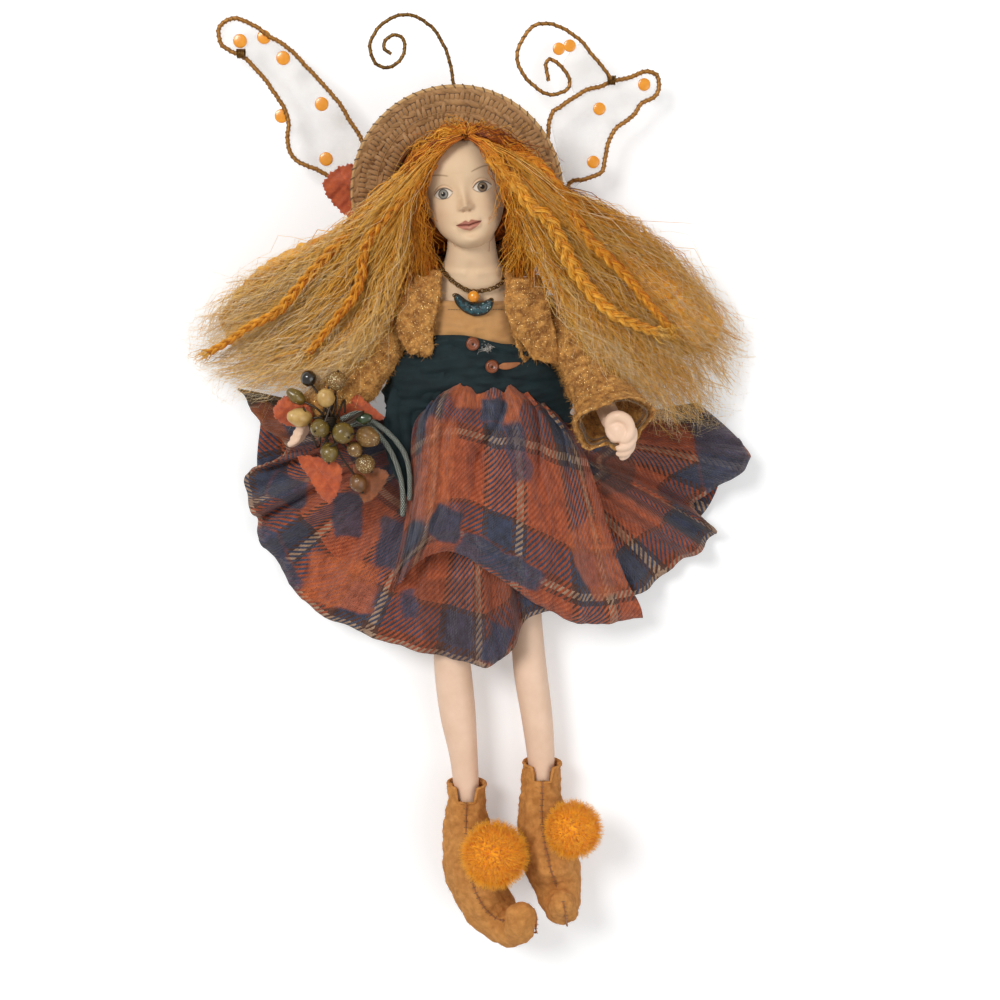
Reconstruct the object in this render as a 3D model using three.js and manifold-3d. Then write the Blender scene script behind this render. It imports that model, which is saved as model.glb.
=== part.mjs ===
// A fairy doll lying on its back: resin shoulder-head, fists and shins on a stuffed cloth body,
// mohair hair with thin braids, a plaited straw hat, wire wings, a short jacket, a velvet wrap,
// a checked skirt, curled felt boots with fur pompoms and a bunch of berries in the right hand.
// Millimetres. +Z is up from the floor, +Y points to the head, +X to the doll's own left side.

import * as THREE from 'three';
import { mergeVertices } from 'three/addons/utils/BufferGeometryUtils.js';
import Module from 'manifold-3d';

const wasm = await Module();
wasm.setup();

// Driving sizes.

const gap = 0.3; // clearance between pieces that touch
const cloth = 1.2; // thickness of sewn cloth
const lightCloth = 0.8; // thickness of the bandeau
const leafCloth = 0.9; // thickness of a stiffened cloth leaf
const organza = 0.4;

const head = [
  [-2, 77, 42.5, 2.6, 2.2],
  [-2, 79.5, 39.5, 6.6, 8.6],
  [-2.2, 84, 36, 9.8, 13.4],
  [-2.5, 89, 34.6, 11.6, 15.6],
  [-2.8, 95, 34, 12.3, 16.6],
  [-3.2, 101, 33, 12, 16.2],
  [-3.6, 106, 31.5, 10, 13.4],
  [-4, 109.5, 30.2, 5.8, 8],
  [-4.2, 110.8, 29.6, 2, 3],
];
const temples = head[4]; // the widest station of the head
const hatBelow = 2.2; // how far the hat's middle sits below the temples

const hat = {
  x: -6.5,
  y: temples[1] - hatBelow,
  crownTop: 18,
  crownMouth: 21,
  crownDepth: 24,
  brimRadius: 32.2,
  straw: 1.5,
  tilt: 0.3,
};

// The body runs from the neck to the hips. Each station is x, y, z, half width, half depth.
const trunk = [
  [-2, 73, 31.5, 7.8, 7],
  [-2, 69, 30.5, 10.6, 7.5],
  [-2, 66, 29, 12.6, 8],
  [-2, 62, 28, 13.4, 8.8],
  [-1.8, 56, 27.5, 13.6, 9.6],
  [-1.4, 50, 26.5, 14, 10],
  [-1, 44, 25, 15.6, 10],
  [0, 36, 22.5, 17.6, 10],
  [0.5, 28, 19.5, 18.6, 10],
  [1, 21, 17, 18.8, 9.8],
  [1, 15.5, 15.4, 17.7, 9.5],
];
const plateEdge = 47; // where the resin shoulder plate ends and the stuffed body starts

const neck = [
  [-2, 83, 35, 6.6, 7],
  [-2, 78, 33.4, 7.2, 6.8],
  [-2, 72, 31.4, 8, 7],
];
const nose = { x: -2.6, y: 89.6, z: 50, width: 1.7, length: 3.4, reach: 2.6 };

const hip = { x: 1, y: 8, z: 14, radius: 9.6, width: 34 };
const thighBall = 7.2; // the top of each thigh turns in the hips
const kneeBall = 5.2; // the top of each shin turns against the thigh
const elbowBall = 4; // the top of each forearm turns inside its sleeve
const legRoom = 2.4; // clearance between thigh and hips, for the legs to spread

const shoulderBall = 5;

// Limbs on the doll's right side, then on its left, as stations. A shin starts at its knee.
const thighs = {
  right: [[-8, -3, 13, 6.4, 6.8], [-8.8, -11, 13, 8, 8], [-9.8, -23, 12.6, 7.4, 7.2],
    [-10.1, -32.4, 12, 5.4, 5.4]],
  left: [[10, -3, 13, 6.4, 6.8], [11.4, -11, 13, 8, 8], [13.2, -23, 12.6, 7.4, 7.2],
    [14.6, -32.4, 12, 5.4, 5.4]],
};
const shins = {
  right: [[-10.1, -38, 12, 4.9, 4.9], [-9.6, -48, 12, 5.4, 5.4], [-8.7, -60, 12, 6, 6.2],
    [-7.2, -74, 12, 5.8, 6], [-5.4, -88, 12, 4.6, 4.8], [-4.6, -99, 12, 4.3, 4.4],
    [-4.6, -108, 12, 4.3, 4.4]],
  left: [[14.8, -38, 12, 4.9, 4.9], [15.3, -48, 12, 5.2, 5.2], [16.4, -60, 12, 5.4, 5.8],
    [18.4, -74, 12, 5.1, 5.6], [19.7, -86, 12, 4.6, 4.8], [20, -92, 12, 4.4, 4.4],
    [20, -101, 12, 4.4, 4.4]],
};
const boots = {
  right: [[-4.4, -97.5, 12, 6.2, 6.5], [-4.6, -105, 12, 6.5, 7.2], [-4.4, -113, 12.6, 7.6, 9.2],
    [-3.6, -121, 13, 8.6, 12.4], [-1.8, -129, 13.6, 9, 12.4], [1.4, -136.2, 14.6, 8.6, 10.8],
    [5, -141, 16.6, 7.8, 9], [9, -143.4, 20.6, 6.4, 6.6], [12, -142, 25.6, 5.3, 5],
    [13.4, -138, 28.8, 5.2, 4.8], [13, -134, 29.2, 4.6, 4], [12.6, -132, 28.2, 2, 1.8]],
  left: [[20.3, -90.5, 12, 6.1, 6.4], [20.1, -98, 12, 6.3, 7.2], [19.9, -106, 12.6, 7.2, 9.4],
    [20.9, -114, 13, 8.6, 12.4], [22.7, -122, 13.8, 8.8, 12.6], [24.8, -128.8, 15, 8.2, 10.6],
    [25.8, -133.2, 17.4, 7.2, 8.6], [26.5, -135.5, 21.4, 5.9, 6.2], [26.7, -134.6, 26.2, 4.6, 4.6],
    [26.4, -131.6, 29.6, 3.9, 3.8], [26, -128.8, 30.2, 3.3, 3.1], [25.8, -127.4, 29.6, 1.5, 1.3]],
};
const pompoms = {
  right: [4.8, -115.4, 29.5, 10.4],
  left: [30, -108, 26.4, 9],
};

const arms = {
  right: [[-25.4, 58, 27], [-32, 44, 27.4], [-43.5, 31, 27], [-49.5, 25.5, 26.8]],
  left: [[22.2, 58, 27], [31, 44, 31], [38, 31, 41.5], [40.2, 25.6, 47.4]],
};
const sleeveSizes = {
  right: [6.6, 7.4, 8, 8.6],
  left: [6.6, 7.6, 9.4, 12.4],
};

// The right hand curls its fingers round the stems. The left hand is a fist in the open cuff.
const hands = {
  right: [[-37.8, 37.5, 27.2, 3.6, 3.6], [-41, 34, 27.2, 3.2, 3.2], [-46.5, 28.4, 26.8, 2.9, 2.7],
    [-51, 24.4, 27, 3.6, 2.9], [-54.6, 21.4, 28.6, 3.6, 2.6], [-56.6, 20, 31.4, 3.2, 2],
    [-55.8, 20.4, 33.8, 2.4, 1.4]],
  left: [[34.5, 37.5, 36.3, 3.4, 3.4], [36.6, 33.6, 39.4, 3.3, 3.3], [39, 28.4, 45, 3.2, 3.2],
    [40.2, 26, 48, 4.1, 3.8], [41.2, 23.6, 51, 4.4, 4.6], [41.8, 21.8, 53.2, 2.8, 3]],
  thumb: [[-50.6, 27.2, 28, 1.2, 1.2], [-54, 27.4, 30.4, 1.3, 1.3], [-56, 26, 32.4, 0.8, 0.8]],
};

// Clothing on the body, each from its lower edge to its upper one along Y.
const bandeau = { low: 45, high: 61.4 };
const wrap = { low: 22, high: 50 };
const jacketEdges = { low: 38.4, high: 71, split: 29 };
const knot = { x: -16.2, y: 50, radius: 3.6, rise: 1.4 };
const button = { radius: 2.3, rise: 1.5, upper: [-1.6, 49], lower: [4, 42] };

const wire = { frame: 0.9, spiral: 0.75, antenna: 0.7 };
const wingZ = 11.5;
const feelerZ = 33; // height of the middle of the feeler's curl

const skirt = {
  hemHeight: 10,
  lapHeight: 17,
  lapMiddle: 4,
  lapWidth: 34,
  foldDepth: 4.6,
  folds: 11,
  drapeHeight: 31.4,
  drapePuff: 4,
  drapeFolds: 5,
  drapeFoldDepth: 1.8,
  backHeight: 2.3,
  backFoldDepth: 0.9,
  backFolds: 6,
  off: 1.1,
};
// Where each panel meets the body: its middle, its place along Y and its half width.
const waists = {
  front: { x: 1, y: 20, half: 20.5 },
  drape: { x: 4.5, y: 36.5, half: 13.5 },
  back: { x: 1, y: 19.5, half: 19.6 },
  turn: 1.45,
  level: 21,
};

const beadRadius = 1.9;
const chainRadius = 0.7;
const pendantThick = 2.2;
const cordDiameter = 1.5;
const braidRadius = 1.8;
const stemRadius = 0.6;
const tieRadius = 2.4;
const leafZ = 31.4; // the cloth leaves lie at or above this height

// Shape helpers.

const v = (x, y, z) => new THREE.Vector3(x, y, z);

function solidOf(geometry) {
  const plain = geometry.clone();
  plain.deleteAttribute('normal');
  plain.deleteAttribute('uv');
  const merged = mergeVertices(plain, 1e-4);
  const vertProperties = new Float32Array(merged.attributes.position.array);
  const triVerts = new Uint32Array(merged.index.array);
  return new wasm.Manifold(new wasm.Mesh({ numProp: 3, vertProperties, triVerts }));
}

function geometryOf(solid) {
  const mesh = solid.getMesh();
  const geometry = new THREE.BufferGeometry();
  const points = new THREE.BufferAttribute(new Float32Array(mesh.vertProperties), 3);
  geometry.setAttribute('position', points);
  geometry.setIndex(Array.from(mesh.triVerts));
  return geometry;
}

// The largest separate lump, which drops slivers that a cut leaves behind.
function largest(solid) {
  return solid.decompose().sort((a, b) => b.volume() - a.volume())[0];
}

function volumeOf(geometry) {
  const point = geometry.attributes.position;
  const index = geometry.index;
  const corner = [v(), v(), v()];
  let sum = 0;
  for (let i = 0; i < index.count; i += 3) {
    corner.forEach((c, k) => c.fromBufferAttribute(point, index.getX(i + k)));
    sum += corner[0].dot(corner[1].clone().cross(corner[2]));
  }
  return sum / 6;
}

// A closed skin over rings of points, each ring with the same count, with a fan at either end.
function skin(rings) {
  const count = rings[0].length;
  const points = rings.flat();
  const index = [];
  for (let r = 0; r + 1 < rings.length; r += 1) {
    for (let s = 0; s < count; s += 1) {
      const a = r * count + s;
      const b = r * count + ((s + 1) % count);
      index.push(a, b, b + count, a, b + count, a + count);
    }
  }
  [rings[0], rings[rings.length - 1]].forEach((ring, end) => {
    const middle = points.length;
    points.push(ring.reduce((sum, p) => sum.add(p), v(0, 0, 0)).divideScalar(count));
    const start = end ? (rings.length - 1) * count : 0;
    for (let s = 0; s < count; s += 1) {
      const a = start + s;
      const b = start + ((s + 1) % count);
      index.push(...(end ? [middle, a, b] : [middle, b, a]));
    }
  });
  const geometry = new THREE.BufferGeometry().setFromPoints(points);
  geometry.setIndex(index);
  if (volumeOf(geometry) < 0) geometry.setIndex(index.reverse());
  return geometry;
}

// A body through stations, each an oval of a half width across and a half depth square to it.
function oval(stations, { sides = 14, spans = 2, grow = 0, across = v(1, 0, 0) } = {}) {
  const path = new THREE.CatmullRomCurve3(stations.map(([x, y, z]) => v(x, y, z)));
  const size = new THREE.CatmullRomCurve3(stations.map((s) => v(s[3], s[4], 0)));
  const steps = (stations.length - 1) * spans;
  const rings = [];
  for (let i = 0; i <= steps; i += 1) {
    const t = i / steps;
    const along = path.getTangent(t);
    const side = across.clone().addScaledVector(along, -across.dot(along)).normalize();
    const rise = side.clone().cross(along);
    const middle = path.getPoint(t);
    if (i === 0) middle.addScaledVector(along, -grow);
    if (i === steps) middle.addScaledVector(along, grow);
    const half = size.getPoint(t);
    rings.push(Array.from({ length: sides }, (unused, s) => {
      const angle = (s / sides) * Math.PI * 2;
      return middle.clone()
        .addScaledVector(side, (half.x + grow) * Math.cos(angle))
        .addScaledVector(rise, (half.y + grow) * Math.sin(angle));
    }));
  }
  return skin(rings);
}

// The body's own skin, standing off it by grow, cut square to Y at both ends.
function trunkForm(grow, low, high, sides = 16) {
  const stationAt = (y) => {
    const next = Math.max(1, trunk.findIndex((s) => s[1] <= y));
    const a = trunk[next - 1];
    const b = trunk[next] ?? a;
    const t = (a[1] - y) / (a[1] - b[1] || 1);
    return a.map((value, i) => value + (b[i] - value) * t);
  };
  const inside = trunk.map((s) => s[1]).filter((y) => y > low + 0.5 && y < high - 0.5);
  const rings = [high, ...inside, low].map((y) => {
    const [x, , z, wide, deep] = stationAt(y);
    return Array.from({ length: sides }, (unused, s) => {
      const angle = (s / sides) * Math.PI * 2;
      return v(x + (wide + grow) * Math.cos(angle), y, z + (deep + grow) * Math.sin(angle));
    });
  });
  return skin(rings);
}

// Height of the front of the body at x, y, standing off it by grow.
function frontHeight(x, y, grow) {
  const next = Math.max(1, trunk.findIndex((s) => s[1] <= y));
  const a = trunk[next - 1];
  const b = trunk[next];
  const t = (a[1] - y) / (a[1] - b[1]);
  const [cx, , cz, wide, deep] = a.map((value, i) => value + (b[i] - value) * t);
  const share = Math.min(1, Math.abs(x - cx) / (wide + grow));
  return cz + (deep + grow) * Math.sqrt(1 - share * share);
}

// Height of the middle of the body at y, and of its back at x, y.
function stationZ(y) {
  const next = Math.max(1, trunk.findIndex((s) => s[1] <= y));
  const [a, b] = [trunk[next - 1], trunk[next]];
  return a[2] + (b[2] - a[2]) * (a[1] - y) / (a[1] - b[1]);
}
const backHeight = (x, y, grow) => 2 * stationZ(y) - frontHeight(x, y, grow);

function roundSection(radius, sides) {
  const turn = (i) => (i / sides) * Math.PI * 2;
  const onCircle = (angle) => new THREE.Vector2(Math.cos(angle), Math.sin(angle));
  const corner = (unused, i) => onCircle(turn(i)).multiplyScalar(radius);
  return new THREE.Shape(Array.from({ length: sides }, corner));
}

// A round wire or cord through points.
function rod(points, radius, steps, sides = 8) {
  const extrudePath = new THREE.CatmullRomCurve3(points.map((p) => v(...p)));
  const section = roundSection(radius, sides);
  return new THREE.ExtrudeGeometry(section, { steps, extrudePath, bevelEnabled: false });
}

// A flat plate with a smooth outline, lying at height z.
function plate(outline, z, thickness) {
  const edge = new THREE.CatmullRomCurve3(outline.map(([x, y]) => v(x, y, 0)), true);
  const shape = new THREE.Shape(edge.getPoints(outline.length * 2).slice(0, -1));
  const geometry = new THREE.ExtrudeGeometry(shape, { depth: thickness, bevelEnabled: false });
  return geometry.translate(0, 0, z);
}

// A sheet of cloth over a grid, from its upper face down by its thickness.
function sheet(columns, rows, surface, thickness) {
  const points = [];
  const index = [];
  const row = columns + 1;
  for (let layer = 0; layer < 2; layer += 1) {
    for (let j = 0; j <= rows; j += 1) {
      for (let i = 0; i <= columns; i += 1) {
        points.push(surface(i / columns, j / rows).add(v(0, 0, -layer * thickness)));
      }
    }
  }
  const under = row * (rows + 1);
  const quad = (a, b, c, d) => index.push(a, b, c, a, c, d);
  for (let j = 0; j < rows; j += 1) {
    for (let i = 0; i < columns; i += 1) {
      const a = j * row + i;
      quad(a, a + 1, a + row + 1, a + row);
      quad(under + a + row + 1, under + a + 1, under + a, under + a + row);
    }
  }
  for (let i = 0; i < columns; i += 1) {
    quad(i, under + i, under + i + 1, i + 1);
    const a = rows * row + i;
    quad(a + 1, under + a + 1, under + a, a);
  }
  for (let j = 0; j < rows; j += 1) {
    const a = j * row;
    quad(a + row, under + a + row, under + a, a);
    const b = a + columns;
    quad(b, under + b, under + b + row, b + row);
  }
  const geometry = new THREE.BufferGeometry().setFromPoints(points);
  geometry.setIndex(index);
  if (volumeOf(geometry) < 0) geometry.setIndex(index.reverse());
  return geometry;
}

function ball([x, y, z], radius, stretch = [1, 1, 1], sides = 12) {
  const round = new THREE.SphereGeometry(radius, sides, Math.round(sides * 0.6));
  return round.scale(...stretch).translate(x, y, z);
}

// A tall block that keeps what lies over an outline.
function prism(outline, low, high) {
  const shape = new THREE.Shape(outline.map(([x, y]) => new THREE.Vector2(x, y)));
  const block = new THREE.ExtrudeGeometry(shape, { depth: high - low, bevelEnabled: false });
  return block.translate(0, 0, low);
}

function box(low, high) {
  const size = high.map((value, i) => value - low[i]);
  const middle = high.map((value, i) => (value + low[i]) / 2);
  return new THREE.BoxGeometry(...size).translate(...middle);
}

const doll = new THREE.Group();

function add(name, shape, color, roughness = 0.8, metalness = 0) {
  const geometry = shape.isBufferGeometry ? shape : geometryOf(largest(shape));
  const material = new THREE.MeshStandardMaterial({ color, roughness, metalness });
  const mesh = new THREE.Mesh(geometry, material);
  mesh.name = name;
  doll.add(mesh);
}

function cutBy(solid, ...tools) {
  return tools.reduce((rest, tool) => rest.subtract(tool), solid);
}

// Colours.

const resin = '#dcc3ad';
const mohair = '#c98f3f';
const copper = '#c8701f';
const strawTan = '#b98a58';
const bronze = '#7a5526';
const goldWire = '#9a6a2c';
const sheer = '#f1ece4';
const rust = '#c4502e';
const velvet = '#143238';
const lurex = '#a67a45';
const sand = '#c49a6c';
const felt = '#b98b55';
const stuffing = '#d8c4a4';
const tartan = '#a8553f';
const olive = '#6b5a26';
const amber = '#e39a2d';
const fur = '#f2941f';
const chestnut = '#8a4a26';
const leather = '#b5713f';
const teal = '#1f6a70';
const leafRed = '#b8452a';
const leafBrown = '#a5602f';
const darkGreen = '#26352c';

// Each layer of clothing stands off the body by what lies under it.

const oneLayer = cloth + gap;
const bandeauOff = gap;
const wrapOff = bandeauOff + lightCloth + gap;
const jacketOff = wrapOff + oneLayer;

// Necklace: a chain round the neck with a bead on it.

const chainZ = (x, y) => frontHeight(x, y, 0) + gap + chainRadius;
const chainFront = [
  [-9.6, 69.6], [-7.4, 67.4], [-4.2, 65.4], [-1.4, 64.6], [3.2, 65.1], [6, 66.3], [7.6, 68],
];
const chainPath = [
  ...chainFront.map(([x, y]) => [x, y, chainZ(x, y) + gap / 2]),
  [8, 71.4, 33], [7.3, 73, 29], [4.4, 74, 24.8], [-2, 74.4, 22.9], [-8.4, 74, 24.8], [-11.3, 73.2, 29],
  [-11.4, 71.8, 33],
];
add('necklace_chain', rod(chainPath, chainRadius, 32, 5), bronze, 0.45, 0.8);
const beadZ = frontHeight(-1.4, 61.4, bandeauOff + lightCloth) + gap + beadRadius;
const beadAt = [-1.4, 63.2, beadZ];
const chainGrown = solidOf(rod(chainPath, chainRadius + gap, 32, 5));
add('necklace_bead', solidOf(ball(beadAt, beadRadius)).subtract(chainGrown), amber, 0.3);

// Head, hat and hair.

const headSolid = solidOf(oval(head, { sides: 14, spans: 1 }));
const headGrown = solidOf(oval(head, { sides: 14, spans: 1, grow: gap }));
const neckSolid = solidOf(oval(neck, { sides: 14 }));
const noseSolid = solidOf(ball([nose.x, nose.y, nose.z], 1, [nose.width, nose.length, nose.reach], 8));
const plateSolid = solidOf(trunkForm(0, plateEdge, trunk[0][1]));
const shoulderHead = headSolid.add(neckSolid).add(noseSolid).add(plateSolid);
add('shoulder_head', shoulderHead, resin, 0.55);

// The crown lies flat on the floor, and the brim leans so that its lower edge passes the shoulders.
function lean(geometry) {
  const point = geometry.attributes.position;
  for (let i = 0; i < point.count; i += 1) {
    const share = Math.min(1, Math.max(0, point.getZ(i) / hat.crownDepth));
    point.setZ(i, point.getZ(i) + hat.tilt * share * point.getY(i));
  }
  return geometry.translate(hat.x, hat.y, 0);
}

function turned(profile, segments) {
  const points = profile.map(([r, z]) => new THREE.Vector2(r, z));
  const geometry = new THREE.LatheGeometry(points, segments).rotateX(Math.PI / 2);
  geometry.scale(1, -1, 1);
  const solid = mergeVertices(geometry.deleteAttribute('normal').deleteAttribute('uv'), 1e-4);
  if (volumeOf(solid) < 0) solid.setIndex(Array.from(solid.index.array).reverse());
  return solid;
}

function hatShape(grow) {
  const wall = hat.straw;
  return lean(turned([
    [0, -grow],
    [hat.crownTop - 1.5 + grow, -grow],
    [hat.crownTop + grow, 1.6],
    [hat.crownMouth + grow, hat.crownDepth - grow],
    [hat.brimRadius + grow, hat.crownDepth - grow],
    [hat.brimRadius + grow, hat.crownDepth + wall + grow],
    [hat.crownMouth - wall - grow, hat.crownDepth + wall + grow],
    [hat.crownTop - wall - grow, 3],
    [hat.crownTop - wall - 1.2 - grow, wall + grow],
    [0, wall + grow],
  ], 32));
}
add('straw_hat', solidOf(hatShape(0)), strawTan, 0.85);
const hatGrown = solidOf(hatShape(gap));

function capShape() {
  const inner = hat.straw + gap;
  return lean(turned([
    [0, inner],
    [hat.crownTop - inner - 1.4, inner],
    [hat.crownTop - inner - 0.2, 3.2],
    [hat.crownMouth - inner, hat.crownDepth],
    [hat.crownMouth - inner - 1, hat.crownDepth + 3],
    [13.5, hat.crownDepth + 9],
    [0, hat.crownDepth + 12],
  ], 16));
}
const neckGrown = solidOf(oval(neck, { sides: 14, grow: gap }));
const trunkGrown = solidOf(trunkForm(gap, 40, trunk[0][1] + gap));
const capSolid = cutBy(solidOf(capShape()), headGrown, neckGrown, trunkGrown, chainGrown);
add('hair_cap', capSolid, copper, 0.7);

const braidPaths = {
  braid_right_outer: [[-21, 100, 43], [-27, 93, 41], [-37, 83, 35.5], [-43.5, 76.5, 32], [-53, 66.5, 27.5],
    [-61, 58, 24], [-70.5, 53, 20.5], [-77, 48.5, 17.5], [-84, 44.5, 15]],
  braid_right_inner: [[-18, 96, 45], [-24.5, 89, 42], [-30, 83, 39], [-33.5, 76, 36], [-34.5, 69, 35],
    [-37, 63, 35], [-42, 57, 33.5], [-46, 52, 31], [-51, 46, 28]],
  braid_left_inner: [[10, 98, 46], [15, 90.5, 45], [20.5, 86, 43], [24.5, 79, 41], [28, 72, 40.5],
    [34, 64, 40], [40, 58.5, 38.5], [47, 55, 35], [53, 52.5, 31.5]],
  braid_left_outer: [[16, 103, 42], [22, 97, 39.5], [27, 89, 37], [32, 81, 35], [38, 75, 33.5],
    [45, 68, 32], [51, 61, 29.5], [57, 54, 26]],
};
const braids = Object.entries(braidPaths).map(([name, path]) => {
  add(name, rod(path, braidRadius, path.length * 2, 6), mohair, 0.6);
  return solidOf(rod(path, braidRadius + gap, path.length * 2, 6));
});

// Jacket, sleeves and arms.

function band(off, thick, low, high) {
  const outer = solidOf(trunkForm(off + thick, low, high));
  return outer.subtract(solidOf(trunkForm(off, low - 1, high + 1)));
}

add('bandeau', band(bandeauOff, lightCloth, bandeau.low, bandeau.high), sand, 0.8);
add('waist_wrap', band(wrapOff, cloth, wrap.low, wrap.high), velvet, 0.95);

const jacketBand = band(jacketOff, cloth, jacketEdges.low, jacketEdges.high);
const jacket = cutBy(jacketBand, hatGrown, capGrown(), ...braids);
const backHalf = solidOf(box([-40, 20, 0], [40, 80, jacketEdges.split]));
const rightEdge = [[-40, 80], [-11.5, 80], [-11, 68], [-11.5, 60], [-14.5, 50], [-16, 44], [-40, 42]];
const leftEdge = [[40, 80], [8.5, 80], [8, 68], [8.5, 60], [10, 52], [13, 44], [16, 38], [40, 38]];
add('jacket_back', jacket.intersect(backHalf), lurex, 0.6);
const frontLow = jacketEdges.split + gap;
add('jacket_front_right', jacket.intersect(solidOf(prism(rightEdge, frontLow, 60))), lurex, 0.6);
add('jacket_front_left', jacket.intersect(solidOf(prism(leftEdge, frontLow, 60))), lurex, 0.6);
const roomOff = jacketOff + cloth + gap;
const jacketGrown = solidOf(trunkForm(roomOff, jacketEdges.low - gap, jacketEdges.high + gap));
const knotZ = frontHeight(knot.x, knot.y, jacketOff + cloth) + knot.rise;
const knotBall = solidOf(ball([knot.x, knot.y, knotZ], knot.radius, [1, 1.5, 0.8]));
add('jacket_knot', knotBall.subtract(jacketGrown), lurex, 0.6);

function capGrown() {
  return solidOf(lean(turned([
    [0, hat.straw], [hat.crownMouth - hat.straw, hat.straw], [hat.crownMouth - hat.straw, hat.crownDepth],
    [14, hat.crownDepth + 9.6], [0, hat.crownDepth + 12.6],
  ], 24)));
}

function sleeveForm(side, grow) {
  const path = arms[side];
  const sizes = sleeveSizes[side];
  return path.map(([x, y, z], i) => [x, y, z, sizes[i] + grow, sizes[i] + grow]);
}
const sleeveGrown = {};
const armGrown = {};
['right', 'left'].forEach((side) => {
  const cuffSteps = { spans: 1, sides: 12 };
  const outer = solidOf(oval(sleeveForm(side, 0), cuffSteps));
  const inner = solidOf(oval(sleeveForm(side, -cloth), { ...cuffSteps, grow: 0 }));
  const mouth = arms[side][3];
  const before = arms[side][2];
  const on = mouth.map((value, i) => value + (value - before[i]) * 0.4);
  const wide = sleeveSizes[side][3] - cloth;
  const plug = solidOf(oval([[...mouth, wide, wide], [...on, wide, wide]], { sides: 16 }));
  const start = arms[side][0];
  const socket = solidOf(ball(start, shoulderBall + gap, [1, 1, 1], 12));
  const sleeve = cutBy(outer, inner, plug, socket, jacketGrown, hatGrown);
  add(`sleeve_${side}`, sleeve, lurex, 0.6);
  sleeveGrown[side] = solidOf(oval(sleeveForm(side, 0), { ...cuffSteps, grow: gap }));

  const elbow = arms[side][1];
  const full = sleeveSizes[side].map((value) => value - cloth - gap);
  const part = (t) => elbow.map((value, i) => value + (before[i] - value) * t);
  const upper = [[...start, shoulderBall - 1, shoulderBall - 1], [...elbow, full[1] - 1, full[1] - 1],
    [...part(0.22), 4.4, 4.4]];
  const armBall = solidOf(ball(start, shoulderBall, [1, 1, 1], 12));
  const inSleeve = solidOf(oval(sleeveForm(side, -cloth), { ...cuffSteps, grow: -gap }));
  const upperSolid = solidOf(oval(upper, { sides: 12, spans: 2 })).intersect(inSleeve).add(armBall);
  add(`upper_arm_${side}`, cutBy(upperSolid, jacketGrown), stuffing, 0.9);
  armGrown[side] = solidOf(oval(upper, { sides: 12, spans: 2, grow: gap }));
});

const [elbowRight, elbowLeft] = [hands.right[0], hands.left[0]]
  .map((station) => solidOf(ball(station.slice(0, 3), elbowBall)));
const rightHand = solidOf(oval(hands.right, { sides: 10 }));
const rightThumb = solidOf(oval(hands.thumb, { sides: 6 }));
add('forearm_right', rightHand.add(rightThumb).add(elbowRight), resin, 0.55);
add('forearm_left', solidOf(oval(hands.left, { sides: 10 })).add(elbowLeft), resin, 0.55);

// Stuffed body, hips and legs.

const hipRoll = (grow) => solidOf(oval([
  [hip.x - hip.width / 2, hip.y, hip.z, 3 + grow, 3 + grow],
  [hip.x - hip.width * 0.42, hip.y, hip.z, hip.radius - 2 + grow, hip.radius - 2 + grow],
  [hip.x - hip.width * 0.2, hip.y, hip.z, hip.radius + grow, hip.radius + grow],
  [hip.x + hip.width * 0.2, hip.y, hip.z, hip.radius + grow, hip.radius + grow],
  [hip.x + hip.width * 0.42, hip.y, hip.z, hip.radius - 2 + grow, hip.radius - 2 + grow],
  [hip.x + hip.width / 2, hip.y, hip.z, 3 + grow, 3 + grow],
], { sides: 16, spans: 1, across: v(0, 1, 0) }));
const hipSockets = ['right', 'left']
  .map((side) => solidOf(ball(thighs[side][0].slice(0, 3), thighBall + gap)));
add('lower_body', cutBy(hipRoll(0), ...hipSockets), stuffing, 0.9);
const bodySolid = solidOf(trunkForm(0, trunk[trunk.length - 1][1], plateEdge - gap));
add('torso_body', bodySolid.subtract(hipRoll(gap)), stuffing, 0.9);

['right', 'left'].forEach((side) => {
  const top = solidOf(ball(thighs[side][0].slice(0, 3), thighBall));
  const thigh = solidOf(oval(thighs[side], { sides: 12 })).subtract(hipRoll(legRoom));
  add(`upper_leg_${side}`, thigh.add(top), stuffing, 0.9);
  const knee = solidOf(ball(shins[side][0].slice(0, 3), kneeBall));
  const shinSolid = solidOf(oval(shins[side], { sides: 10 })).add(knee);
  add(`lower_leg_${side}`, shinSolid, resin, 0.5);
  const shinGrown = solidOf(oval(shins[side], { sides: 10, grow: gap * 1.3 }));
  const bootSolid = solidOf(oval(boots[side], { sides: 10, spans: 1 }));
  add(`boot_${side}`, bootSolid.subtract(shinGrown), felt, 0.95);
  const bootGrown = solidOf(oval(boots[side], { sides: 10, spans: 1, grow: gap * 1.3 }));
  const [x, y, z, radius] = pompoms[side];
  add(`pompom_${side}`, solidOf(ball([x, y, z], radius)).subtract(bootGrown), fur, 0.95);
});

// Skirt: a back panel under the legs, a front panel over them and a fold of it raised in the lap.

const smooth = (t) => t * t * (3 - 2 * t);
const spline = (points) => new THREE.CatmullRomCurve3(points.map(([x, y]) => v(x, y, 0)));
const frontHem = spline([
  [-77, 31.5], [-69, 21], [-61, 13], [-75.5, 3.4], [-72, -8.5], [-70, -17.5], [-57, -36], [-35, -46.6],
  [-13, -51.6], [2.2, -54], [10.5, -48.5], [17, -38], [38.5, -36], [54, -32], [67.5, -22], [76, -14],
  [69, -5], [85, 8], [82.5, 16], [69.5, 27.5],
]);
const drapeHem = spline([
  [-28.5, -31], [-20.5, -20], [-12, -14], [-2, -17], [6.5, -22], [14, -28], [20, -33], [26.5, -35],
  [33, -38.5], [41, -36.5], [52, -36],
]);

const lapShare = (x) => Math.exp(-(((x - skirt.lapMiddle) / skirt.lapWidth) ** 2));
const acrossWaist = ({ x, half }, side) => x + half * Math.sin(side * waists.turn);

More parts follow.
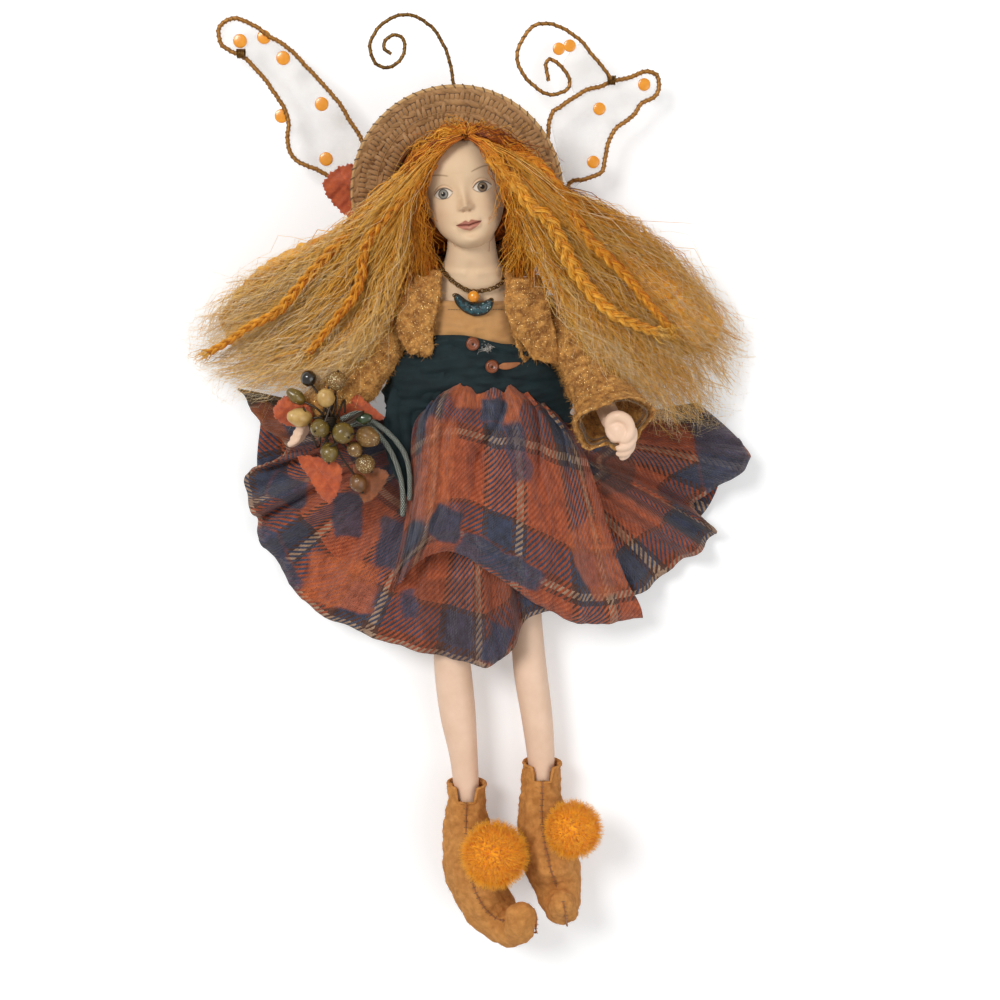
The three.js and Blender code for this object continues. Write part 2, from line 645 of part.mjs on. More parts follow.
function frontSurface(u, s) {
  const side = 2 * u - 1;
  const waistX = acrossWaist(waists.front, side);
  const waist = v(waistX, waists.front.y + side * side, 0);
  waist.z = frontHeight(waistX, waists.level, skirt.off + cloth) - 2.4 * side ** 4;
  const hem = frontHem.getPoint(u);
  const place = waist.clone().lerp(hem, s);
  const share = lapShare(place.x);
  const depth = skirt.foldDepth * (0.35 + 0.65 * (1 - share)) * smooth(s);
  const fold = depth * Math.cos(skirt.folds * 2 * Math.PI * u);
  const rest = skirt.hemHeight + skirt.lapHeight * share + fold;
  place.z = THREE.MathUtils.lerp(waist.z, rest, smooth(Math.min(1, s * 1.6)));
  return place;
}
add('skirt_front', sheet(44, 5, frontSurface, cloth), tartan, 0.9);

function drapeSurface(u, s) {
  const side = 2 * u - 1;
  const waistX = waists.drape.x + waists.drape.half * side;
  const onWrap = frontHeight(waistX, waists.drape.y, wrapOff + cloth);
  const waist = v(waistX, waists.drape.y, onWrap + cloth + 2 * gap);
  const hem = drapeHem.getPoint(u);
  const place = waist.clone().lerp(hem, s);
  const depth = skirt.drapeFoldDepth * smooth(s);
  const fold = depth * Math.cos(skirt.drapeFolds * 2 * Math.PI * u);
  const rest = skirt.drapeHeight - 4.6 * side ** 4 + fold;
  const puff = skirt.drapePuff * Math.sin(Math.PI * s) ** 2;
  place.z = THREE.MathUtils.lerp(waist.z, rest, smooth(s)) + puff;
  return place;
}
add('skirt_drape', sheet(24, 5, drapeSurface, cloth), tartan, 0.9);

const backHem = spline([
  [-70, 24], [-72, 4], [-66, -14], [-48, -24], [-24, -28.5], [2, -29.5], [28, -28.5], [52, -24],
  [70, -12], [78, 4], [74, 22],
]);
function backSurface(u, row) {
  const s = row ** 1.7;
  const side = 2 * u - 1;
  const waistX = acrossWaist(waists.back, side);
  const waist = v(waistX, waists.back.y + side * side, 0);
  waist.z = backHeight(waistX, waists.level, skirt.off) - 0.6 * side ** 4;
  const place = waist.clone().lerp(backHem.getPoint(u), s);
  const fold = skirt.backFoldDepth * smooth(s) * Math.cos(skirt.backFolds * 2 * Math.PI * u);
  place.z = THREE.MathUtils.lerp(waist.z, skirt.backHeight + fold, smooth(Math.min(1, s * 4)));
  return place;
}
add('skirt_back', sheet(24, 5, backSurface, cloth), tartan, 0.9);

// The right end of the wrap hangs down beside the lap.

const tailOuter = spline([[-21, 35], [-28, 27], [-29, 17], [-26.4, 8], [-22, 1]]);
const tailInner = spline([[-13, 34], [-15.4, 24], [-18, 15], [-19.4, 7], [-20.6, 1]]);
function tailSurface(u, s) {
  const place = tailOuter.getPoint(s).lerp(tailInner.getPoint(s), u);
  const top = frontHeight(Math.max(place.x, -19.8), 34, wrapOff + cloth) + gap + cloth + 0.2;
  const fall = smooth(Math.min(1, s * 1.6));
  place.z = THREE.MathUtils.lerp(top, 28.4 + 0.5 * Math.cos(5 * Math.PI * u), fall);
  return place;
}
add('wrap_tail', sheet(6, 7, tailSurface, cloth), velvet, 0.95);

// Wrap buttons, with a leather loop beside the lower one.

['upper', 'lower'].forEach((name) => {
  const [x, y] = button[name];
  const z = frontHeight(x, y, wrapOff + cloth) + gap + button.rise;
  const round = ball([x, y, z], button.radius, [1, 1, button.rise / button.radius]);
  add(`button_${name}`, round, chestnut, 0.35);
});
const loopZ = (x, y) => frontHeight(x, y, wrapOff + cloth) + gap + 0.5;
add('button_loop', oval([
  [6.8, 42, loopZ(6.8, 42), 0.9, 0.4], [8.8, 42.2, loopZ(8.8, 42.2), 1.2, 0.4],
  [10.8, 42.4, loopZ(10.8, 42.4), 0.6, 0.4], [12, 42.5, loopZ(12, 42.5), 0.2, 0.2],
], { sides: 8, across: v(0, 1, 0) }), leather, 0.7);

// The crescent swings below the bead.

const pendantOutline = [
  [-7.2, 63.8], [-6.6, 61], [-4.2, 58.4], [-0.8, 57], [2.4, 57.6], [4.3, 59.8], [4.6, 62.2],
  [3, 61.9], [1, 61], [-1.5, 60.7], [-4, 61.8], [-6, 63.6],
];
const pendantZ = frontHeight(-1.4, 59, bandeauOff + lightCloth) + gap;
add('pendant', plate(pendantOutline, pendantZ, pendantThick), teal, 0.15);

// Wings: wrapped wire frames sewn to the back of the jacket, with organza behind the wire.

const rootZ = (x, y) => backHeight(x, y, jacketOff + cloth) - gap - wire.frame - 0.2;
const wingShapes = {
  right: {
    roots: [[-5, 56], [-8, 48]],
    inner: [[-15, 62], [-25, 72], [-30, 86], [-32, 98]],
    lobe: [[-36, 109], [-40, 116], [-44.5, 122.5], [-50.5, 129], [-57, 136], [-64.5, 141], [-71, 145],
      [-75, 145.8], [-78.5, 144], [-79.5, 141], [-78.5, 138], [-75.5, 136], [-72, 134.5], [-68.5, 131],
      [-65.5, 127.5], [-62, 122.5], [-59.5, 118.5], [-58.5, 114], [-59, 109], [-57.5, 104.5], [-54, 102],
      [-46, 98]],
    outer: [[-39, 88], [-32, 74], [-22, 60]],
  },
  left: {
    roots: [[5, 57], [8, 49]],
    inner: [[15, 66], [19.6, 80], [20.4, 100]],
    lobe: [[22, 116], [25, 119.5], [29, 122], [33, 124.5], [37.5, 125.5], [40.5, 127], [45.5, 128],
      [51, 130], [54, 129.5], [55, 127.5], [55, 124.5], [53.5, 122], [50, 120.5], [47.5, 117],
      [44.5, 114.5], [42, 112.5], [40, 109], [39, 104.5], [38.5, 100.5], [37, 99], [32.5, 97.5],
      [27.5, 95.5]],
    outer: [[26, 84], [24, 70], [17, 58]],
  },
};
const wingGrown = {};
['right', 'left'].forEach((side) => {
  const { roots, inner, lobe, outer } = wingShapes[side];
  const flat = ([x, y]) => [x, y, wingZ];
  const start = [...roots[0], rootZ(...roots[0])];
  const finish = [...roots[1], rootZ(...roots[1])];
  const path = [start, ...inner.map(flat), ...lobe.map(flat), ...outer.map(flat), finish];
  add(`wing_frame_${side}`, rod(path, wire.frame, 46, 5), goldWire, 0.5, 0.6);
  wingGrown[side] = solidOf(rod(path, wire.frame + gap, 46, 5));
  const behind = wingZ - wire.frame - gap - organza;
  const sheetOutline = [inner[inner.length - 1], ...lobe, outer[0]];
  add(`wing_membrane_${side}`, plate(sheetOutline, behind, organza), sheer, 0.4);
});

// The left wing also has an upper lobe: a curl of wire that starts at the knot on the frame.

const curlRise = wingZ + wire.frame + wire.spiral + gap;
const curl = [
  [40.5, 127.4], [38, 131], [35, 134.6], [32, 138], [28.5, 141], [25, 143], [21, 144.2], [17, 143.5],
  [14, 140.5], [12, 136.5], [12, 132.5], [14, 128.5], [17.5, 125], [21, 123.3], [24.6, 123.3], [27.3, 125],
  [27.7, 127.8], [26, 130.4], [23.8, 132.6], [21.6, 133.6], [20.4, 131.4], [21.4, 127],
].map(([x, y]) => [x, y, curlRise]);
add('wing_curl_left', rod(curl, wire.spiral, 33, 5), goldWire, 0.45, 0.7);
const lobeZ = curlRise - wire.spiral - gap - organza;
add('wing_lobe_left', plate([
  [25.6, 131.6], [30, 137.4], [33, 136.4], [38.4, 129.6], [37, 127.2], [33, 126.2], [29.2, 124.4],
], lobeZ, organza), sheer, 0.4);

// One wire feeler is fixed under the brim of the hat and curls to the right.

const underBrim = (y) => hat.crownDepth + hat.tilt * y - gap - wire.antenna;
const feelerRoot = [[-0.5, 21.8], [-0.5, 26], [-0.7, 31.5]];
const feelerCurl = [
  [-1.5, 37.5], [-3.5, 43.5], [-6.5, 47.8], [-10.5, 50.9], [-14.5, 52.2], [-18.5, 51.3], [-22.5, 48.7],
  [-24.9, 45], [-25.1, 41.4], [-23.5, 38.3], [-20.5, 37], [-17.2, 38.3], [-15.1, 41.5], [-15.5, 45],
  [-18, 46.3], [-20.5, 45], [-21.1, 42.6], [-19.1, 40.8],
];
const feeler = [
  ...feelerRoot.map(([x, y]) => [x, y, underBrim(y)]),
  ...feelerCurl.map(([x, y]) => [x, y, feelerZ]),
].map(([x, y, z]) => [hat.x + x, hat.y + y, z]);
add('antenna', rod(feeler, wire.antenna, 36, 5), goldWire, 0.4, 0.7);

const leafTop = hat.crownDepth - gap;
const leafOutline = [[-39.5, 3], [-35.5, 7.5], [-30.5, 9], [-25.5, 5], [-25.5, -3], [-30, -7], [-36, -3]];
const leafPlate = (grow) => {
  const outline = leafOutline.map(([x, y]) => [x * (1 + grow / 9) + grow, y * (1 + grow / 4)]);
  return lean(plate(outline, leafTop - leafCloth - grow, leafCloth + 2 * grow));
};
add('hat_leaf', leafPlate(0), rust, 0.9);

// Hair: a fringe over the forehead and a loose mass down each side.

const fringe = [
  [-16, 95, 43.4, 1.8, 1.8], [-14, 101.6, 45, 3.4, 2.6], [-9.4, 107.6, 44, 4.2, 3], [-4, 111, 42.6, 3, 3],
  [1.6, 108.4, 45, 4.4, 3], [7, 102, 46, 4.8, 3], [11, 94.6, 44, 3.8, 2.8], [13, 88, 41.6, 1.6, 1.6],
];
const hairPaths = {
  right: [[-13, 100, 41, 4.5, 4], [-20, 90, 37, 9, 5.6], [-31, 79, 31, 14, 7], [-46, 67.5, 23.5, 19, 7.6],
    [-62, 57.5, 16.5, 20.5, 7.2], [-78, 48.5, 10.6, 16, 5.4], [-89, 43, 7.6, 8, 2.6]],
  left: [[6, 100, 41.6, 4.5, 4], [14, 90.5, 38, 10, 6], [25, 80.5, 34.4, 15, 7.4], [39, 71, 31, 18, 8.4],
    [54, 60, 24, 19.5, 8.4], [69, 48.5, 15.6, 17, 6.6], [84, 42.5, 9, 8, 3]],
};
const looking = { across: v(0, 1, 0), sides: 10, spans: 1 };
const headRoom = [headGrown, neckGrown, capGrown(), hatGrown];
const fringeSolid = cutBy(solidOf(oval(fringe, looking)), ...headRoom, ...braids);
add('hair_fringe', fringeSolid, copper, 0.7);
const fringeGrown = solidOf(oval(fringe, { ...looking, grow: gap }));
const hairRoom = [solidOf(leafPlate(gap)), jacketGrown, trunkGrown, chainGrown, fringeGrown];
['right', 'left'].forEach((side) => {
  const room = [...headRoom, ...braids, ...hairRoom, sleeveGrown[side], wingGrown[side]];
  const mass = solidOf(oval(hairPaths[side], looking));
  add(`hair_${side}`, cutBy(mass, ...room), mohair, 0.8);
});

// Berries on wire stems, four cloth leaves and two ends of braided cord, held in the right hand.

const bunch = [-45, 25, 38.2];
const berries = {
  black: [[-51, 38.5, 38], 2.5, [1, 1, 1]],
  acorn: [[-42.5, 38, 40], 3, [1, 1, 0.9]],
  cream: [[-45.6, 33, 41.4], 2.8, [1.1, 1, 1]],
  small: [[-55, 33, 37.5], 2.2, [0.9, 1.5, 0.9]],
  pale: [[-53.6, 27, 40.5], 3, [1.35, 0.8, 0.9]],
  olive: [[-47.5, 24, 42.6], 2.9, [1, 1.1, 1]],
  round: [[-40.6, 22.6, 42.2], 3.3, [1, 1, 1]],
  low: [[-45, 16.4, 40.5], 2.8, [1, 1.15, 1]],
  ribbed: [[-33.4, 21, 39.6], 3.1, [1, 1.25, 0.9]],
  tan: [[-37.4, 17.2, 39.6], 2.3, [1, 1.1, 1]],
  glitter: [[-34.4, 12.6, 38.4], 3, [1, 1, 1]],
  brown: [[-36.6, 6.6, 37.6], 2.7, [1, 1.1, 1]],
};
const bunchParts = Object.values(berries).map(([place, radius, stretch]) => {
  const middle = v(...place).lerp(v(...bunch), 0.5).toArray();
  const stem = solidOf(rod([bunch, middle, place], stemRadius, 1, 4));
  return solidOf(ball(place, radius, stretch, 8)).add(stem);
});
const handGrown = solidOf(oval(hands.right.slice(2), { sides: 10, grow: gap * 1.3 }));
const berryRoom = Object.values(berries).map(([place, radius, stretch]) => {
  const roomier = stretch.map((value) => value * (1 + gap / radius));
  return solidOf(ball(place, radius, roomier, 10));
});
const tie = solidOf(ball(bunch, tieRadius, [1.2, 1.2, 0.8], 8));
const bunchSolid = bunchParts.reduce((all, part) => all.add(part), tie);
add('berry_bunch', cutBy(bunchSolid, handGrown, sleeveGrown.right), olive, 0.4);

const leaves = {
  leaf_upper: {
    outline: [[-43, 36.4], [-39, 35], [-34, 31], [-28.6, 25.8], [-34, 25.6], [-42, 25.6]],
    rise: 1.6,
    color: leafRed,
  },
  leaf_lower: {
    outline: [[-54.5, 14.4], [-49, 14.6], [-42, 12.4], [-42, 6], [-45.5, 0.5], [-50, 6]],
    rise: 6.4,
    color: leafRed,
  },
  leaf_side: {
    outline: [[-38, 11.6], [-33, 11.4], [-27.5, 9.6], [-30, 4], [-34.5, 0.4], [-37, 5]],
    rise: 4.4,
    color: leafBrown,
  },
  leaf_back: {
    outline: [[-62, 29], [-58, 33], [-52, 31], [-50, 25], [-56, 23.6], [-60, 25]],
    rise: 4,
    color: leafRed,
  },
};
Object.entries(leaves).forEach(([name, { outline, rise, color }]) => {
  const whole = solidOf(plate(outline, leafZ + rise, leafCloth));
  add(name, cutBy(whole, sleeveGrown.right, handGrown, ...berryRoom), color, 0.9);
});
const cords = {
  cord_long: [[-41.9, 26, 37.2], [-36.4, 27.8, 36], [-32.4, 25.4, 36], [-28.6, 22.6, 35],
    [-25, 18.6, 33.4], [-22.4, 14, 32], [-21.4, 9, 31.4], [-21.2, 4, 31.2], [-21.4, 0, 31]],
  cord_short: [[-41.9, 23.7, 37], [-34.4, 24.4, 35.6], [-30.4, 21, 35.2], [-27.6, 17, 33.6],
    [-25.8, 13, 32.2], [-24.4, 8.6, 31.4], [-23.6, 4, 31.2], [-23.4, -1, 31], [-23.6, -5, 30.8]],
};
Object.entries(cords).forEach(([name, path]) => {
  add(name, rod(path, cordDiameter / 2, 14, 8), darkGreen, 0.7);
});

// The origin is under the middle of the doll, on the floor.

const extent = new THREE.Box3().setFromObject(doll);
const centre = extent.getCenter(v());
doll.position.set(-centre.x, -centre.y, -extent.min.z);

export default doll;
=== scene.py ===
import bpy
import math
import numpy as np
from types import SimpleNamespace
from mathutils import Matrix, Vector
from mathutils.geometry import delaunay_2d_cdt


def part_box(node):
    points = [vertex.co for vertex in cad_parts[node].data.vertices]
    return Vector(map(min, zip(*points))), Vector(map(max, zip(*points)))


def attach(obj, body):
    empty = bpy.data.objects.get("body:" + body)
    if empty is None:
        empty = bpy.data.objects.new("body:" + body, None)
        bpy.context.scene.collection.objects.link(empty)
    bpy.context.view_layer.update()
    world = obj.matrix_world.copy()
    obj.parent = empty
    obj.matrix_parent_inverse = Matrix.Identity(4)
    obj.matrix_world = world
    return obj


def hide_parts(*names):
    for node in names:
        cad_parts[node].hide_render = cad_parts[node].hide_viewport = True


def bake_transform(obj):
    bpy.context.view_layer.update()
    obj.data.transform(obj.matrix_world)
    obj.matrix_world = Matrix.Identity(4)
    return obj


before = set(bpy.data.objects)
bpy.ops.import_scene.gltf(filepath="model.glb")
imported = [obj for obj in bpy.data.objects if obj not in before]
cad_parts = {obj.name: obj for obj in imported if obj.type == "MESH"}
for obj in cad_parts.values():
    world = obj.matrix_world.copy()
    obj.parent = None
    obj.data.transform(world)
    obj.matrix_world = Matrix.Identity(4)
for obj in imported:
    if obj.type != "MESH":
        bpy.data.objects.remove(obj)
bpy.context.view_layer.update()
scene = bpy.context.scene

# Every piece is worked out in millimetres from the doll's own middle line, then moved to the frame.
hatLow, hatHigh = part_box("straw_hat")
hatMiddle = (-6.5, 92.8)
shift = np.array([(hatLow[0] + hatHigh[0]) * 500 - hatMiddle[0], (hatLow[1] + hatHigh[1]) * 500
        - hatMiddle[1], 0.0])

cameraPlace = {"x": 6.5, "y": 97.243, "z": 581.492, "lean": 10.0, "focal": 1814.0, "frame": 1000.0}


def toFrame(points):
    return (np.asarray(points, float) + shift) / 1000.0


def seen(px, py, height):  # the point at a height over the floor that the camera sees at px, py
    c = cameraPlace
    lean = math.radians(c["lean"])
    x, y = px - 500.0, 500.0 - py
    ray = np.array([x, y * math.cos(lean) - c["focal"] * math.sin(lean),
            -y * math.sin(lean) - c["focal"] * math.cos(lean)])
    t = (height - c["z"]) / ray[2]
    return np.array([c["x"] + ray[0] * t, c["y"] + ray[1] * t, height])


def seenPath(points):
    return np.array([seen(*p) for p in points])


# Curves and noise

def spline(points, count, closed=False):  # evenly spaced points on a smooth curve through the given ones
    p = np.asarray(points, float)
    n = len(p)
    if closed:
        p = np.vstack([p[-1], p, p[0], p[1]])
        spans = n
    else:
        p = np.vstack([2 * p[0] - p[1], p, 2 * p[-1] - p[-2]])
        spans = n - 1
    t = np.linspace(0, spans, spans * 16 + 1)
    i = np.minimum(t.astype(int), spans - 1)
    f = (t - i)[:, None]
    a, b, c, d = p[i], p[i + 1], p[i + 2], p[i + 3]
    fine = 0.5 * (2 * b + (c - a) * f + (2 * a - 5 * b + 4 * c - d) * f ** 2
            + (3 * b - a - 3 * c + d) * f ** 3)
    length = np.concatenate([[0], np.cumsum(np.linalg.norm(np.diff(fine[:, :3], axis=0), axis=1))])
    where = np.linspace(0, length[-1], count + 1 if closed else count)
    out = np.stack([np.interp(where, length, fine[:, k]) for k in range(fine.shape[1])], axis=1)
    return out[:-1] if closed else out


def closedOutline(points, count):
    return spline(np.column_stack([points, np.zeros(len(points))]), count, closed=True)[:, :2]


def lengthOf(path):
    return float(np.linalg.norm(np.diff(np.asarray(path)[:, :3], axis=0), axis=1).sum())


def smooth(t):
    t = np.clip(t, 0, 1)
    return t * t * (3 - 2 * t)


def roundTurn(count):  # angles evenly spaced round a full turn
    return np.arange(count) / count * 2 * math.pi


def bell(distance, width):
    return np.exp(-(distance / width) ** 2)


def ripple(points, size, seed, layers=6):  # soft seeded noise between about -1 and 1
    rng = np.random.default_rng(seed)
    p = np.asarray(points, float)
    total = np.zeros(p.shape[:-1])
    for _ in range(layers):
        way = rng.normal(size=3)
        way /= np.linalg.norm(way)
        total += np.sin((p @ way) * 2 * math.pi / (size * rng.uniform(0.6, 1.5)) + rng.uniform(0, 6.28))
    return total / math.sqrt(layers)


def directions(path):
    d = np.gradient(path, axis=0)
    return d / np.maximum(np.linalg.norm(d, axis=1, keepdims=True), 1e-9)


def carried(path, start):  # a side direction carried along a path without twist
    along = directions(path)
    side = np.zeros_like(path)
    s = np.asarray(start, float)
    for i, d in enumerate(along):
        s = s - d * s.dot(d)
        s = s / max(np.linalg.norm(s), 1e-9)
        side[i] = s
    return along, side, np.cross(along, side)


# Meshes

def added(name, data):  # a new object in the scene
    piece = bpy.data.objects.new(name, data)
    scene.collection.objects.link(piece)
    return piece


def newMesh(name, points, faces, material=None, uv=None, values=None):
    mesh = bpy.data.meshes.new(name)
    points = np.asarray(points, float).reshape(-1, 3)
    mesh.vertices.add(len(points))
    mesh.vertices.foreach_set("co", toFrame(points).astype(np.float32).ravel())
    faces = [np.asarray(f, np.int32) for f in (faces if isinstance(faces, list) else [faces]) if len(f)]
    total = sum(f.size for f in faces)
    starts = []
    at = 0
    for f in faces:
        starts.append(at + np.arange(len(f)) * f.shape[1])
        at += f.size
    mesh.loops.add(total)
    mesh.loops.foreach_set("vertex_index", np.concatenate([f.ravel() for f in faces]))
    mesh.polygons.add(sum(len(f) for f in faces))
    mesh.polygons.foreach_set("loop_start", np.concatenate(starts).astype(np.int32))
    mesh.update(calc_edges=True)
    mesh.validate()
    mesh.shade_smooth()
    if uv is not None:
        loops = np.zeros(len(mesh.loops), np.int32)
        mesh.loops.foreach_get("vertex_index", loops)
        layer = mesh.uv_layers.new(name="UVMap")
        layer.data.foreach_set("uv", np.asarray(uv, np.float32).reshape(-1, 2)[loops].ravel())
    for key, value in (values or {}).items():
        value = np.asarray(value, np.float32)
        if value.ndim == 1:
            mesh.attributes.new(key, "FLOAT", "POINT").data.foreach_set("value", value)
        else:
            colour = np.ones((len(points), 4), np.float32)
            colour[:, :3] = value
            mesh.attributes.new(key, "FLOAT_COLOR", "POINT").data.foreach_set("color", colour.ravel())
    if material:
        mesh.materials.append(material)
    return added(name, mesh)


def gridFaces(rows, cols, wrap=False, first=0):
    r, c = np.meshgrid(np.arange(rows - 1), np.arange(cols if wrap else cols - 1), indexing="ij")
    a = r * cols + c
    b = r * cols + (c + 1) % cols
    return (np.stack([a, b, b + cols, a + cols], axis=-1).reshape(-1, 4) + first).astype(np.int32)


def outward(points, faces, closedFaces):  # turns every face over if the closed shape is inside out
    p = np.asarray(points).reshape(-1, 3)
    volume = 0.0
    for f in closedFaces:
        for k in range(1, f.shape[1] - 1):
            volume += np.einsum("ij,ij->i", p[f[:, 0]], np.cross(p[f[:, k]], p[f[:, k + 1]])).sum()
    return [f[:, ::-1] for f in faces] if volume < 0 else faces


def closedRings(rings):  # a closed skin over rings of equal count, with a fan at each end
    rings = np.asarray(rings, float)
    n, s, _ = rings.shape
    points = np.vstack([rings.reshape(-1, 3), rings[0].mean(axis=0), rings[-1].mean(axis=0)])
    k = np.arange(s)
    startFan = np.stack([np.full(s, n * s), (k + 1) % s, k], axis=1)
    endFan = np.stack([np.full(s, n * s + 1), (n - 1) * s + k, (n - 1) * s + (k + 1) % s], axis=1)
    faces = [gridFaces(n, s, wrap=True), startFan.astype(np.int32), endFan.astype(np.int32)]
    return points, outward(points, faces, faces)


def ringsRound(middle, side, rise, wide, deep, turn):
    return (middle[:, None, :] + side[:, None, :] * (wide * np.cos(turn))[..., None]
            + rise[:, None, :] * (deep * np.sin(turn))[..., None])


def ringsAlong(path, halfWide, halfDeep, sides, across=(1, 0, 0)):
    _, side, rise = carried(path, across)
    turn = roundTurn(sides)
    return ringsRound(path, side, rise, halfWide[:, None], halfDeep[:, None], turn)


def gridUv(across, down):  # a flat place for each point of a grid, in mm
    return np.stack(np.broadcast_arrays(across[None, :], down[:, None]), axis=-1).reshape(-1, 2)


def loft(name, stations, material, sides=48, steps=60, across=(1, 0, 0), reshape=None, uvTile=None):
    s = spline(stations, steps)
    rings = ringsAlong(s[:, :3], s[:, 3], s[:, 4], sides, across)
    if reshape:
        rings = reshape(rings)
    points, faces = closedRings(rings)
    uv = None
    if uvTile:
        turn = np.abs(np.arange(sides) / sides * 2 - 1) * uvTile[0]
        along = np.linspace(0, lengthOf(s), steps)
        uv = np.vstack([gridUv(turn, along), [[0, along[0]], [0, along[-1]]]])
    return newMesh(name, points, faces, material, uv)


def shell(name, surface, thickness, material, uv=None, values=None):  # a sheet with two faces and a rim
    p = np.asarray(surface, float)
    rows, cols, _ = p.shape
    du, dv = np.gradient(p, axis=1), np.gradient(p, axis=0)
    normal = np.cross(du, dv)
    normal /= np.maximum(np.linalg.norm(normal, axis=2, keepdims=True), 1e-9)
    if normal[..., 2].sum() < 0:
        normal = -normal
    points = np.concatenate([p.reshape(-1, 3), (p - normal * thickness).reshape(-1, 3)])
    top = gridFaces(rows, cols)
    under = gridFaces(rows, cols, first=rows * cols)[:, ::-1]
    border = np.concatenate([np.arange(cols), np.arange(1, rows) * cols + cols - 1,
            (rows - 1) * cols + np.arange(cols - 2, -1, -1), np.arange(rows - 2, 0, -1) * cols])
    following = np.roll(border, -1)
    rim = np.stack([following, border, border + rows * cols, following + rows * cols],
            axis=1).astype(np.int32)
    faces = outward(points, [top, under, rim], [top, under, rim])
    if uv is not None:
        uv = np.concatenate([np.asarray(uv).reshape(-1, 2)] * 2)
    if values:
        values = {k: np.concatenate([np.asarray(x).reshape(rows * cols, *np.shape(x)[2:])] * 2)
                for k, x in values.items()}
    return newMesh(name, points, faces, material, uv, values)


def sphereRings(centre, radii, rows=24, sides=32, turn=None):
    a = np.linspace(0.02, math.pi - 0.02, rows)
    b = roundTurn(sides)
    p = np.stack([np.sin(a)[:, None] * np.cos(b), np.sin(a)[:, None] * np.sin(b),
            np.cos(a)[:, None] * np.ones(sides)], axis=-1)
    p = p * np.asarray(radii, float)
    if turn is not None:
        p = p @ np.asarray(turn).T
    return p + np.asarray(centre, float)


def joined(name, parts, material):  # several closed shapes as one mesh
    points, faces, at = [], [], 0
    for p, fs in parts:
        points.append(p)
        faces += [f + at for f in fs]
        at += len(p)
    return newMesh(name, np.vstack(points), faces, material)


def facing(direction, up=(0, 0, 1)):  # a turn whose third column points along a direction
    z = np.asarray(direction, float)
    z = z / np.linalg.norm(z)
    x = np.cross(up, z)
    if np.linalg.norm(x) < 1e-6:
        x = np.cross((0, 1, 0), z)
    x /= np.linalg.norm(x)
    return np.stack([x, np.cross(z, x), z], axis=1)


def remesh(piece, voxel, smoothing):
    even = piece.modifiers.new("remesh", "REMESH")
    even.mode = "VOXEL"
    even.voxel_size = voxel
    relax = piece.modifiers.new("relax", "SMOOTH")
    relax.iterations = smoothing


def softCopy(node, name, material, voxel=0.0007, smoothing=8, swell=0.0):
    piece = added(name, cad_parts[node].data.copy())
    piece.data.materials.clear()
    weld = piece.modifiers.new("weld", "WELD")
    weld.merge_threshold = 0.00001
    remesh(piece, voxel, smoothing)
    if swell:
        push = piece.modifiers.new("swell", "DISPLACE")
        push.strength = swell
        push.mid_level = 0
    return settled(piece, name, material)


def settled(piece, name, material=None):  # the evaluated shape as a plain mesh, with no modifier left
    graph = bpy.context.evaluated_depsgraph_get()
    graph.update()
    mesh = bpy.data.meshes.new_from_object(piece.evaluated_get(graph), preserve_all_data_layers=True,
            depsgraph=graph)
    old = piece.data
    piece.modifiers.clear()
    if piece.type == "MESH":
        piece.data = mesh
        done = piece
    else:
        done = added(name, mesh)
        bpy.data.objects.remove(piece)
    if old.users == 0 and isinstance(old, bpy.types.Mesh):
        bpy.data.meshes.remove(old)
    done.name = name
    mesh.name = name
    if material:
        mesh.materials.clear()
        mesh.materials.append(material)
    if not mesh.polygons:
        raise RuntimeError(name + " came out empty")
    mesh.shade_smooth()
    return done


def pointsOf(piece):  # a mesh's points in the doll's own millimetres
    co = np.zeros(len(piece.data.vertices) * 3, np.float32)
    piece.data.vertices.foreach_get("co", co)
    return co.reshape(-1, 3).astype(float) * 1000.0 - shift


def setPoints(piece, points):
    piece.data.vertices.foreach_set("co", toFrame(points).astype(np.float32).ravel())
    piece.data.update()


def normalsOf(piece):
    out = np.zeros(len(piece.data.vertices) * 3, np.float32)
    piece.data.vertices.foreach_get("normal", out)
    return out.reshape(-1, 3).astype(float)


def place(piece, body, slotName, *nodes):
    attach(piece, body)
    if nodes:
        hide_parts(*nodes)
    return piece


def feed(tree, socket, value):  # links an output into an input, or sets the input
    if isinstance(value, bpy.types.NodeSocket):
        tree.links.new(value, socket)
    else:
        socket.default_value = value


def maker(tree):  # returns a function that adds a node and links or sets its inputs
    def node(kind, links=None, **settings):
        made = tree.nodes.new(kind)
        for key, value in settings.items():
            setattr(made, key, value)
        for key, value in (links or {}).items():
            feed(tree, made.inputs[key], value)
        return made
    return node


def addInputs(tree, inputs):
    for label, (kind, value) in inputs.items():
        item = tree.interface.new_socket(label, in_out="INPUT", socket_type="NodeSocket" + kind)
        if value is not None:
            item.default_value = value


# Geometry node trees. Each has named inputs and ends in Realize Instances and Set Material.

def startTree(name, inputs):
    tree = bpy.data.node_groups.new(name, "GeometryNodeTree")
    tree.interface.new_socket("Geometry", in_out="INPUT", socket_type="NodeSocketGeometry")
    addInputs(tree, inputs)
    tree.interface.new_socket("Geometry", in_out="OUTPUT", socket_type="NodeSocketGeometry")
    start = tree.nodes.new("NodeGroupInput")
    end = tree.nodes.new("NodeGroupOutput")

    node = maker(tree)

    def close(geometry):
        solid = node("GeometryNodeRealizeInstances", {"Geometry": geometry})
        painted = node("GeometryNodeSetMaterial",
                {"Geometry": solid.outputs[0], "Material": start.outputs["Material"]})
        tree.links.new(painted.outputs[0], end.inputs[0])

    return tree, start, node, close


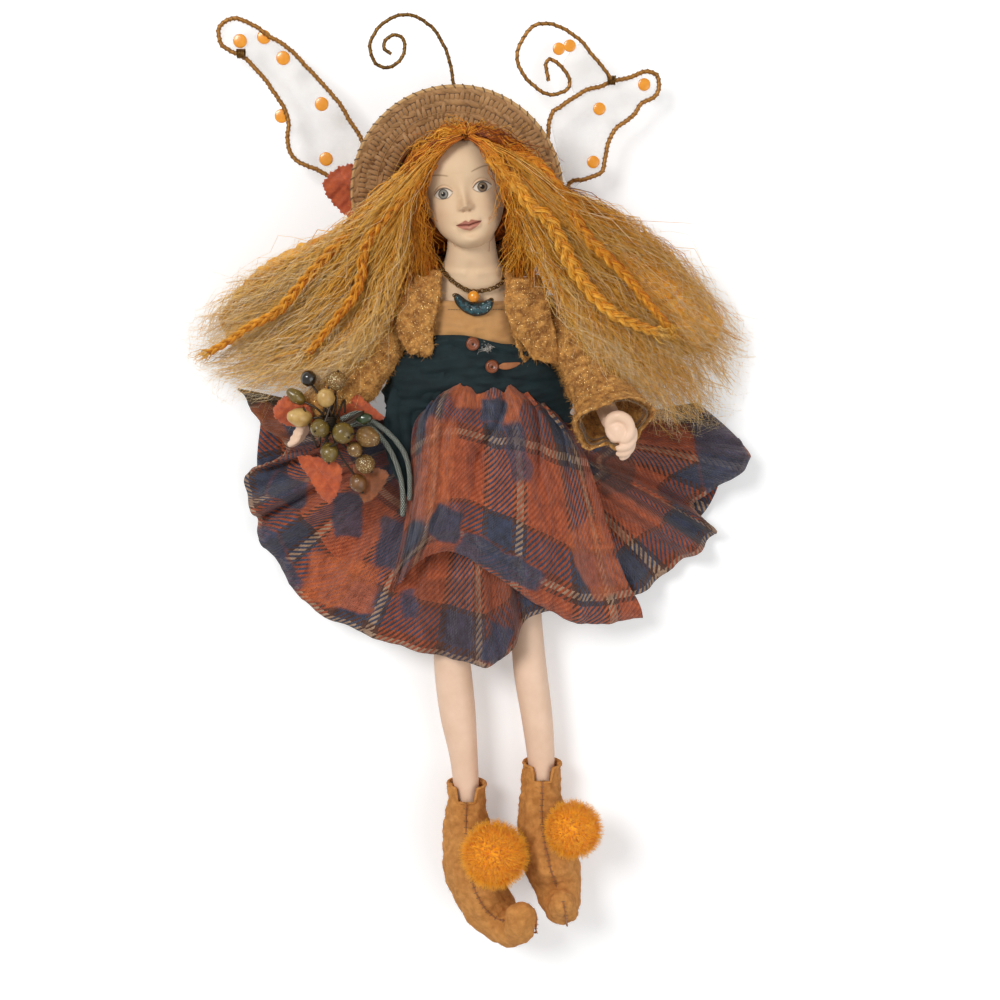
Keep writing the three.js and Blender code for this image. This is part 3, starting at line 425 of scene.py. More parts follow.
def strandTree():  # round or flat strands along loose edges, as thick as the thick attribute says
    tree, start, node, close = startTree("strandsAlongEdges",
            {"Width": ("Float", 1.0), "Sides": ("Int", 3), "Material": ("Material", None)})
    curves = node("GeometryNodeMeshToCurve", {"Mesh": start.outputs["Geometry"]})
    thick = node("GeometryNodeInputNamedAttribute", {"Name": "thick"}, data_type="FLOAT")
    width = node("ShaderNodeMath", {0: thick.outputs[0], 1: start.outputs["Width"]}, operation="MULTIPLY")
    sized = node("GeometryNodeSetCurveRadius", {"Curve": curves.outputs[0], "Radius": width.outputs[0]})
    profile = node("GeometryNodeCurvePrimitiveCircle",
            {"Resolution": start.outputs["Sides"], "Radius": 0.001})
    inputs = {"Curve": sized.outputs[0], "Profile Curve": profile.outputs[0], "Fill Caps": True}
    tube = node("GeometryNodeCurveToMesh", inputs)
    if "Scale" in tube.inputs:
        tree.links.new(width.outputs[0], tube.inputs["Scale"])
    soft = node("GeometryNodeSetShadeSmooth", {0: tube.outputs[0]})
    close(soft.outputs[0])
    return tree


def atPointsTree():  # copies of one small piece at points that carry their own turn and size
    tree, start, node, close = startTree("piecesAtPoints",
            {"Piece": ("Object", None), "Scale": ("Float", 1.0), "Material": ("Material", None)})
    points = node("GeometryNodeMeshToPoints", {"Mesh": start.outputs["Geometry"]})
    turn = node("GeometryNodeInputNamedAttribute", {"Name": "turn"}, data_type="FLOAT_VECTOR")
    size = node("GeometryNodeInputNamedAttribute", {"Name": "size"}, data_type="FLOAT_VECTOR")
    rotation = node("FunctionNodeEulerToRotation", {0: turn.outputs[0]})
    scaled = node("ShaderNodeVectorMath", {0: size.outputs[0], 3: start.outputs["Scale"]},
            operation="SCALE")
    piece = node("GeometryNodeObjectInfo", {"Object": start.outputs["Piece"]})
    copies = node("GeometryNodeInstanceOnPoints",
            {"Points": points.outputs[0], "Instance": piece.outputs["Geometry"],
            "Rotation": rotation.outputs[0], "Scale": scaled.outputs[0]})
    close(copies.outputs[0])
    return tree


def furTree():  # fibres scattered over a surface, leaning at random from its normal
    tree, start, node, close = startTree("fibresOnSurface",
            {"Fibre": ("Object", None), "Density": ("Float", 1000.0), "Lean": ("Float", 0.5),
            "Shortest": ("Float", 0.6), "Longest": ("Float", 1.2), "Seed": ("Int", 1),
            "Material": ("Material", None)})
    scatter = node("GeometryNodeDistributePointsOnFaces",
            {"Mesh": start.outputs["Geometry"], "Density": start.outputs["Density"],
            "Seed": start.outputs["Seed"]}, distribute_method="RANDOM")
    less = node("ShaderNodeMath", {0: start.outputs["Lean"], 1: -1.0}, operation="MULTIPLY")
    low = node("ShaderNodeCombineXYZ", {"X": less.outputs[0], "Y": less.outputs[0], "Z": -3.14})
    high = node("ShaderNodeCombineXYZ", {"X": start.outputs["Lean"], "Y": start.outputs["Lean"], "Z": 3.14})
    spin = node("FunctionNodeRandomValue",
            {0: low.outputs[0], 1: high.outputs[0], "Seed": start.outputs["Seed"]},
            data_type="FLOAT_VECTOR")
    size = node("FunctionNodeRandomValue", {2: start.outputs["Shortest"], 3: start.outputs["Longest"],
            "Seed": 7}, data_type="FLOAT")
    turn = node("FunctionNodeAlignEulerToVector", {"Vector": scatter.outputs["Normal"]}, axis="Z")
    leaned = node("FunctionNodeRotateEuler", {"Rotation": turn.outputs[0], "Rotate By": spin.outputs[0]},
            space="LOCAL")
    fibre = node("GeometryNodeObjectInfo", {"Object": start.outputs["Fibre"]})
    copies = node("GeometryNodeInstanceOnPoints",
            {"Points": scatter.outputs["Points"], "Instance": fibre.outputs["Geometry"],
            "Rotation": leaned.outputs[0]})
    tree.links.new(size.outputs[1], copies.inputs["Scale"])
    close(copies.outputs[0])
    return tree


trees = {"strands": strandTree(), "atPoints": atPointsTree(), "fur": furTree()}


# runs a tree on a piece and returns the result as a new plain mesh
def grow(source, tree, name, values, keep=False):
    target = added(name, source.data.copy()) if keep else source
    modifier = target.modifiers.new("grow", "NODES")
    modifier.node_group = trees[tree]
    sockets = {i.name: i.identifier for i in trees[tree].interface.items_tree if i.item_type == "SOCKET"
            and i.in_out == "INPUT"}
    for key, value in values.items():
        modifier[sockets[key]] = value
    return settled(target, name)


def edgePaths(name, paths, values=None):  # loose edges along paths, which may differ in length
    mesh = bpy.data.meshes.new(name)
    counts = [len(p) for p in paths]
    points = np.vstack(paths)
    starts = np.cumsum([0] + counts[:-1])
    edges = np.concatenate([np.stack([np.arange(c - 1), np.arange(1, c)], axis=1) + s
            for c, s in zip(counts, starts)])
    mesh.vertices.add(len(points))
    mesh.vertices.foreach_set("co", toFrame(points).astype(np.float32).ravel())
    mesh.edges.add(len(edges))
    mesh.edges.foreach_set("vertices", edges.astype(np.int32).ravel())
    for key, value in (values or {}).items():
        data = np.concatenate([np.broadcast_to(np.asarray(x, np.float32), (c,))
                for x, c in zip(value, counts)])
        mesh.attributes.new(key, "FLOAT", "POINT").data.foreach_set("value", data)
    mesh.update()
    return added(name, mesh)


# thick is a radius in mm, for each path or each point
def strands(name, paths, thick, material, sides=3, tint=None):
    values = {"thick": thick}
    if tint is not None:
        values["tint"] = tint
    source = edgePaths(name, paths, values)
    return grow(source, "strands", name, {"Width": 1.0, "Sides": sides, "Material": material})


# a small shape about the origin, in mm, to be copied along a path
def smallPiece(name, points, faces, material=None):
    return newMesh(name, np.asarray(points) - shift, faces, material)


def placeStrands(name, paths, thick, material, sides, body, slotName):  # strands of one thickness
    made = strands(name, paths, [thick] * len(paths), materials[material], sides)
    place(made, body, slotName)


def drop(*pieces):
    for piece in pieces:
        bpy.data.objects.remove(piece)


print("helpers ready")


# Camera, floor and light

def addCamera():
    camera = added("camera", bpy.data.cameras.new("camera"))
    c = cameraPlace
    camera.location = Vector(toFrame((c["x"], c["y"], c["z"])))
    camera.rotation_euler = (-math.radians(c["lean"]), 0, 0)
    camera.data.sensor_width = 36
    camera.data.lens = 36 * c["focal"] / c["frame"]
    camera.data.clip_start = 0.01
    scene.camera = camera


addCamera()

light = {"key": 9.8, "fill": 3.4, "world": 0.5, "floorLift": 0.24}


def addLamp(name, place, aim, size, power):
    lamp = added(name, bpy.data.lights.new(name, "AREA"))
    lamp.data.shape = "DISK"
    lamp.data.size = size
    lamp.data.energy = power
    lamp.location = place
    lamp.rotation_euler = (Vector(aim) - Vector(place)).to_track_quat("-Z", "Y").to_euler()


addLamp("keyLamp", (-0.55, 0.55, 1.1), (0, 0, 0), 0.5, light["key"])
addLamp("fillLamp", (0.7, -0.2, 0.9), (0, 0, 0), 0.9, light["fill"])


def math2(node, operation, a, b=0.0, clamp=False):
    return node("ShaderNodeMath", {0: a, 1: b}, operation=operation, use_clamp=clamp).outputs[0]


def rgb(text):  # a colour as it is seen, from its six letters and digits
    parts = [int(text[k:k + 2], 16) / 255 for k in (0, 2, 4)]
    return tuple((p / 12.92 if p <= 0.04045 else ((p + 0.055) / 1.055) ** 2.4) for p in parts) + (1.0,)


def mixed(node, share, a, b, blend="MIX"):
    made = node("ShaderNodeMix", data_type="RGBA", blend_type=blend)
    for index, value in ((0, share), (6, a), (7, b)):
        feed(made.id_data, made.inputs[index], value)
    return made.outputs[2]


def ramp(node, share, stops, steps=False):  # the colour at a share of the way through the stops
    made = node("ShaderNodeValToRGB", {0: share})
    if steps:
        made.color_ramp.interpolation = "CONSTANT"
    elements = made.color_ramp.elements
    while len(elements) < len(stops):
        elements.new(0.99)
    for element, (at, colour) in zip(elements, stops):
        element.position = at
        element.color = rgb(colour)
    return made.outputs[0]


def humps(node, value):  # rows of equal humps, one for each whole step of the value
    return math2(node, "ABSOLUTE", math2(node, "SINE", math2(node, "MULTIPLY", value, math.pi)))


def startGroup(name, inputs, outputs):
    tree = bpy.data.node_groups.new(name, "ShaderNodeTree")
    addInputs(tree, inputs)
    for label, kind in outputs.items():
        tree.interface.new_socket(label, in_out="OUTPUT", socket_type="NodeSocket" + kind)
    node = maker(tree)
    start = node("NodeGroupInput").outputs
    end = node("NodeGroupOutput").inputs

    def give(label, socket):
        tree.links.new(socket, end[label])

    return tree, start, node, give


def driftGroup():  # a soft change between two colours
    tree, start, node, give = startGroup("colourDrift",
            {"Vector": ("Vector", None), "Colour": ("Color", (1, 1, 1, 1)),
            "Other": ("Color", (1, 1, 1, 1)), "Size": ("Float", 5.0), "Sharpness": ("Float", 2.0)},
            {"Colour": "Color", "Mask": "Float"})
    scale = math2(node, "DIVIDE", 1.0, start["Size"])
    noise = node("ShaderNodeTexNoise", {"Vector": start["Vector"], "Scale": scale, "Detail": 5.0,
            "Roughness": 0.6})
    centred = math2(node, "SUBTRACT", noise.outputs["Fac"], 0.5)
    mask = math2(node, "ADD", math2(node, "MULTIPLY", centred, start["Sharpness"]), 0.5, clamp=True)
    give("Colour", mixed(node, mask, start["Colour"], start["Other"]))
    give("Mask", mask)
    return tree


def weaveGroup():  # threads that pass over and under each other; the vector is in mm
    tree, start, node, give = startGroup("weave", {"Vector": ("Vector", None), "Thread": ("Float", 0.5),
            "Ragged": ("Float", 0.15)}, {"Height": "Float", "Mask": "Float"})
    blur = node("ShaderNodeTexNoise", {"Vector": start["Vector"], "Scale": 1.3, "Detail": 2.0})
    shake = node("ShaderNodeVectorMath", {0: blur.outputs["Color"], 3: start["Ragged"]}, operation="SCALE")
    moved = node("ShaderNodeVectorMath", {0: start["Vector"], 1: shake.outputs[0]}, operation="ADD")
    parts = node("ShaderNodeSeparateXYZ", {0: moved.outputs[0]})
    u = math2(node, "DIVIDE", parts.outputs[0], start["Thread"])
    w = math2(node, "DIVIDE", parts.outputs[1], start["Thread"])
    across, along = humps(node, u), humps(node, w)
    cells = math2(node, "ADD", math2(node, "FLOOR", u), math2(node, "FLOOR", w))
    parity = math2(node, "ABSOLUTE", math2(node, "MODULO", cells, 2.0))
    first = math2(node, "MULTIPLY", math2(node, "SUBTRACT", 1.0, parity), across)
    second = math2(node, "MULTIPLY", parity, along)
    give("Height", math2(node, "ADD", first, second))
    give("Mask", parity)
    return tree


def grainGroup():  # fine uneven grain; the vector is in mm
    tree, start, node, give = startGroup("grain", {"Vector": ("Vector", None), "Size": ("Float", 0.5),
            "Detail": ("Float", 6.0)}, {"Height": "Float", "Mask": "Float"})
    scale = math2(node, "DIVIDE", 1.0, start["Size"])
    noise = node("ShaderNodeTexNoise",
            {"Vector": start["Vector"], "Scale": scale, "Detail": start["Detail"], "Roughness": 0.65})
    cells = node("ShaderNodeTexVoronoi", {"Vector": start["Vector"], "Scale": scale})
    give("Height", math2(node, "ADD", noise.outputs["Fac"],
            math2(node, "MULTIPLY", cells.outputs["Distance"], 0.3)))
    give("Mask", math2(node, "GREATER_THAN", noise.outputs["Fac"], 0.62))
    return tree


def glitterGroup():  # small bright flecks that catch the light
    tree, start, node, give = startGroup("glitter", {"Vector": ("Vector", None), "Size": ("Float", 0.5),
            "Share": ("Float", 0.2)}, {"Mask": "Float"})
    scale = math2(node, "DIVIDE", 1.0, start["Size"])
    cells = node("ShaderNodeTexVoronoi", {"Vector": start["Vector"], "Scale": scale, "Randomness": 1.0})
    chance = node("ShaderNodeSeparateColor", {0: cells.outputs["Color"]})
    chosen = math2(node, "LESS_THAN", chance.outputs[0], start["Share"])
    middle = math2(node, "LESS_THAN", cells.outputs["Distance"], 0.36)
    give("Mask", math2(node, "MULTIPLY", chosen, middle))
    return tree


def plaidGroup():  # crossed stripes in a diagonal twill; the vector is in mm along the two threads
    tree, start, node, give = startGroup("plaid", {"Vector": ("Vector", None), "Repeat": ("Float", 30.0),
            "Twill": ("Float", 0.9)}, {"Colour": "Color", "Height": "Float"})
    parts = node("ShaderNodeSeparateXYZ", {0: start["Vector"]})
    stripes = []
    for axis in (0, 1):
        turn = math2(node, "FRACT", math2(node, "DIVIDE", parts.outputs[axis], start["Repeat"]))
        stops = [(at, plaid[colour]) for at, colour in plaid["weft" if axis else "warp"]]
        stripes.append(ramp(node, turn, stops, steps=True))
    slant = math2(node, "DIVIDE", math2(node, "ADD", parts.outputs[0], parts.outputs[1]), start["Twill"])
    wave = math2(node, "FRACT", slant)
    over = math2(node, "LESS_THAN", wave, 0.5)
    give("Colour", mixed(node, over, stripes[0], stripes[1]))
    rise = math2(node, "ABSOLUTE", math2(node, "SINE", math2(node, "MULTIPLY", slant, 2 * math.pi)))
    give("Height", rise)
    return tree


plaid = {
    "rust": "ae5028", "ember": "c4643a", "slate": "424860", "brown": "5c382a", "cream": "b8977c",
    "net": "54421f", "plain": "a95a2c", "orange": "d26e3a",
    "warp": ((0.0, "rust"), (0.34, "brown"), (0.4, "slate"), (0.66, "brown"), (0.7, "cream"),
        (0.78, "brown"), (0.82, "rust")),
    "weft": ((0.0, "ember"), (0.26, "brown"), (0.3, "slate"), (0.54, "brown"), (0.6, "cream"),
        (0.66, "brown"), (0.7, "ember")),
}
groups = {"drift": driftGroup(), "weave": weaveGroup(), "grain": grainGroup(), "glitter": glitterGroup(),
        "plaid": plaidGroup()}


def startMaterial(name, roughness=0.6, metallic=0.0, sheen=0.0, coat=0.0, specular=0.5):
    material = bpy.data.materials.new(name)
    material.use_nodes = True
    tree = material.node_tree
    shader = tree.nodes["Principled BSDF"]
    for label, value in {"Roughness": roughness, "Metallic": metallic, "Sheen Weight": sheen,
            "Sheen Roughness": 0.5, "Coat Weight": coat, "Coat Roughness": 0.15,
            "Specular IOR Level": specular}.items():
        shader.inputs[label].default_value = value
    node = maker(tree)
    coordinates = node("ShaderNodeTexCoord").outputs
    mm = node("ShaderNodeMapping", {"Vector": coordinates["Object"],
            "Scale": (1000, 1000, 1000)}).outputs[0]

    def use(group, **links):  # a shared pattern, in mm unless another vector is given
        made = node("ShaderNodeGroup")
        made.node_tree = groups[group]
        for key, value in {"Vector": mm, **links}.items():
            feed(tree, made.inputs[key], value)
        return made.outputs

    def drift(colour, other, size, sharpness):
        return use("drift", Colour=rgb(colour), Other=rgb(other), Size=size, Sharpness=sharpness)

    def give(label, socket):
        tree.links.new(socket, shader.inputs[label])

    def bump(height, distance, strength=1.0, before=None):
        made = node("ShaderNodeBump", {"Height": height, "Distance": distance / 1000.0,
                "Strength": strength})
        if before is not None:
            tree.links.new(before, made.inputs["Normal"])
        return made.outputs[0]

    return SimpleNamespace(material=material, shader=shader, node=node, uv=coordinates["UV"], use=use,
            drift=drift, give=give, bump=bump)


# Plain finishes: colour, second colour, size of the change in mm, then what the surface does
finishes = {
    "resin": dict(colours=("eccab0", "dfba9c"), size=9, roughness=0.5, grain=(0.25, 0.02), coat=0.05),
    "cotton": dict(colours=("d8c4a4", "c9b28e"), size=6, roughness=0.9, weave=(0.45, 0.1), sheen=0.2),
    "bandeau": dict(colours=("e0a868", "cf9350"), size=5, roughness=0.85, weave=(0.34, 0.1), sheen=0.2),
    "velvet": dict(colours=("06181b", "0d2529"), size=4, sharp=3, roughness=0.85, grain=(0.22, 0.15),
        sheen=0.25, tint="2c5a5c"),
    "felt": dict(colours=("da9850", "b87838"), size=2.6, sharp=3.2, roughness=0.95, grain=(0.3, 0.35),
        sheen=0.25, tint="e0a050"),
    "lining": dict(colours=("8a6a44", "6f5234"), size=3, roughness=0.9, weave=(0.5, 0.15), sheen=0.2),
    "paleStraw": dict(colours=("c9a06a", "b1864f"), size=2, sharp=3, roughness=0.65, grain=(0.3, 0.1)),
    "leather": dict(colours=("b0703f", "8f5530"), size=2, roughness=0.55, grain=(0.2, 0.08)),
    "leaf": dict(colours=("d8652c", "b4481e"), size=2.4, sharp=3, roughness=0.8, weave=(0.4, 0.12),
        sheen=0.3),
    "brownLeaf": dict(colours=("a65a26", "7d431d"), size=2.4, sharp=3, roughness=0.8, weave=(0.4, 0.12),
        sheen=0.3),
    "bronze": dict(colours=("553a1c", "83602c"), size=1.2, sharp=4, roughness=0.38, metallic=0.85,
        grain=(0.3, 0.05)),
    "goldWire": dict(colours=("b27c34", "84561f"), size=0.8, sharp=4, roughness=0.42, metallic=0.5,
        grain=(0.3, 0.05)),
    "button": dict(colours=("8c4a28", "6b361b"), size=1.6, roughness=0.35, coat=0.2),
    "bead": dict(colours=("e89a24", "d27c12"), size=1.5, roughness=0.2, coat=0.4),
    "darkWire": dict(colours=("2a2018", "3d2f1c"), size=1.5, roughness=0.4, metallic=0.4),
    "fluff": dict(colours=("e0d8cc", "cfc5b8"), size=1, roughness=0.95, sheen=0.5),
    "knitFibre": dict(colours=("e6ac5a", "a86e30"), size=1.6, sharp=3, roughness=0.5),
}


def plainMaterial(name, colours, size, roughness, sharp=2.0, metallic=0.0, sheen=0.0, coat=0.0, grain=None,
        weave=None, tint=None):
    m = startMaterial(name, roughness, metallic, sheen, coat)
    if tint:
        m.shader.inputs["Sheen Tint"].default_value = rgb(tint)
    drift = m.drift(colours[0], colours[1], size, sharp)
    colour = drift["Colour"]
    normal = None
    if weave:
        threads = m.use("weave", Thread=weave[0])
        # painted shade between threads: the colour is darkened where the thread height sinks
        dark = math2(m.node, "MULTIPLY_ADD", threads["Height"], 0.35)
        dark.node.inputs[2].default_value = 0.65
        colour = mixed(m.node, 1.0, colour, dark, "MULTIPLY")
        normal = m.bump(threads["Height"], weave[1])
    if grain:
        fine = m.use("grain", Size=grain[0])
        normal = m.bump(fine["Height"], grain[1], before=normal)
    m.give("Base Color", colour)
    if normal is not None:
        m.give("Normal", normal)
    return m.material


materials = {name: plainMaterial(name, **values) for name, values in finishes.items()}


def hairMaterial():
    m = startMaterial("mohair", 0.5, specular=0.3)
    tint = m.node("ShaderNodeAttribute", attribute_name="tint").outputs["Fac"]
    stops = ((0.0, "6e2e04"), (0.2, "cc6c0a"), (0.42, "f0a52e"), (0.66, "f8bf52"), (0.86, "fad486"),
            (1.0, "fde6bc"))
    tone = ramp(m.node, tint, stops)
    change = m.drift("ffffff", "8a5c24", 1.8, 3.4)
    m.give("Base Color", mixed(m.node, 0.42, tone, change["Colour"], "MULTIPLY"))
    return m.material


def strawMaterial():
    m = startMaterial("plaitedStraw", 0.6, sheen=0.15)
    tone = m.drift("b98a57", "946839", 5.0, 3.0)
    stretched = m.node("ShaderNodeMapping", {"Vector": m.uv, "Scale": (0.25, 5.0, 1.0)}).outputs[0]
    streak = m.node("ShaderNodeTexNoise", {"Vector": stretched, "Scale": 1.0, "Detail": 4.0})
    shade = m.node("ShaderNodeMapRange", {0: streak.outputs["Fac"], 1: 0.3, 2: 0.7, 3: 0.72, 4: 1.12})
    m.give("Base Color", mixed(m.node, 1.0, tone["Colour"], shade.outputs[0], "MULTIPLY"))
    m.give("Normal", m.bump(streak.outputs["Fac"], 0.12))
    return m.material


def organzaMaterial():
    m = startMaterial("organza", 0.35, sheen=0.4)
    threads = m.use("weave", Thread=0.34, Ragged=0.3)
    cloud = m.drift("ffffff", "efe6da", 7.0, 2.0)
    m.give("Base Color", cloud["Colour"])
    body = m.node("ShaderNodeMapRange", {0: threads["Height"], 1: 0.1, 2: 0.95, 3: 0.05, 4: 0.24})
    m.give("Alpha", body.outputs[0])
    m.give("Normal", m.bump(threads["Height"], 0.08))
    return m.material


def dotMaterial():
    m = startMaterial("orangeSequin", 0.25, coat=0.5)
    drift = m.drift("f0a028", "e08a18", 1.4, 2.0)
    m.give("Base Color", drift["Colour"])
    return m.material


def knitMaterial():
    m = startMaterial("goldKnit", 0.8)
    drift = m.drift("d69a4e", "8e5a26", 2.2, 4.0)
    fine = m.use("grain", Size=0.45)
    spark = m.use("glitter", Size=0.6, Share=0.45)
    m.give("Base Color", mixed(m.node, spark["Mask"], drift["Colour"], rgb("f3cf8a")))
    m.give("Metallic", math2(m.node, "MULTIPLY", spark["Mask"], 0.85))
    rough = m.node("ShaderNodeMapRange", {0: spark["Mask"], 3: 0.85, 4: 0.25})
    m.give("Roughness", rough.outputs[0])
    m.give("Normal", m.bump(fine["Height"], 0.5))
    return m.material


def tartanMaterial():
    m = startMaterial("checkTwill", 0.85, sheen=0.18, specular=0.4)
    check = m.use("plaid", Vector=m.uv, Repeat=40.0, Twill=2.0)
    patch = m.node("ShaderNodeAttribute", attribute_name="patch").outputs["Color"]
    share = m.node("ShaderNodeAttribute", attribute_name="patchShare").outputs["Fac"]
    laid = mixed(m.node, share, check["Colour"], patch)
    fade = m.use("drift", Vector=m.uv, Colour=rgb("ffffff"), Other=rgb("b49e88"), Size=3.4, Sharpness=3.0)
    colour = mixed(m.node, 0.8, laid, fade["Colour"], "MULTIPLY")
    crinkleUv = m.node("ShaderNodeMapping", {"Vector": m.uv, "Scale": (1.5, 0.34, 1.0)}).outputs[0]
    lines = m.node("ShaderNodeTexNoise", {"Vector": crinkleUv, "Scale": 1.0, "Detail": 3.0})
    # painted shade in the creases: the colour darkens where the crinkle bump is low
    crinkle = m.node("ShaderNodeMapRange", {0: lines.outputs["Fac"], 1: 0.3, 2: 0.7, 3: 0.82, 4: 1.1})
    m.give("Base Color", mixed(m.node, 1.0, colour, crinkle.outputs[0], "MULTIPLY"))
    m.give("Normal", m.bump(lines.outputs["Fac"], 1.1, before=m.bump(check["Height"], 0.12)))
    return m.material


def furMaterial():
    m = startMaterial("orangeFur", 0.75, sheen=0.15, specular=0.2)
    drift = m.drift("ffa616", "ffba34", 3.0, 2.6)
    m.give("Base Color", drift["Colour"])
    return m.material


def glazeMaterial():
    m = startMaterial("tealGlaze", 0.12, coat=0.5)
    drift = m.drift("05161a", "1d5058", 1.3, 4.5)
    spark = m.use("glitter", Size=0.7, Share=0.14)
    m.give("Base Color", mixed(m.node, spark["Mask"], drift["Colour"], rgb("a8d8cc")))
    m.give("Normal", m.bump(drift["Mask"], 0.1))
    return m.material


def cordMaterial():
    m = startMaterial("braidedCord", 0.85, specular=0.2)
    parts = m.node("ShaderNodeSeparateXYZ", {0: m.uv})
    slant = math2(m.node, "ADD", math2(m.node, "MULTIPLY", parts.outputs[0], 4.0),
            math2(m.node, "MULTIPLY", parts.outputs[1], 0.9))
    lean = math2(m.node, "SUBTRACT", math2(m.node, "MULTIPLY", parts.outputs[1], 0.9),
            math2(m.node, "MULTIPLY", parts.outputs[0], 4.0))
    height = math2(m.node, "MULTIPLY", humps(m.node, slant), humps(m.node, lean))
    fleck = math2(m.node, "GREATER_THAN", height, 0.58)
    m.give("Base Color", mixed(m.node, fleck, rgb("16201c"), rgb("d6dbcc")))
    m.give("Normal", m.bump(height, 0.25))
    return m.material


def berryMaterial(name, colour, other, roughness=0.3, coat=0.4, sparkle=0.0):
    m = startMaterial(name, roughness, coat=coat)
    drift = m.drift(colour, other, 2.4, 2.6)
    result = drift["Colour"]
    if sparkle:
        spark = m.use("glitter", Size=0.42, Share=sparkle)
        result = mixed(m.node, spark["Mask"], result, rgb("f2e2b0"))
        m.give("Metallic", math2(m.node, "MULTIPLY", spark["Mask"], 0.7))
        m.give("Normal", m.bump(spark["Mask"], 0.15))
    m.give("Base Color", result)
    return m.material


def paintedMaterial():  # the resin head, with its painted face kept as a colour at every point
    m = startMaterial("paintedResin", 0.55, specular=0.3)
    paint = m.node("ShaderNodeAttribute", attribute_name="paint").outputs["Color"]
    cloud = m.drift("ffffff", "f2e6dc", 8.0, 1.6)
    m.give("Base Color", mixed(m.node, 0.7, paint, cloud["Colour"], "MULTIPLY"))
    fine = m.use("grain", Size=0.2)
    m.give("Normal", m.bump(fine["Height"], 0.012))
    return m.material


def floorMaterial():
    material = bpy.data.materials.new("paleGround")
    material.use_nodes = True
    node = maker(material.node_tree)
    shader = material.node_tree.nodes["Principled BSDF"]
    for label, value in {"Base Color": (0.86, 0.86, 0.86, 1), "Roughness": 0.9, "Specular IOR Level": 0.1,
            "Emission Color": (1, 1, 1, 1)}.items():
        shader.inputs[label].default_value = value
    ray = node("ShaderNodeLightPath")
    material.node_tree.links.new(math2(node, "MULTIPLY", ray.outputs["Is Camera Ray"], light["floorLift"]),
            shader.inputs["Emission Strength"])
    return material


def addFloor():
    world = bpy.data.worlds.new("paleRoom")
    world.use_nodes = True
    node = maker(world.node_tree)
    sky = world.node_tree.nodes["Background"]
    sky.inputs["Color"].default_value = (1, 1, 1, 1)
    ray = node("ShaderNodeLightPath")
    seenRay = math2(node, "ADD", math2(node, "MULTIPLY", ray.outputs["Is Camera Ray"], 1 - light["world"]),
            light["world"], clamp=True)
    world.node_tree.links.new(seenRay, sky.inputs["Strength"])
    scene.world = world
    mesh = bpy.data.meshes.new("ground")
    half = 4.0
    mesh.from_pydata([(-half, -half, -0.0002), (half, -half, -0.0002), (half, half, -0.0002),
            (-half, half, -0.0002)], [], [(0, 1, 2, 3)])
    mesh.materials.append(floorMaterial())
    added("ground", mesh)
    scene.view_settings.view_transform = "Standard"


addFloor()
materials.update({"hair": hairMaterial(), "straw": strawMaterial(), "organza": organzaMaterial(),
        "dot": dotMaterial(), "knit": knitMaterial(), "tartan": tartanMaterial(), "fur": furMaterial(),
        "glaze": glazeMaterial(), "cord": cordMaterial(), "paint": paintedMaterial(),
        "berryBlack": berryMaterial("darkBerry", "120e0b", "261f18", 0.15, 0.8),
        "berryAcorn": berryMaterial("glitterAcorn", "86622e", "62441e", 0.5, 0.1, 0.55),
        "berryCream": berryMaterial("creamEgg", "c9a564", "a67e3e", 0.35, 0.25),
        "berryOlive": berryMaterial("oliveBerry", "5c4818", "786228", 0.32, 0.3, 0.06),
        "berryGreen": berryMaterial("darkGreenBead", "23301c", "39482a", 0.15, 0.8),
        "berryTan": berryMaterial("tanPod", "8c6836", "664720", 0.4, 0.2, 0.2),
        "berryBrown": berryMaterial("brownPod", "7a4f24", "5a3716", 0.4, 0.3, 0.1)})
print("camera, light and materials ready")


# The body under the clothes. Each row is x, y, z, half width and half depth.

trunk = np.array([(-2, 73, 31.5, 7.8, 7), (-2, 69, 30.5, 10.6, 7.5), (-2, 66, 29, 12.6, 8),
        (-2, 62, 28, 13.4, 8.8), (-1.8, 56, 27.5, 13.6, 9.6), (-1.4, 50, 26.5, 14, 10),
        (-1, 44, 25, 15.6, 10), (0, 36, 22.5, 17.6, 10), (0.5, 28, 19.5, 18.6, 10), (1, 21, 17, 18.8, 9.8),
        (1, 15.5, 15.4, 17.7, 9.5)], float)


def trunkAt(y):
    order = trunk[::-1]
    return np.stack([np.interp(y, order[:, 1], order[:, k]) for k in (0, 2, 3, 4)], axis=-1)


def frontOf(x, y, grow):  # height of the front of the body at x, y, standing off it by grow
    cx, cz, wide, deep = np.moveaxis(trunkAt(np.asarray(y, float)), -1, 0)
    share = np.clip(np.abs(np.asarray(x, float) - cx) / (wide + grow), 0, 0.999)
    return cz + (deep + grow) * np.sqrt(1 - share * share)


layers = {"bandeau": 0.3, "wrap": 1.4, "jacket": 2.9, "cloth": 1.2}


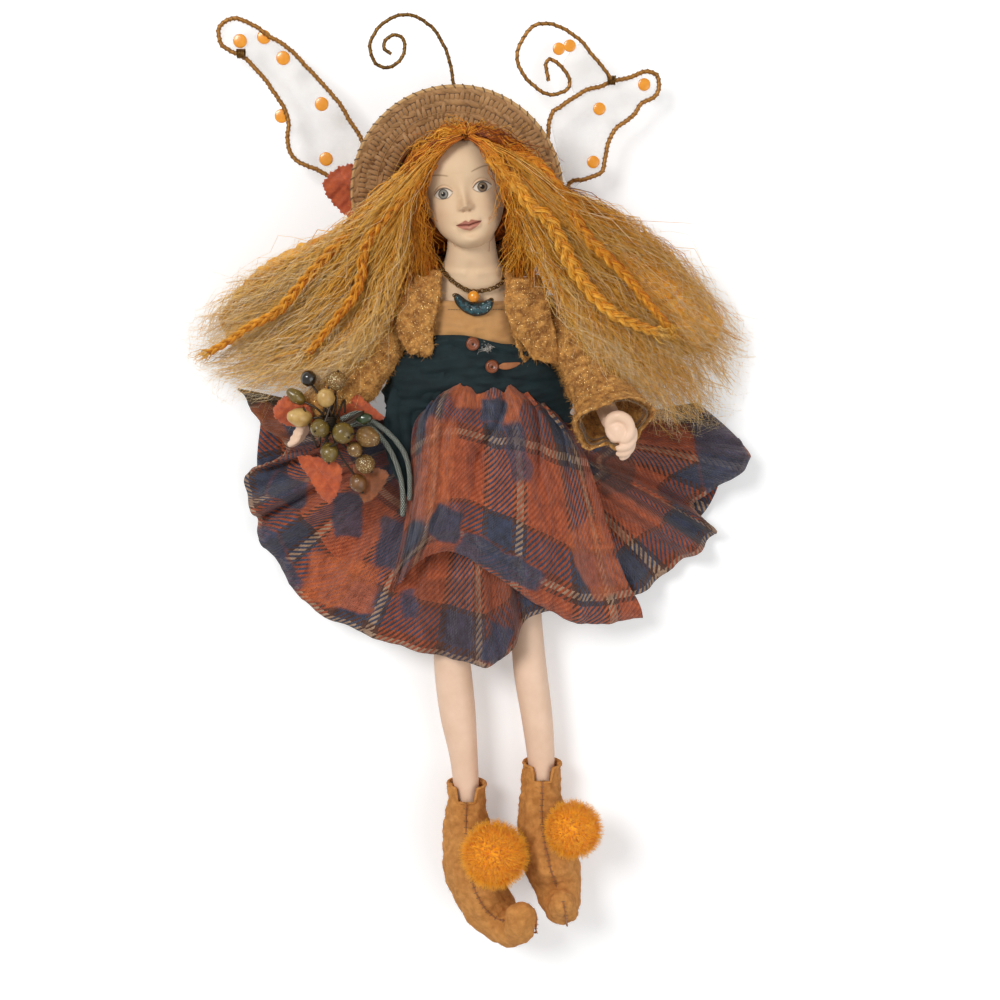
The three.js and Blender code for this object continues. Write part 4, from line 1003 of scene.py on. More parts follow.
def bandPiece(name, low, high, off, thickness, material, relief, sides=190, rows=44, edge=0.25):
    # A closed band of cloth round the body; relief gives its creases from angle and height
    y = np.linspace(high, low, rows)
    turn = roundTurn(sides)
    cx, cz, wide, deep = [k[:, None] for k in np.moveaxis(trunkAt(y), -1, 0)]
    extra, slide = relief(turn[None, :], y[:, None])
    rise = smooth(np.minimum(np.arange(rows), np.arange(rows)[::-1]) / 3.0)[:, None]
    out = off + thickness * (0.6 + 0.4 * rise) + extra * (edge + (1 - edge) * rise)
    outer = np.stack([cx + (wide + out) * np.cos(turn), y[:, None] + slide,
            cz + (deep + out) * np.sin(turn)], axis=-1)
    inner = np.stack([cx + (wide + off) * np.cos(turn), y[:, None] + slide,
            cz + (deep + off) * np.sin(turn)], axis=-1)
    rings = np.concatenate([outer, inner[::-1]])
    points = rings.reshape(-1, 3)
    n = len(rings)
    closing = np.stack([np.arange(sides) + (n - 1) * sides, (np.arange(sides) + 1) % sides
            + (n - 1) * sides, (np.arange(sides) + 1) % sides, np.arange(sides)], axis=1).astype(np.int32)
    faces = [gridFaces(n, sides, wrap=True), closing]
    uvTurn = np.abs(turn / math.pi - 1) * math.pi * 16
    uv = gridUv(uvTurn, np.concatenate([y, y[::-1]]))
    return newMesh(name, points, outward(points, faces, faces), material, uv)


# Resin head with its painted face, neck and shoulder plate

face = {
    "roll": 10.6, "middle": (462.8, 191.0), "height": 48.5, "rows": 236, "frontColumns": 206,
    "backColumns": 36, "eyeApart": 5.7, "mouthHalf": 3.75, "eyeHalf": 2.85, "eyeUp": 1.72, "eyeDown": 1.5,
    "irisRadius": 1.55, "pupilRadius": 0.72, "skin": "dcc09e", "blush": "cf9c7a", "lip": "b87262",
    "lipDark": "743c30", "iris": "8b8a80", "irisWithReflection": "8a7258", "irisRim": "47423c", "pupil": "100d0c",
    "sclera": "dacfbf", "line": "3a281e", "brow": "8a6a48", "root": "6e3c12",
}


def faceFrame():
    roll = math.radians(face["roll"])
    middle = seen(*face["middle"], face["height"])
    across = np.array([math.cos(roll), math.sin(roll), 0.0])
    up = np.array([-math.sin(roll), math.cos(roll), 0.0])
    return middle, across, up


def eyeAt(x, y, side):  # place from an eye's middle, share to its corner, both lids and depth inside
    ex, ey = x - side * face["eyeApart"], y - 0.1
    t = np.clip(np.abs(ex) / face["eyeHalf"], 0, 1)
    upper = face["eyeUp"] * (1 - t ** 2.2)
    lower = -face["eyeDown"] * (1 - t ** 2.4) + 0.1
    inside = np.where(np.abs(ex) < face["eyeHalf"], np.minimum(upper - ey, ey - lower), -1)
    return ex, ey, t, upper, lower, inside


def mouthAt(x):  # share of the way to its corner, and height of the line between the lips
    t = np.clip(np.abs(x) / face["mouthHalf"], 0, 1)
    return t, -9.75 + 0.32 * t ** 2 - 0.25 * bell(x, 0.6)


def faceColour(x, y, front):  # the paint at each point; x across and y up in mm from between the eyes
    colour = np.ones(x.shape + (3,)) * rgb(face["skin"])[:3]

    def lay(key, share):
        nonlocal colour
        share = np.clip(share * front, 0, 1)[..., None]
        colour = colour * (1 - share) + np.array(rgb(face[key])[:3]) * share

    for side in (-1, 1):
        lay("blush", 0.22 * bell(np.hypot(x - side * 6.2, (y + 5.2) * 1.1), 3.6))
        ex, ey, t, upper, lower, inside = eyeAt(x, y, side)
        lay("blush", 0.25 * bell(ey - upper - 0.55, 0.4) * (np.abs(ex) < 3))
        lay("sclera", smooth((inside + 0.05) / 0.12))
        iris = np.hypot(ex - 0.1 * side, ey - 0.05)
        mask = smooth((inside + 0.03) / 0.1)
        lay("irisRim", mask * smooth((face["irisRadius"] - iris) / 0.12))
        # the right eye's iris takes a warmer colour as a painted reflection
        lay("iris" if side < 0 else "irisWithReflection",
                mask * smooth((face["irisRadius"] - 0.22 - iris) / 0.3) * (0.85
                + 0.15 * np.sin(14 * np.arctan2(ey, ex))))
        lay("pupil", mask * smooth((face["pupilRadius"] - iris) / 0.12))
        # painted highlight: a small white spot above and beside the pupil
        lay("sclera", mask * smooth((0.24 - np.hypot(ex + 0.28, ey - 0.38)) / 0.1))
        lay("line", 0.95 * bell(ey - upper, 0.2) * (t < 0.98) * (np.abs(ex) < face["eyeHalf"]))
        lay("line", 0.7 * bell(ey - lower, 0.12) * (np.abs(ex) < face["eyeHalf"] * 0.97))
        crease = upper + 0.85
        lay("brow", 0.35 * bell(ey - crease, 0.16) * (np.abs(ex) < 2.7))
        along = (ex * side + 2.6) / 6.4
        arch = 4.75 + 1.1 * np.sin(np.clip(along, 0, 1) * math.pi * 0.62) - 0.9 * np.clip(along - 0.72, 0,
                1)
        lay("brow", 0.75 * bell(ey - arch, 0.13 + 0.1 * (1 - np.abs(along - 0.4))) * smooth(along / 0.12)
                * smooth((1 - along) / 0.2))
        # painted shade in the nostrils
        lay("lipDark", 0.3 * bell(np.hypot(x - side * 0.95, (y + 5.75) * 1.5), 0.55))
    lay("root", smooth((y - 13.8 + 0.02 * x * x) / 0.9))
    half = face["mouthHalf"]
    t, line = mouthAt(x)
    top = line + (1.3 - 0.3 * bell(x, 0.45) + 0.18 * bell(np.abs(x) - 0.95, 0.6)) * (1 - t ** 1.7)
    bottom = line - 1.6 * (1 - t ** 2.1)
    lips = np.where(np.abs(x) < half, np.minimum(top - y, y - bottom), -1)
    lay("lip", 0.9 * smooth((lips + 0.1) / 0.25))
    lay("lipDark", 0.35 * smooth((lips + 0.05) / 0.2) * (y > line))
    lay("lipDark", 0.9 * bell(y - line, 0.14) * (np.abs(x) < half * 1.02))
    # painted highlight: a pale spot in the middle of the lower lip
    lay("skin", 0.35 * bell(np.hypot(x, (y - bottom - 0.7) * 1.3), 0.6))
    return colour


def faceRelief(x, y):  # how far each point stands forward of the plain head
    out = 0.35 * bell(np.hypot(x, (y - 7.5) * 0.8), 6)
    bridge = np.interp(y, [-5.4, -4.4, -2, 0.5, 3, 5], [1.1, 3.0, 1.75, 0.9, 0.4, 0.0])
    width = np.interp(y, [-5.6, -4.2, -2, 1, 4], [1.7, 1.55, 1.4, 1.6, 2.4])
    out = out + bridge * bell(x, width) * smooth((y + 5.75) / 0.6)
    out = out + 0.5 * bell(np.hypot(x, y + 4.5), 1.2)
    for side in (-1, 1):
        out = out + 0.85 * bell(np.hypot(x - side * 1.65, (y + 4.9) * 1.1), 0.75)
        out = out - 0.5 * bell(np.hypot(x - side * 0.85, (y + 5.75) * 1.4), 0.5)
        ex, ey, _, upper, lower, inside = eyeAt(x, y, side)
        out = out - 1.25 * bell(np.hypot(ex / 1.35, ey - 0.6), 2.5)
        ball = 0.95 * bell(np.hypot(ex, ey) / 1.15, 1.9)
        out = out + ball - 0.22 * smooth((inside + 0.12) / 0.2)
        out = out + 0.18 * bell(ey - upper - 0.25,
                0.28) * (np.abs(ex) < 2.8) * smooth((2.9 - np.abs(ex)) / 0.6)
        out = out + 0.1 * bell(ey - lower + 0.22,
                0.25) * (np.abs(ex) < 2.8) * smooth((2.9 - np.abs(ex)) / 0.6)
        out = out - 0.16 * bell(ey - upper - 0.85, 0.25) * smooth((2.9 - np.abs(ex)) / 0.8)
        out = out + 0.45 * bell(np.hypot(x - side * 6.3, (y + 4.4)), 3.4)
        out = out - 0.3 * bell(np.hypot(x - side * 4.1, (y + 9.6)), 1.0)
    half = face["mouthHalf"]
    t, line = mouthAt(x)
    out = out + (0.75 * bell(y - line - 0.6, 0.7) + 1.05 * bell(y - line + 0.8, 0.8)) * (1 - t ** 2)
    out = out - 0.75 * bell(y - line, 0.22) * smooth((half + 0.2 - np.abs(x)) / 0.8)
    out = out - 0.14 * bell(x, 0.6) * bell(y + 7.4, 0.9) + 0.35 * bell(np.hypot(x, y + 8.0), 2.6)
    out = out - 0.65 * bell(np.hypot(x / 1.8, y + 12.3), 1.1) + 0.85 * bell(np.hypot(x / 1.2, y + 14.6),
            1.9)
    return out


def buildHead():
    middle, across, up = faceFrame()
    level = [-16.8, -16.3, -15.4, -14.0, -11.8, -9.6, -6, -2, 2, 7, 11, 14.5, 17.5, 19.5, 20.3]
    wide = [1.5, 3.2, 4.8, 6.4, 8.4, 9.7, 11.1, 12.0, 12.5, 12.7, 12.1, 10.5, 7.8, 4.8, 1.6]
    front = [41.5, 44.4, 46.4, 47.6, 48.0, 48.2, 48.1, 47.9, 48.2, 49.0, 48.2, 45.8, 41.5, 36.5, 32.5]
    back = [38.5, 37, 35, 32, 27, 23, 20, 18.5, 17.8, 17.8, 18.6, 20.4, 23.5, 27, 29.5]
    rows = face["rows"]
    fine = int(rows * 0.86)
    v = np.concatenate([np.linspace(level[0], 7.5, fine), np.linspace(7.5, 20.3, rows - fine + 1)[1:]])
    stations = spline(np.stack([level, wide, front, back], axis=1), 400)
    order = np.argsort(stations[:, 0])
    w, f, b = [np.interp(v, stations[order, 0], stations[order, k])[:, None] for k in (1, 2, 3)]
    frontTurn = np.linspace(0.02, 0.98, face["frontColumns"]) * math.pi
    backTurn = math.pi + np.linspace(0.03, 0.97, face["backColumns"]) * math.pi
    turn = np.concatenate([frontTurn, backTurn])[None, :]
    power = 2 / 2.35
    c, s = np.cos(turn), np.sin(turn)
    x = w * np.sign(c) * np.abs(c) ** power
    middleZ = 33.5 + np.interp(v, [-16.8, -13, -6], [7.5, 4.5, 0])[:, None]
    z = np.where(s > 0, middleZ + (f - middleZ) * np.abs(s) ** power,
            middleZ - (middleZ - b) * np.abs(s) ** power)
    facingUs = smooth((np.broadcast_to(s, z.shape) - 0.1) / 0.35)
    y = np.broadcast_to(v[:, None], z.shape)
    z = z + faceRelief(x, y) * facingUs
    points = middle * (1, 1, 0) + x[..., None] * across + y[..., None] * up
    points[..., 2] = z
    paint = faceColour(x, y, facingUs)
    headPoints, headFaces = closedRings(points)
    skin = np.array(rgb(face["skin"])[:3])
    colours = np.vstack([paint.reshape(-1, 3), skin, skin])
    neck = [(-2.4, 87, 34.5, 6.6, 7), (-2.2, 82, 34, 6.9, 7), (-2, 77, 33.2, 7.4, 7),
            (-2, 73.5, 31.8, 8.2, 7.2), (-2, 71, 30.9, 9.7, 7.5), (-2, 68.6, 30.0, 11.3, 7.7),
            (-2, 66, 29, 12.6, 8), (-2, 62, 28, 13.4, 8.8), (-1.8, 56, 27.5, 13.6, 9.6),
            (-1.4, 50, 26.5, 14, 10), (-1.2, 47.2, 25.8, 14.6, 10)]
    s = spline(neck, 90)
    platePoints, plateFaces = closedRings(ringsAlong(s[:, :3], s[:, 3], s[:, 4], 96))
    hollow = 0.55 * bell(np.hypot(platePoints[:, 0] + 2, platePoints[:, 1] - 71.5), 1.6)
    collar = 0.35 * bell(platePoints[:, 1] - 69.6 - 0.12 * np.abs(platePoints[:, 0] + 2),
            0.9) * (np.abs(platePoints[:, 0] + 2) > 1.5)
    platePoints[:, 2] += (collar - hollow) * (platePoints[:, 2] > 31)
    allPoints = np.vstack([headPoints, platePoints])
    faces = headFaces + [k + len(headPoints) for k in plateFaces]
    colours = np.vstack([colours, np.tile(skin, (len(platePoints), 1))])
    head = newMesh("resinHead", allPoints, faces, materials["paint"], values={"paint": colours})
    place(head, "torso", "resin_flesh", "shoulder_head")


buildHead()
print("head ready")


# Straw hat with a plaited brim

hat = {
    "crown": 18.0, "mouth": 21.0, "depth": 24.0, "brim": 32.2, "straw": 1.5, "tilt": 0.3,
    "plaits": (29.6, 26.2, 22.8), "topPlaits": (4, 8.2, 12.4, 16), "sidePlaits": 9, "seams": (24.5, 20.0),
        "slatLength": 4.6, "slatWidth": 1.7, "slatThick": 0.2, "slant": 33.0,
    "seed": 11,
}


def hatPoint(radius, turn, height):  # a point of the leaning hat, from its own round measures
    x, y = radius * np.cos(turn), radius * np.sin(turn)
    share = np.clip(height / hat["depth"], 0, 1)
    return np.stack([hatMiddle[0] + x, hatMiddle[1] + y, height + hat["tilt"] * share * y], axis=-1)


def turnTo(along, outwardWay):  # Euler turns that set a piece's X along one way and its Z outward
    turns = []
    for a, n in zip(np.atleast_2d(along), np.atleast_2d(outwardWay)):
        x = a / np.linalg.norm(a)
        z = n - x * n.dot(x)
        z = z / np.linalg.norm(z)
        turns.append(Matrix(np.stack([x, np.cross(z, x), z], axis=1).tolist()).to_euler())
    return np.array(turns)


def atPoints(name, piece, points, turns, sizes, material):
    mesh = bpy.data.meshes.new(name)
    mesh.from_pydata([tuple(p) for p in toFrame(points)], [], [])
    for key, value in (("turn", turns), ("size", sizes)):
        value = np.broadcast_to(np.asarray(value, np.float32), (len(points), 3))
        mesh.attributes.new(key, "FLOAT_VECTOR", "POINT").data.foreach_set("vector",
                np.ascontiguousarray(value).ravel())
    return grow(added(name, mesh), "atPoints", name, {"Piece": piece, "Scale": 1.0, "Material": material})


def slat(length, width, thick):  # one strip of straw, domed along its middle, about the origin
    rings = []
    for x in np.linspace(-0.5, 0.5, 3):
        k = 1 - 0.5 * abs(2 * x) ** 3
        ring = [(x * length, y * width * k, z * thick * (0.7 + 0.3 * k))
                for y, z in ((-0.5, 0), (-0.25, 0.42), (0.0, 0.5), (0.25, 0.42), (0.5, 0), (0.0, -0.35))]
        rings.append(ring)
    points, faces = closedRings(np.array(rings))
    return smallPiece("oneSlat", points, faces)


def buildHat():
    wall = hat["straw"]
    profile = np.array([(0.3, 0.0), (hat["crown"] - 1.5, 0.0), (hat["crown"], 1.6),
            (hat["mouth"], hat["depth"] - 0.1), (hat["brim"] - 0.5, hat["depth"] - 0.1),
            (hat["brim"], hat["depth"] + 0.6), (hat["brim"] - 0.5, hat["depth"] + wall * 0.8),
            (hat["mouth"] - wall, hat["depth"] + wall * 0.8), (hat["crown"] - wall, 3),
            (hat["crown"] - wall - 1.2, wall), (0.3, wall)])
    dense = np.concatenate([np.linspace(a, b, 10, endpoint=False)
            for a, b in zip(profile[:-1], profile[1:])] + [profile[-1:]])
    turn = roundTurn(120)
    rings = hatPoint(dense[:, 0][:, None], turn[None, :],
            np.broadcast_to(dense[:, 1][:, None], (len(dense), 120)))
    points, faces = closedRings(rings)
    uv = np.vstack([gridUv(np.abs(turn / math.pi - 1) * 90, np.arange(len(dense)) * 1.2), [[0, 0], [0, 0]]])
    base = newMesh("hatBase", points, faces, materials["straw"], uv)
    place(base, "torso", "plaited_straw", "straw_hat")
    rng = np.random.default_rng(hat["seed"])
    slant = math.radians(hat["slant"])
    places, alongs, ways, sizes = [], [], [], []

    def addSlat(here, along, way, size):
        for values, value in zip((places, alongs, ways, sizes), (here, along, way, size)):
            values.append(value)

    for radius in hat["plaits"]:
        for half, sign in ((0.85, 1), (-0.85, -1)):
            r = radius + half
            count = int(2 * math.pi * r / (hat["slatWidth"] * 0.86))
            for k in range(count):
                t = (k + (0.5 if sign < 0 else 0)) / count * 2 * math.pi
                for top in (1, -1):
                    height = hat["depth"] + (hat["straw"] * 0.8 + 0.1 if top > 0 else -0.12)
                    here = hatPoint(np.array([r]), np.array([t]), np.array([height]))[0]
                    lean = sign * slant + rng.normal(0, 0.06)
                    radial = np.array([math.cos(t), math.sin(t), hat["tilt"] * math.sin(t)])
                    round_ = np.array([-math.sin(t), math.cos(t), hat["tilt"] * math.cos(t)])
                    addSlat(here + (0, 0, rng.uniform(-0.08, 0.1) * top), radial * math.cos(lean + 0.7)
                            + round_ * math.sin(lean + 0.7) * sign, np.cross(radial, round_) * top
                            + radial * rng.normal(0, 0.05), (1.0, 1.0, rng.uniform(0.7, 1.2)))
    for ring in range(hat["sidePlaits"]):  # the same plait round the side of the crown
        height = 1.5 + ring * 2.5
        r = np.interp(height, [0, hat["depth"]], [hat["crown"] + 0.12, hat["mouth"] + 0.12])
        count = int(2 * math.pi * r / (hat["slatWidth"] * 0.9))
        for k in range(count):
            t = (k + 0.5 * (ring % 2)) / count * 2 * math.pi
            here = hatPoint(np.array([r]), np.array([t]), np.array([height]))[0]
            round_ = np.array([-math.sin(t), math.cos(t), 0])
            rise = np.array([0, 0, 1]) * math.sin(slant) * (1 if ring % 2 else -1)
            addSlat(here, round_ * math.cos(slant) + rise, np.array([math.cos(t), math.sin(t), 0.0]),
                    (0.75, 0.9, 0.8))
    for radius in hat["topPlaits"]:  # and flat over its top
        count = int(2 * math.pi * radius / (hat["slatWidth"] * 0.9))
        for k in range(count):
            t = k / count * 2 * math.pi
            round_ = np.array([-math.sin(t), math.cos(t), 0])
            radial = np.array([math.cos(t), math.sin(t), 0.0])
            here = hatPoint(np.array([radius]), np.array([t]), np.array([0.12]))[0]
            addSlat(here, radial * math.cos(slant) + round_ * math.sin(slant), np.array([0, 0, -1.0]),
                    (0.7, 0.9, 0.5))
    one = slat(hat["slatLength"], hat["slatWidth"], hat["slatThick"])
    plait = atPoints("hatPlait", one, np.array(places), turnTo(alongs, ways), np.array(sizes),
            materials["straw"])
    drop(one)
    place(plait, "torso", "plaited_straw")
    turn = np.linspace(0, 2 * math.pi, 220)
    seams = [hatPoint(np.full(220, r), turn, np.full(220, hat["depth"] + hat["straw"] * 0.8 + 0.22))
            for r in hat["seams"]]
    placeStrands("hatSeams", seams, 0.16, "straw", 5, "torso", "plaited_straw")
    edge = hatPoint(np.full(220, hat["brim"] - 0.55), turn, np.full(220, hat["depth"] + 0.75))
    placeStrands("hatRim", [edge], 0.62, "paleStraw", 8, "torso", "plaited_straw")
    notches = []
    for a in np.arange(0, 2 * math.pi, 3.0 / hat["brim"]):
        across = np.linspace(-1, 1, 7)
        radius = hat["brim"] - 0.55 + 0.72 * np.sin(across * 1.5)
        height = hat["depth"] + 0.75 + 0.66 * np.cos(across * 1.5)
        notches.append(hatPoint(radius, a + across * 0.022, height))
    placeStrands("hatNotches", notches, 0.2, "lining", 5, "torso", "plaited_straw")


buildHat()
print("hat ready")


# Mohair. Each lock follows guide curves that run from the parting to the tips, given as px, py, height.

hairLook = {"curl": 1.7, "crimpLength": 5.4, "loose": 1.0, "flyaway": 0.05,
        "coreShare": (0.78, 0.76, 0.86), "seed": 21}

hairGuides = {
    "right": [
        [(458, 139, 49), (430, 151, 48), (398, 178, 46), (360, 216, 40), (316, 248, 31), (272, 270, 22),
            (234, 292, 14), (208, 316, 8)],
        [(456, 141, 49), (428, 158, 49), (396, 192, 46), (364, 230, 40), (322, 266, 32), (276, 296, 23),
            (232, 322, 15), (196, 342, 8)],
        [(454, 143, 49), (424, 166, 49), (398, 206, 45), (370, 247, 39), (336, 288, 33), (292, 325, 24),
            (244, 352, 16), (200, 368, 9)],
        [(450, 146, 49), (419, 180, 48), (402, 224, 43), (382, 268, 38), (356, 310, 34), (318, 348, 29),
            (272, 374, 22), (226, 388, 15)],
        [(444, 152, 49), (415, 194, 46), (403, 238, 41), (390, 282, 38), (371, 322, 38), (345, 354, 36),
            (314, 378, 33), (284, 392, 28)],
        [(438, 160, 49), (411, 206, 44), (404, 246, 40), (393, 284, 38), (379, 316, 39), (362, 342, 39),
            (342, 364, 38), (322, 382, 36)],
    ],
    "left": [
        [(474, 137, 49), (505, 149, 49), (541, 175, 46), (576, 200, 40), (620, 222, 32), (664, 254, 23),
            (704, 294, 14), (736, 332, 8)],
        [(476, 139, 49), (509, 157, 49), (545, 188, 46), (582, 218, 40), (624, 246, 32), (668, 282, 24),
            (708, 324, 15), (742, 358, 8)],
        [(479, 142, 49), (512, 168, 49), (546, 206, 46), (581, 242, 40), (624, 280, 33), (668, 320, 25),
            (704, 360, 16), (732, 396, 9)],
        [(484, 147, 50), (513, 183, 48), (542, 226, 44), (574, 268, 40), (614, 310, 37), (652, 352, 31),
            (684, 390, 23), (708, 422, 14)],
        [(490, 155, 50), (515, 200, 46), (540, 246, 42), (568, 290, 41), (598, 332, 41), (626, 366, 40),
            (650, 398, 37), (672, 428, 30)],
        [(496, 166, 49), (517, 212, 44), (538, 252, 41), (560, 290, 41), (580, 322, 42), (598, 348, 43),
            (614, 370, 43), (632, 390, 42)],
    ],
    "curtainRight": [
        [(464, 138, 49.6), (446, 147, 51), (430, 163, 50.5), (420, 188, 48.5), (419, 213, 45.5),
            (424, 238, 41), (431, 262, 36)],
        [(462, 136, 49.4), (439, 147, 51), (421, 167, 50), (413, 194, 47), (412, 218, 44),
            (416, 244, 39.5), (422, 266, 37)],
        [(459, 134, 49), (432, 145, 50), (411, 170, 49), (405, 200, 46), (404, 226, 42.5), (406, 250, 39),
            (404, 272, 37)],
    ],
    "curtainLeft": [
        [(467, 138, 49.8), (480, 146, 51.6), (492, 163, 52), (506, 184, 51), (513, 205, 48.5),
            (514, 228, 44.5), (510, 254, 38)],
        [(469, 135, 49.6), (487, 146, 51.8), (503, 165, 52), (514, 190, 50), (521, 214, 47),
            (522, 238, 42.5), (518, 262, 38.5)],
        [(472, 134, 49), (494, 146, 51), (513, 169, 51), (525, 197, 48.5), (531, 224, 45),
            (532, 248, 41.5), (534, 270, 39)],
    ],
    "crown": [
        [(466, 134, 47), (448, 138, 48.5), (428, 151, 48), (408, 172, 46), (392, 196, 44)],
        [(467, 132, 46.5), (458, 131, 47), (446, 134, 47.4), (434, 140, 47), (422, 149, 46.4)],
        [(466, 135, 48), (463, 131, 47.8), (458, 130, 47), (452, 131, 45.5), (446, 134, 44)],
        [(468, 135, 48), (471, 131, 47.8), (476, 130, 47), (482, 131, 45.5), (488, 134, 44)],
        [(470, 132, 46.5), (480, 131, 47.4), (496, 135, 48.4), (514, 146, 48), (532, 160, 47)],
        [(470, 134, 47), (488, 137, 49), (512, 149, 49), (536, 171, 47.5), (556, 196, 45)],
    ],
}


def between(paths, share):  # a path part of the way across a family of guides
    paths = np.asarray(paths)
    where = share * (len(paths) - 1)
    i = np.minimum(where.astype(int), len(paths) - 2)
    f = (where - i)[:, None, None]
    return paths[i] * (1 - f) + paths[i + 1] * f


def hairStrands(name, family, count, depth, tints, seed, lengths=(0.62, 1.0), wave=1.0, spread=0.0,
        locks=70, radius=0.1, steps=14, crimp=0.0):
    rng = np.random.default_rng(hairLook["seed"] + seed)
    guides = np.array([spline(seenPath(g), 40) for g in hairGuides[family]])
    lockShare = np.sort(rng.uniform(-spread, 1 + spread, locks))
    lockLift = rng.uniform(-1, 1, locks)
    lockTint = rng.normal(0, 0.15, locks)
    lockPhase = rng.uniform(0, 6.28, (locks, 3))
    lockWaves = rng.uniform(1.8, 4.2, locks)
    mine = rng.integers(0, locks, count)
    share = np.clip(lockShare[mine] + rng.normal(0, 0.02, count), 0, 1)
    beyond = (lockShare[mine] - share)[:, None]
    paths = between(guides, share)
    reach = rng.uniform(*lengths, count)
    start = rng.uniform(0, 0.1, count) ** 1.5
    t = start[:, None] + (reach - start)[:, None] * np.linspace(0, 1, steps)[None, :]
    fine = np.clip(t, 0, 1) * 39
    i = np.minimum(fine.astype(int), 38)
    f = (fine - i)[..., None]
    rows = np.arange(count)[:, None]
    p = paths[rows, i] * (1 - f) + paths[rows, i + 1] * f
    last = paths[:, -1] - paths[:, -3]
    p = p + (last / np.linalg.norm(last, axis=1, keepdims=True))[:, None, :] * (np.maximum(t - 1,
            0) * 55)[..., None]
    along = np.gradient(p, axis=1)
    along /= np.maximum(np.linalg.norm(along, axis=2, keepdims=True), 1e-9)
    side = np.cross(along, (0, 0, 1.0))
    side /= np.maximum(np.linalg.norm(side, axis=2, keepdims=True), 1e-9)
    s = np.linspace(0, 1, steps)[None, :]
    grow_ = smooth(s * 1.6)
    phase = lockPhase[mine]
    wavy = wave * hairLook["curl"] * grow_ * (0.45 + s)
    waves = lockWaves[mine][:, None]
    swing = np.sin(waves * 6.28 * s + phase[:, 0:1]) + 0.5 * np.sin(waves * 15 * s + phase[:, 1:2])
    own = rng.normal(0, 1, (count, 1)) * hairLook["loose"] * smooth(s * 2) + rng.normal(0, 0.25,
            (count, steps)) * s * wave
    long = np.linalg.norm(np.diff(p, axis=1), axis=2).sum(axis=1)[:, None]
    zigzag = crimp * np.sin(6.28 * s * long / hairLook["crimpLength"] + phase[:, 0:1] * 3
            + rng.normal(0, 0.8, (count, 1))) * smooth(s * 5)
    loose = (rng.random((count, 1)) < hairLook["flyaway"]) * rng.normal(0, 5, (count, 1)) * s ** 2
    lift = lockLift[mine][:, None] * 0.75 + rng.normal(0, 0.3, (count, 1))
    p = p + side * (wavy * swing * 0.85 + own + loose + zigzag - beyond * 30 * s)[..., None]
    rise = depth * lift * (0.35 + 0.65 * np.sin(np.clip(s, 0, 1) * math.pi))
    p[..., 2] += rise + wavy * 0.5 * np.cos(waves * 7 * s + phase[:, 2:3])
    p[..., 2] = np.maximum(p[..., 2] + 0.5 * zigzag, 0.4)
    # painted shade: strands lying lower in the mass are tinted darker, higher ones lighter
    tint = np.interp(s, np.linspace(0, 1, len(tints)), tints) + lockTint[mine][:, None] + rng.normal(0,
            0.09, (count, 1)) + 0.07 * lift
    thick = radius * rng.uniform(0.6, 1.25, (count, 1)) * (1 - 0.62 * s ** 1.5)
    return strands(name, list(p), list(thick), materials["hair"], sides=3, tint=list(np.clip(tint, 0, 1)))


def hairCore(name, node, swell, tints):  # the mass behind the strands
    piece = softCopy(node, name, materials["hair"], voxel=0.0012, smoothing=10, swell=swell)
    p = pointsOf(piece)
    if swell:  # drawn in from the outline of the hair, so that only strands reach it
        middle = (p.min(axis=0) + p.max(axis=0)) / 2
        p = middle + (p - middle) * hairLook["coreShare"]
    far = np.linalg.norm(p[:, :2] - (-3, 104), axis=1)
    tint = np.interp(far, [0, 30, 70, 95], tints) + 0.12 * ripple(p * (1, 1, 0.4), 3.0, 5)
    piece.data.attributes.new("tint", "FLOAT", "POINT").data.foreach_set("value",
            np.clip(tint, 0, 1).astype(np.float32))
    n = normalsOf(piece)
    setPoints(piece, p + n * (0.35 * ripple(p, 2.2, 6))[:, None])
    return piece


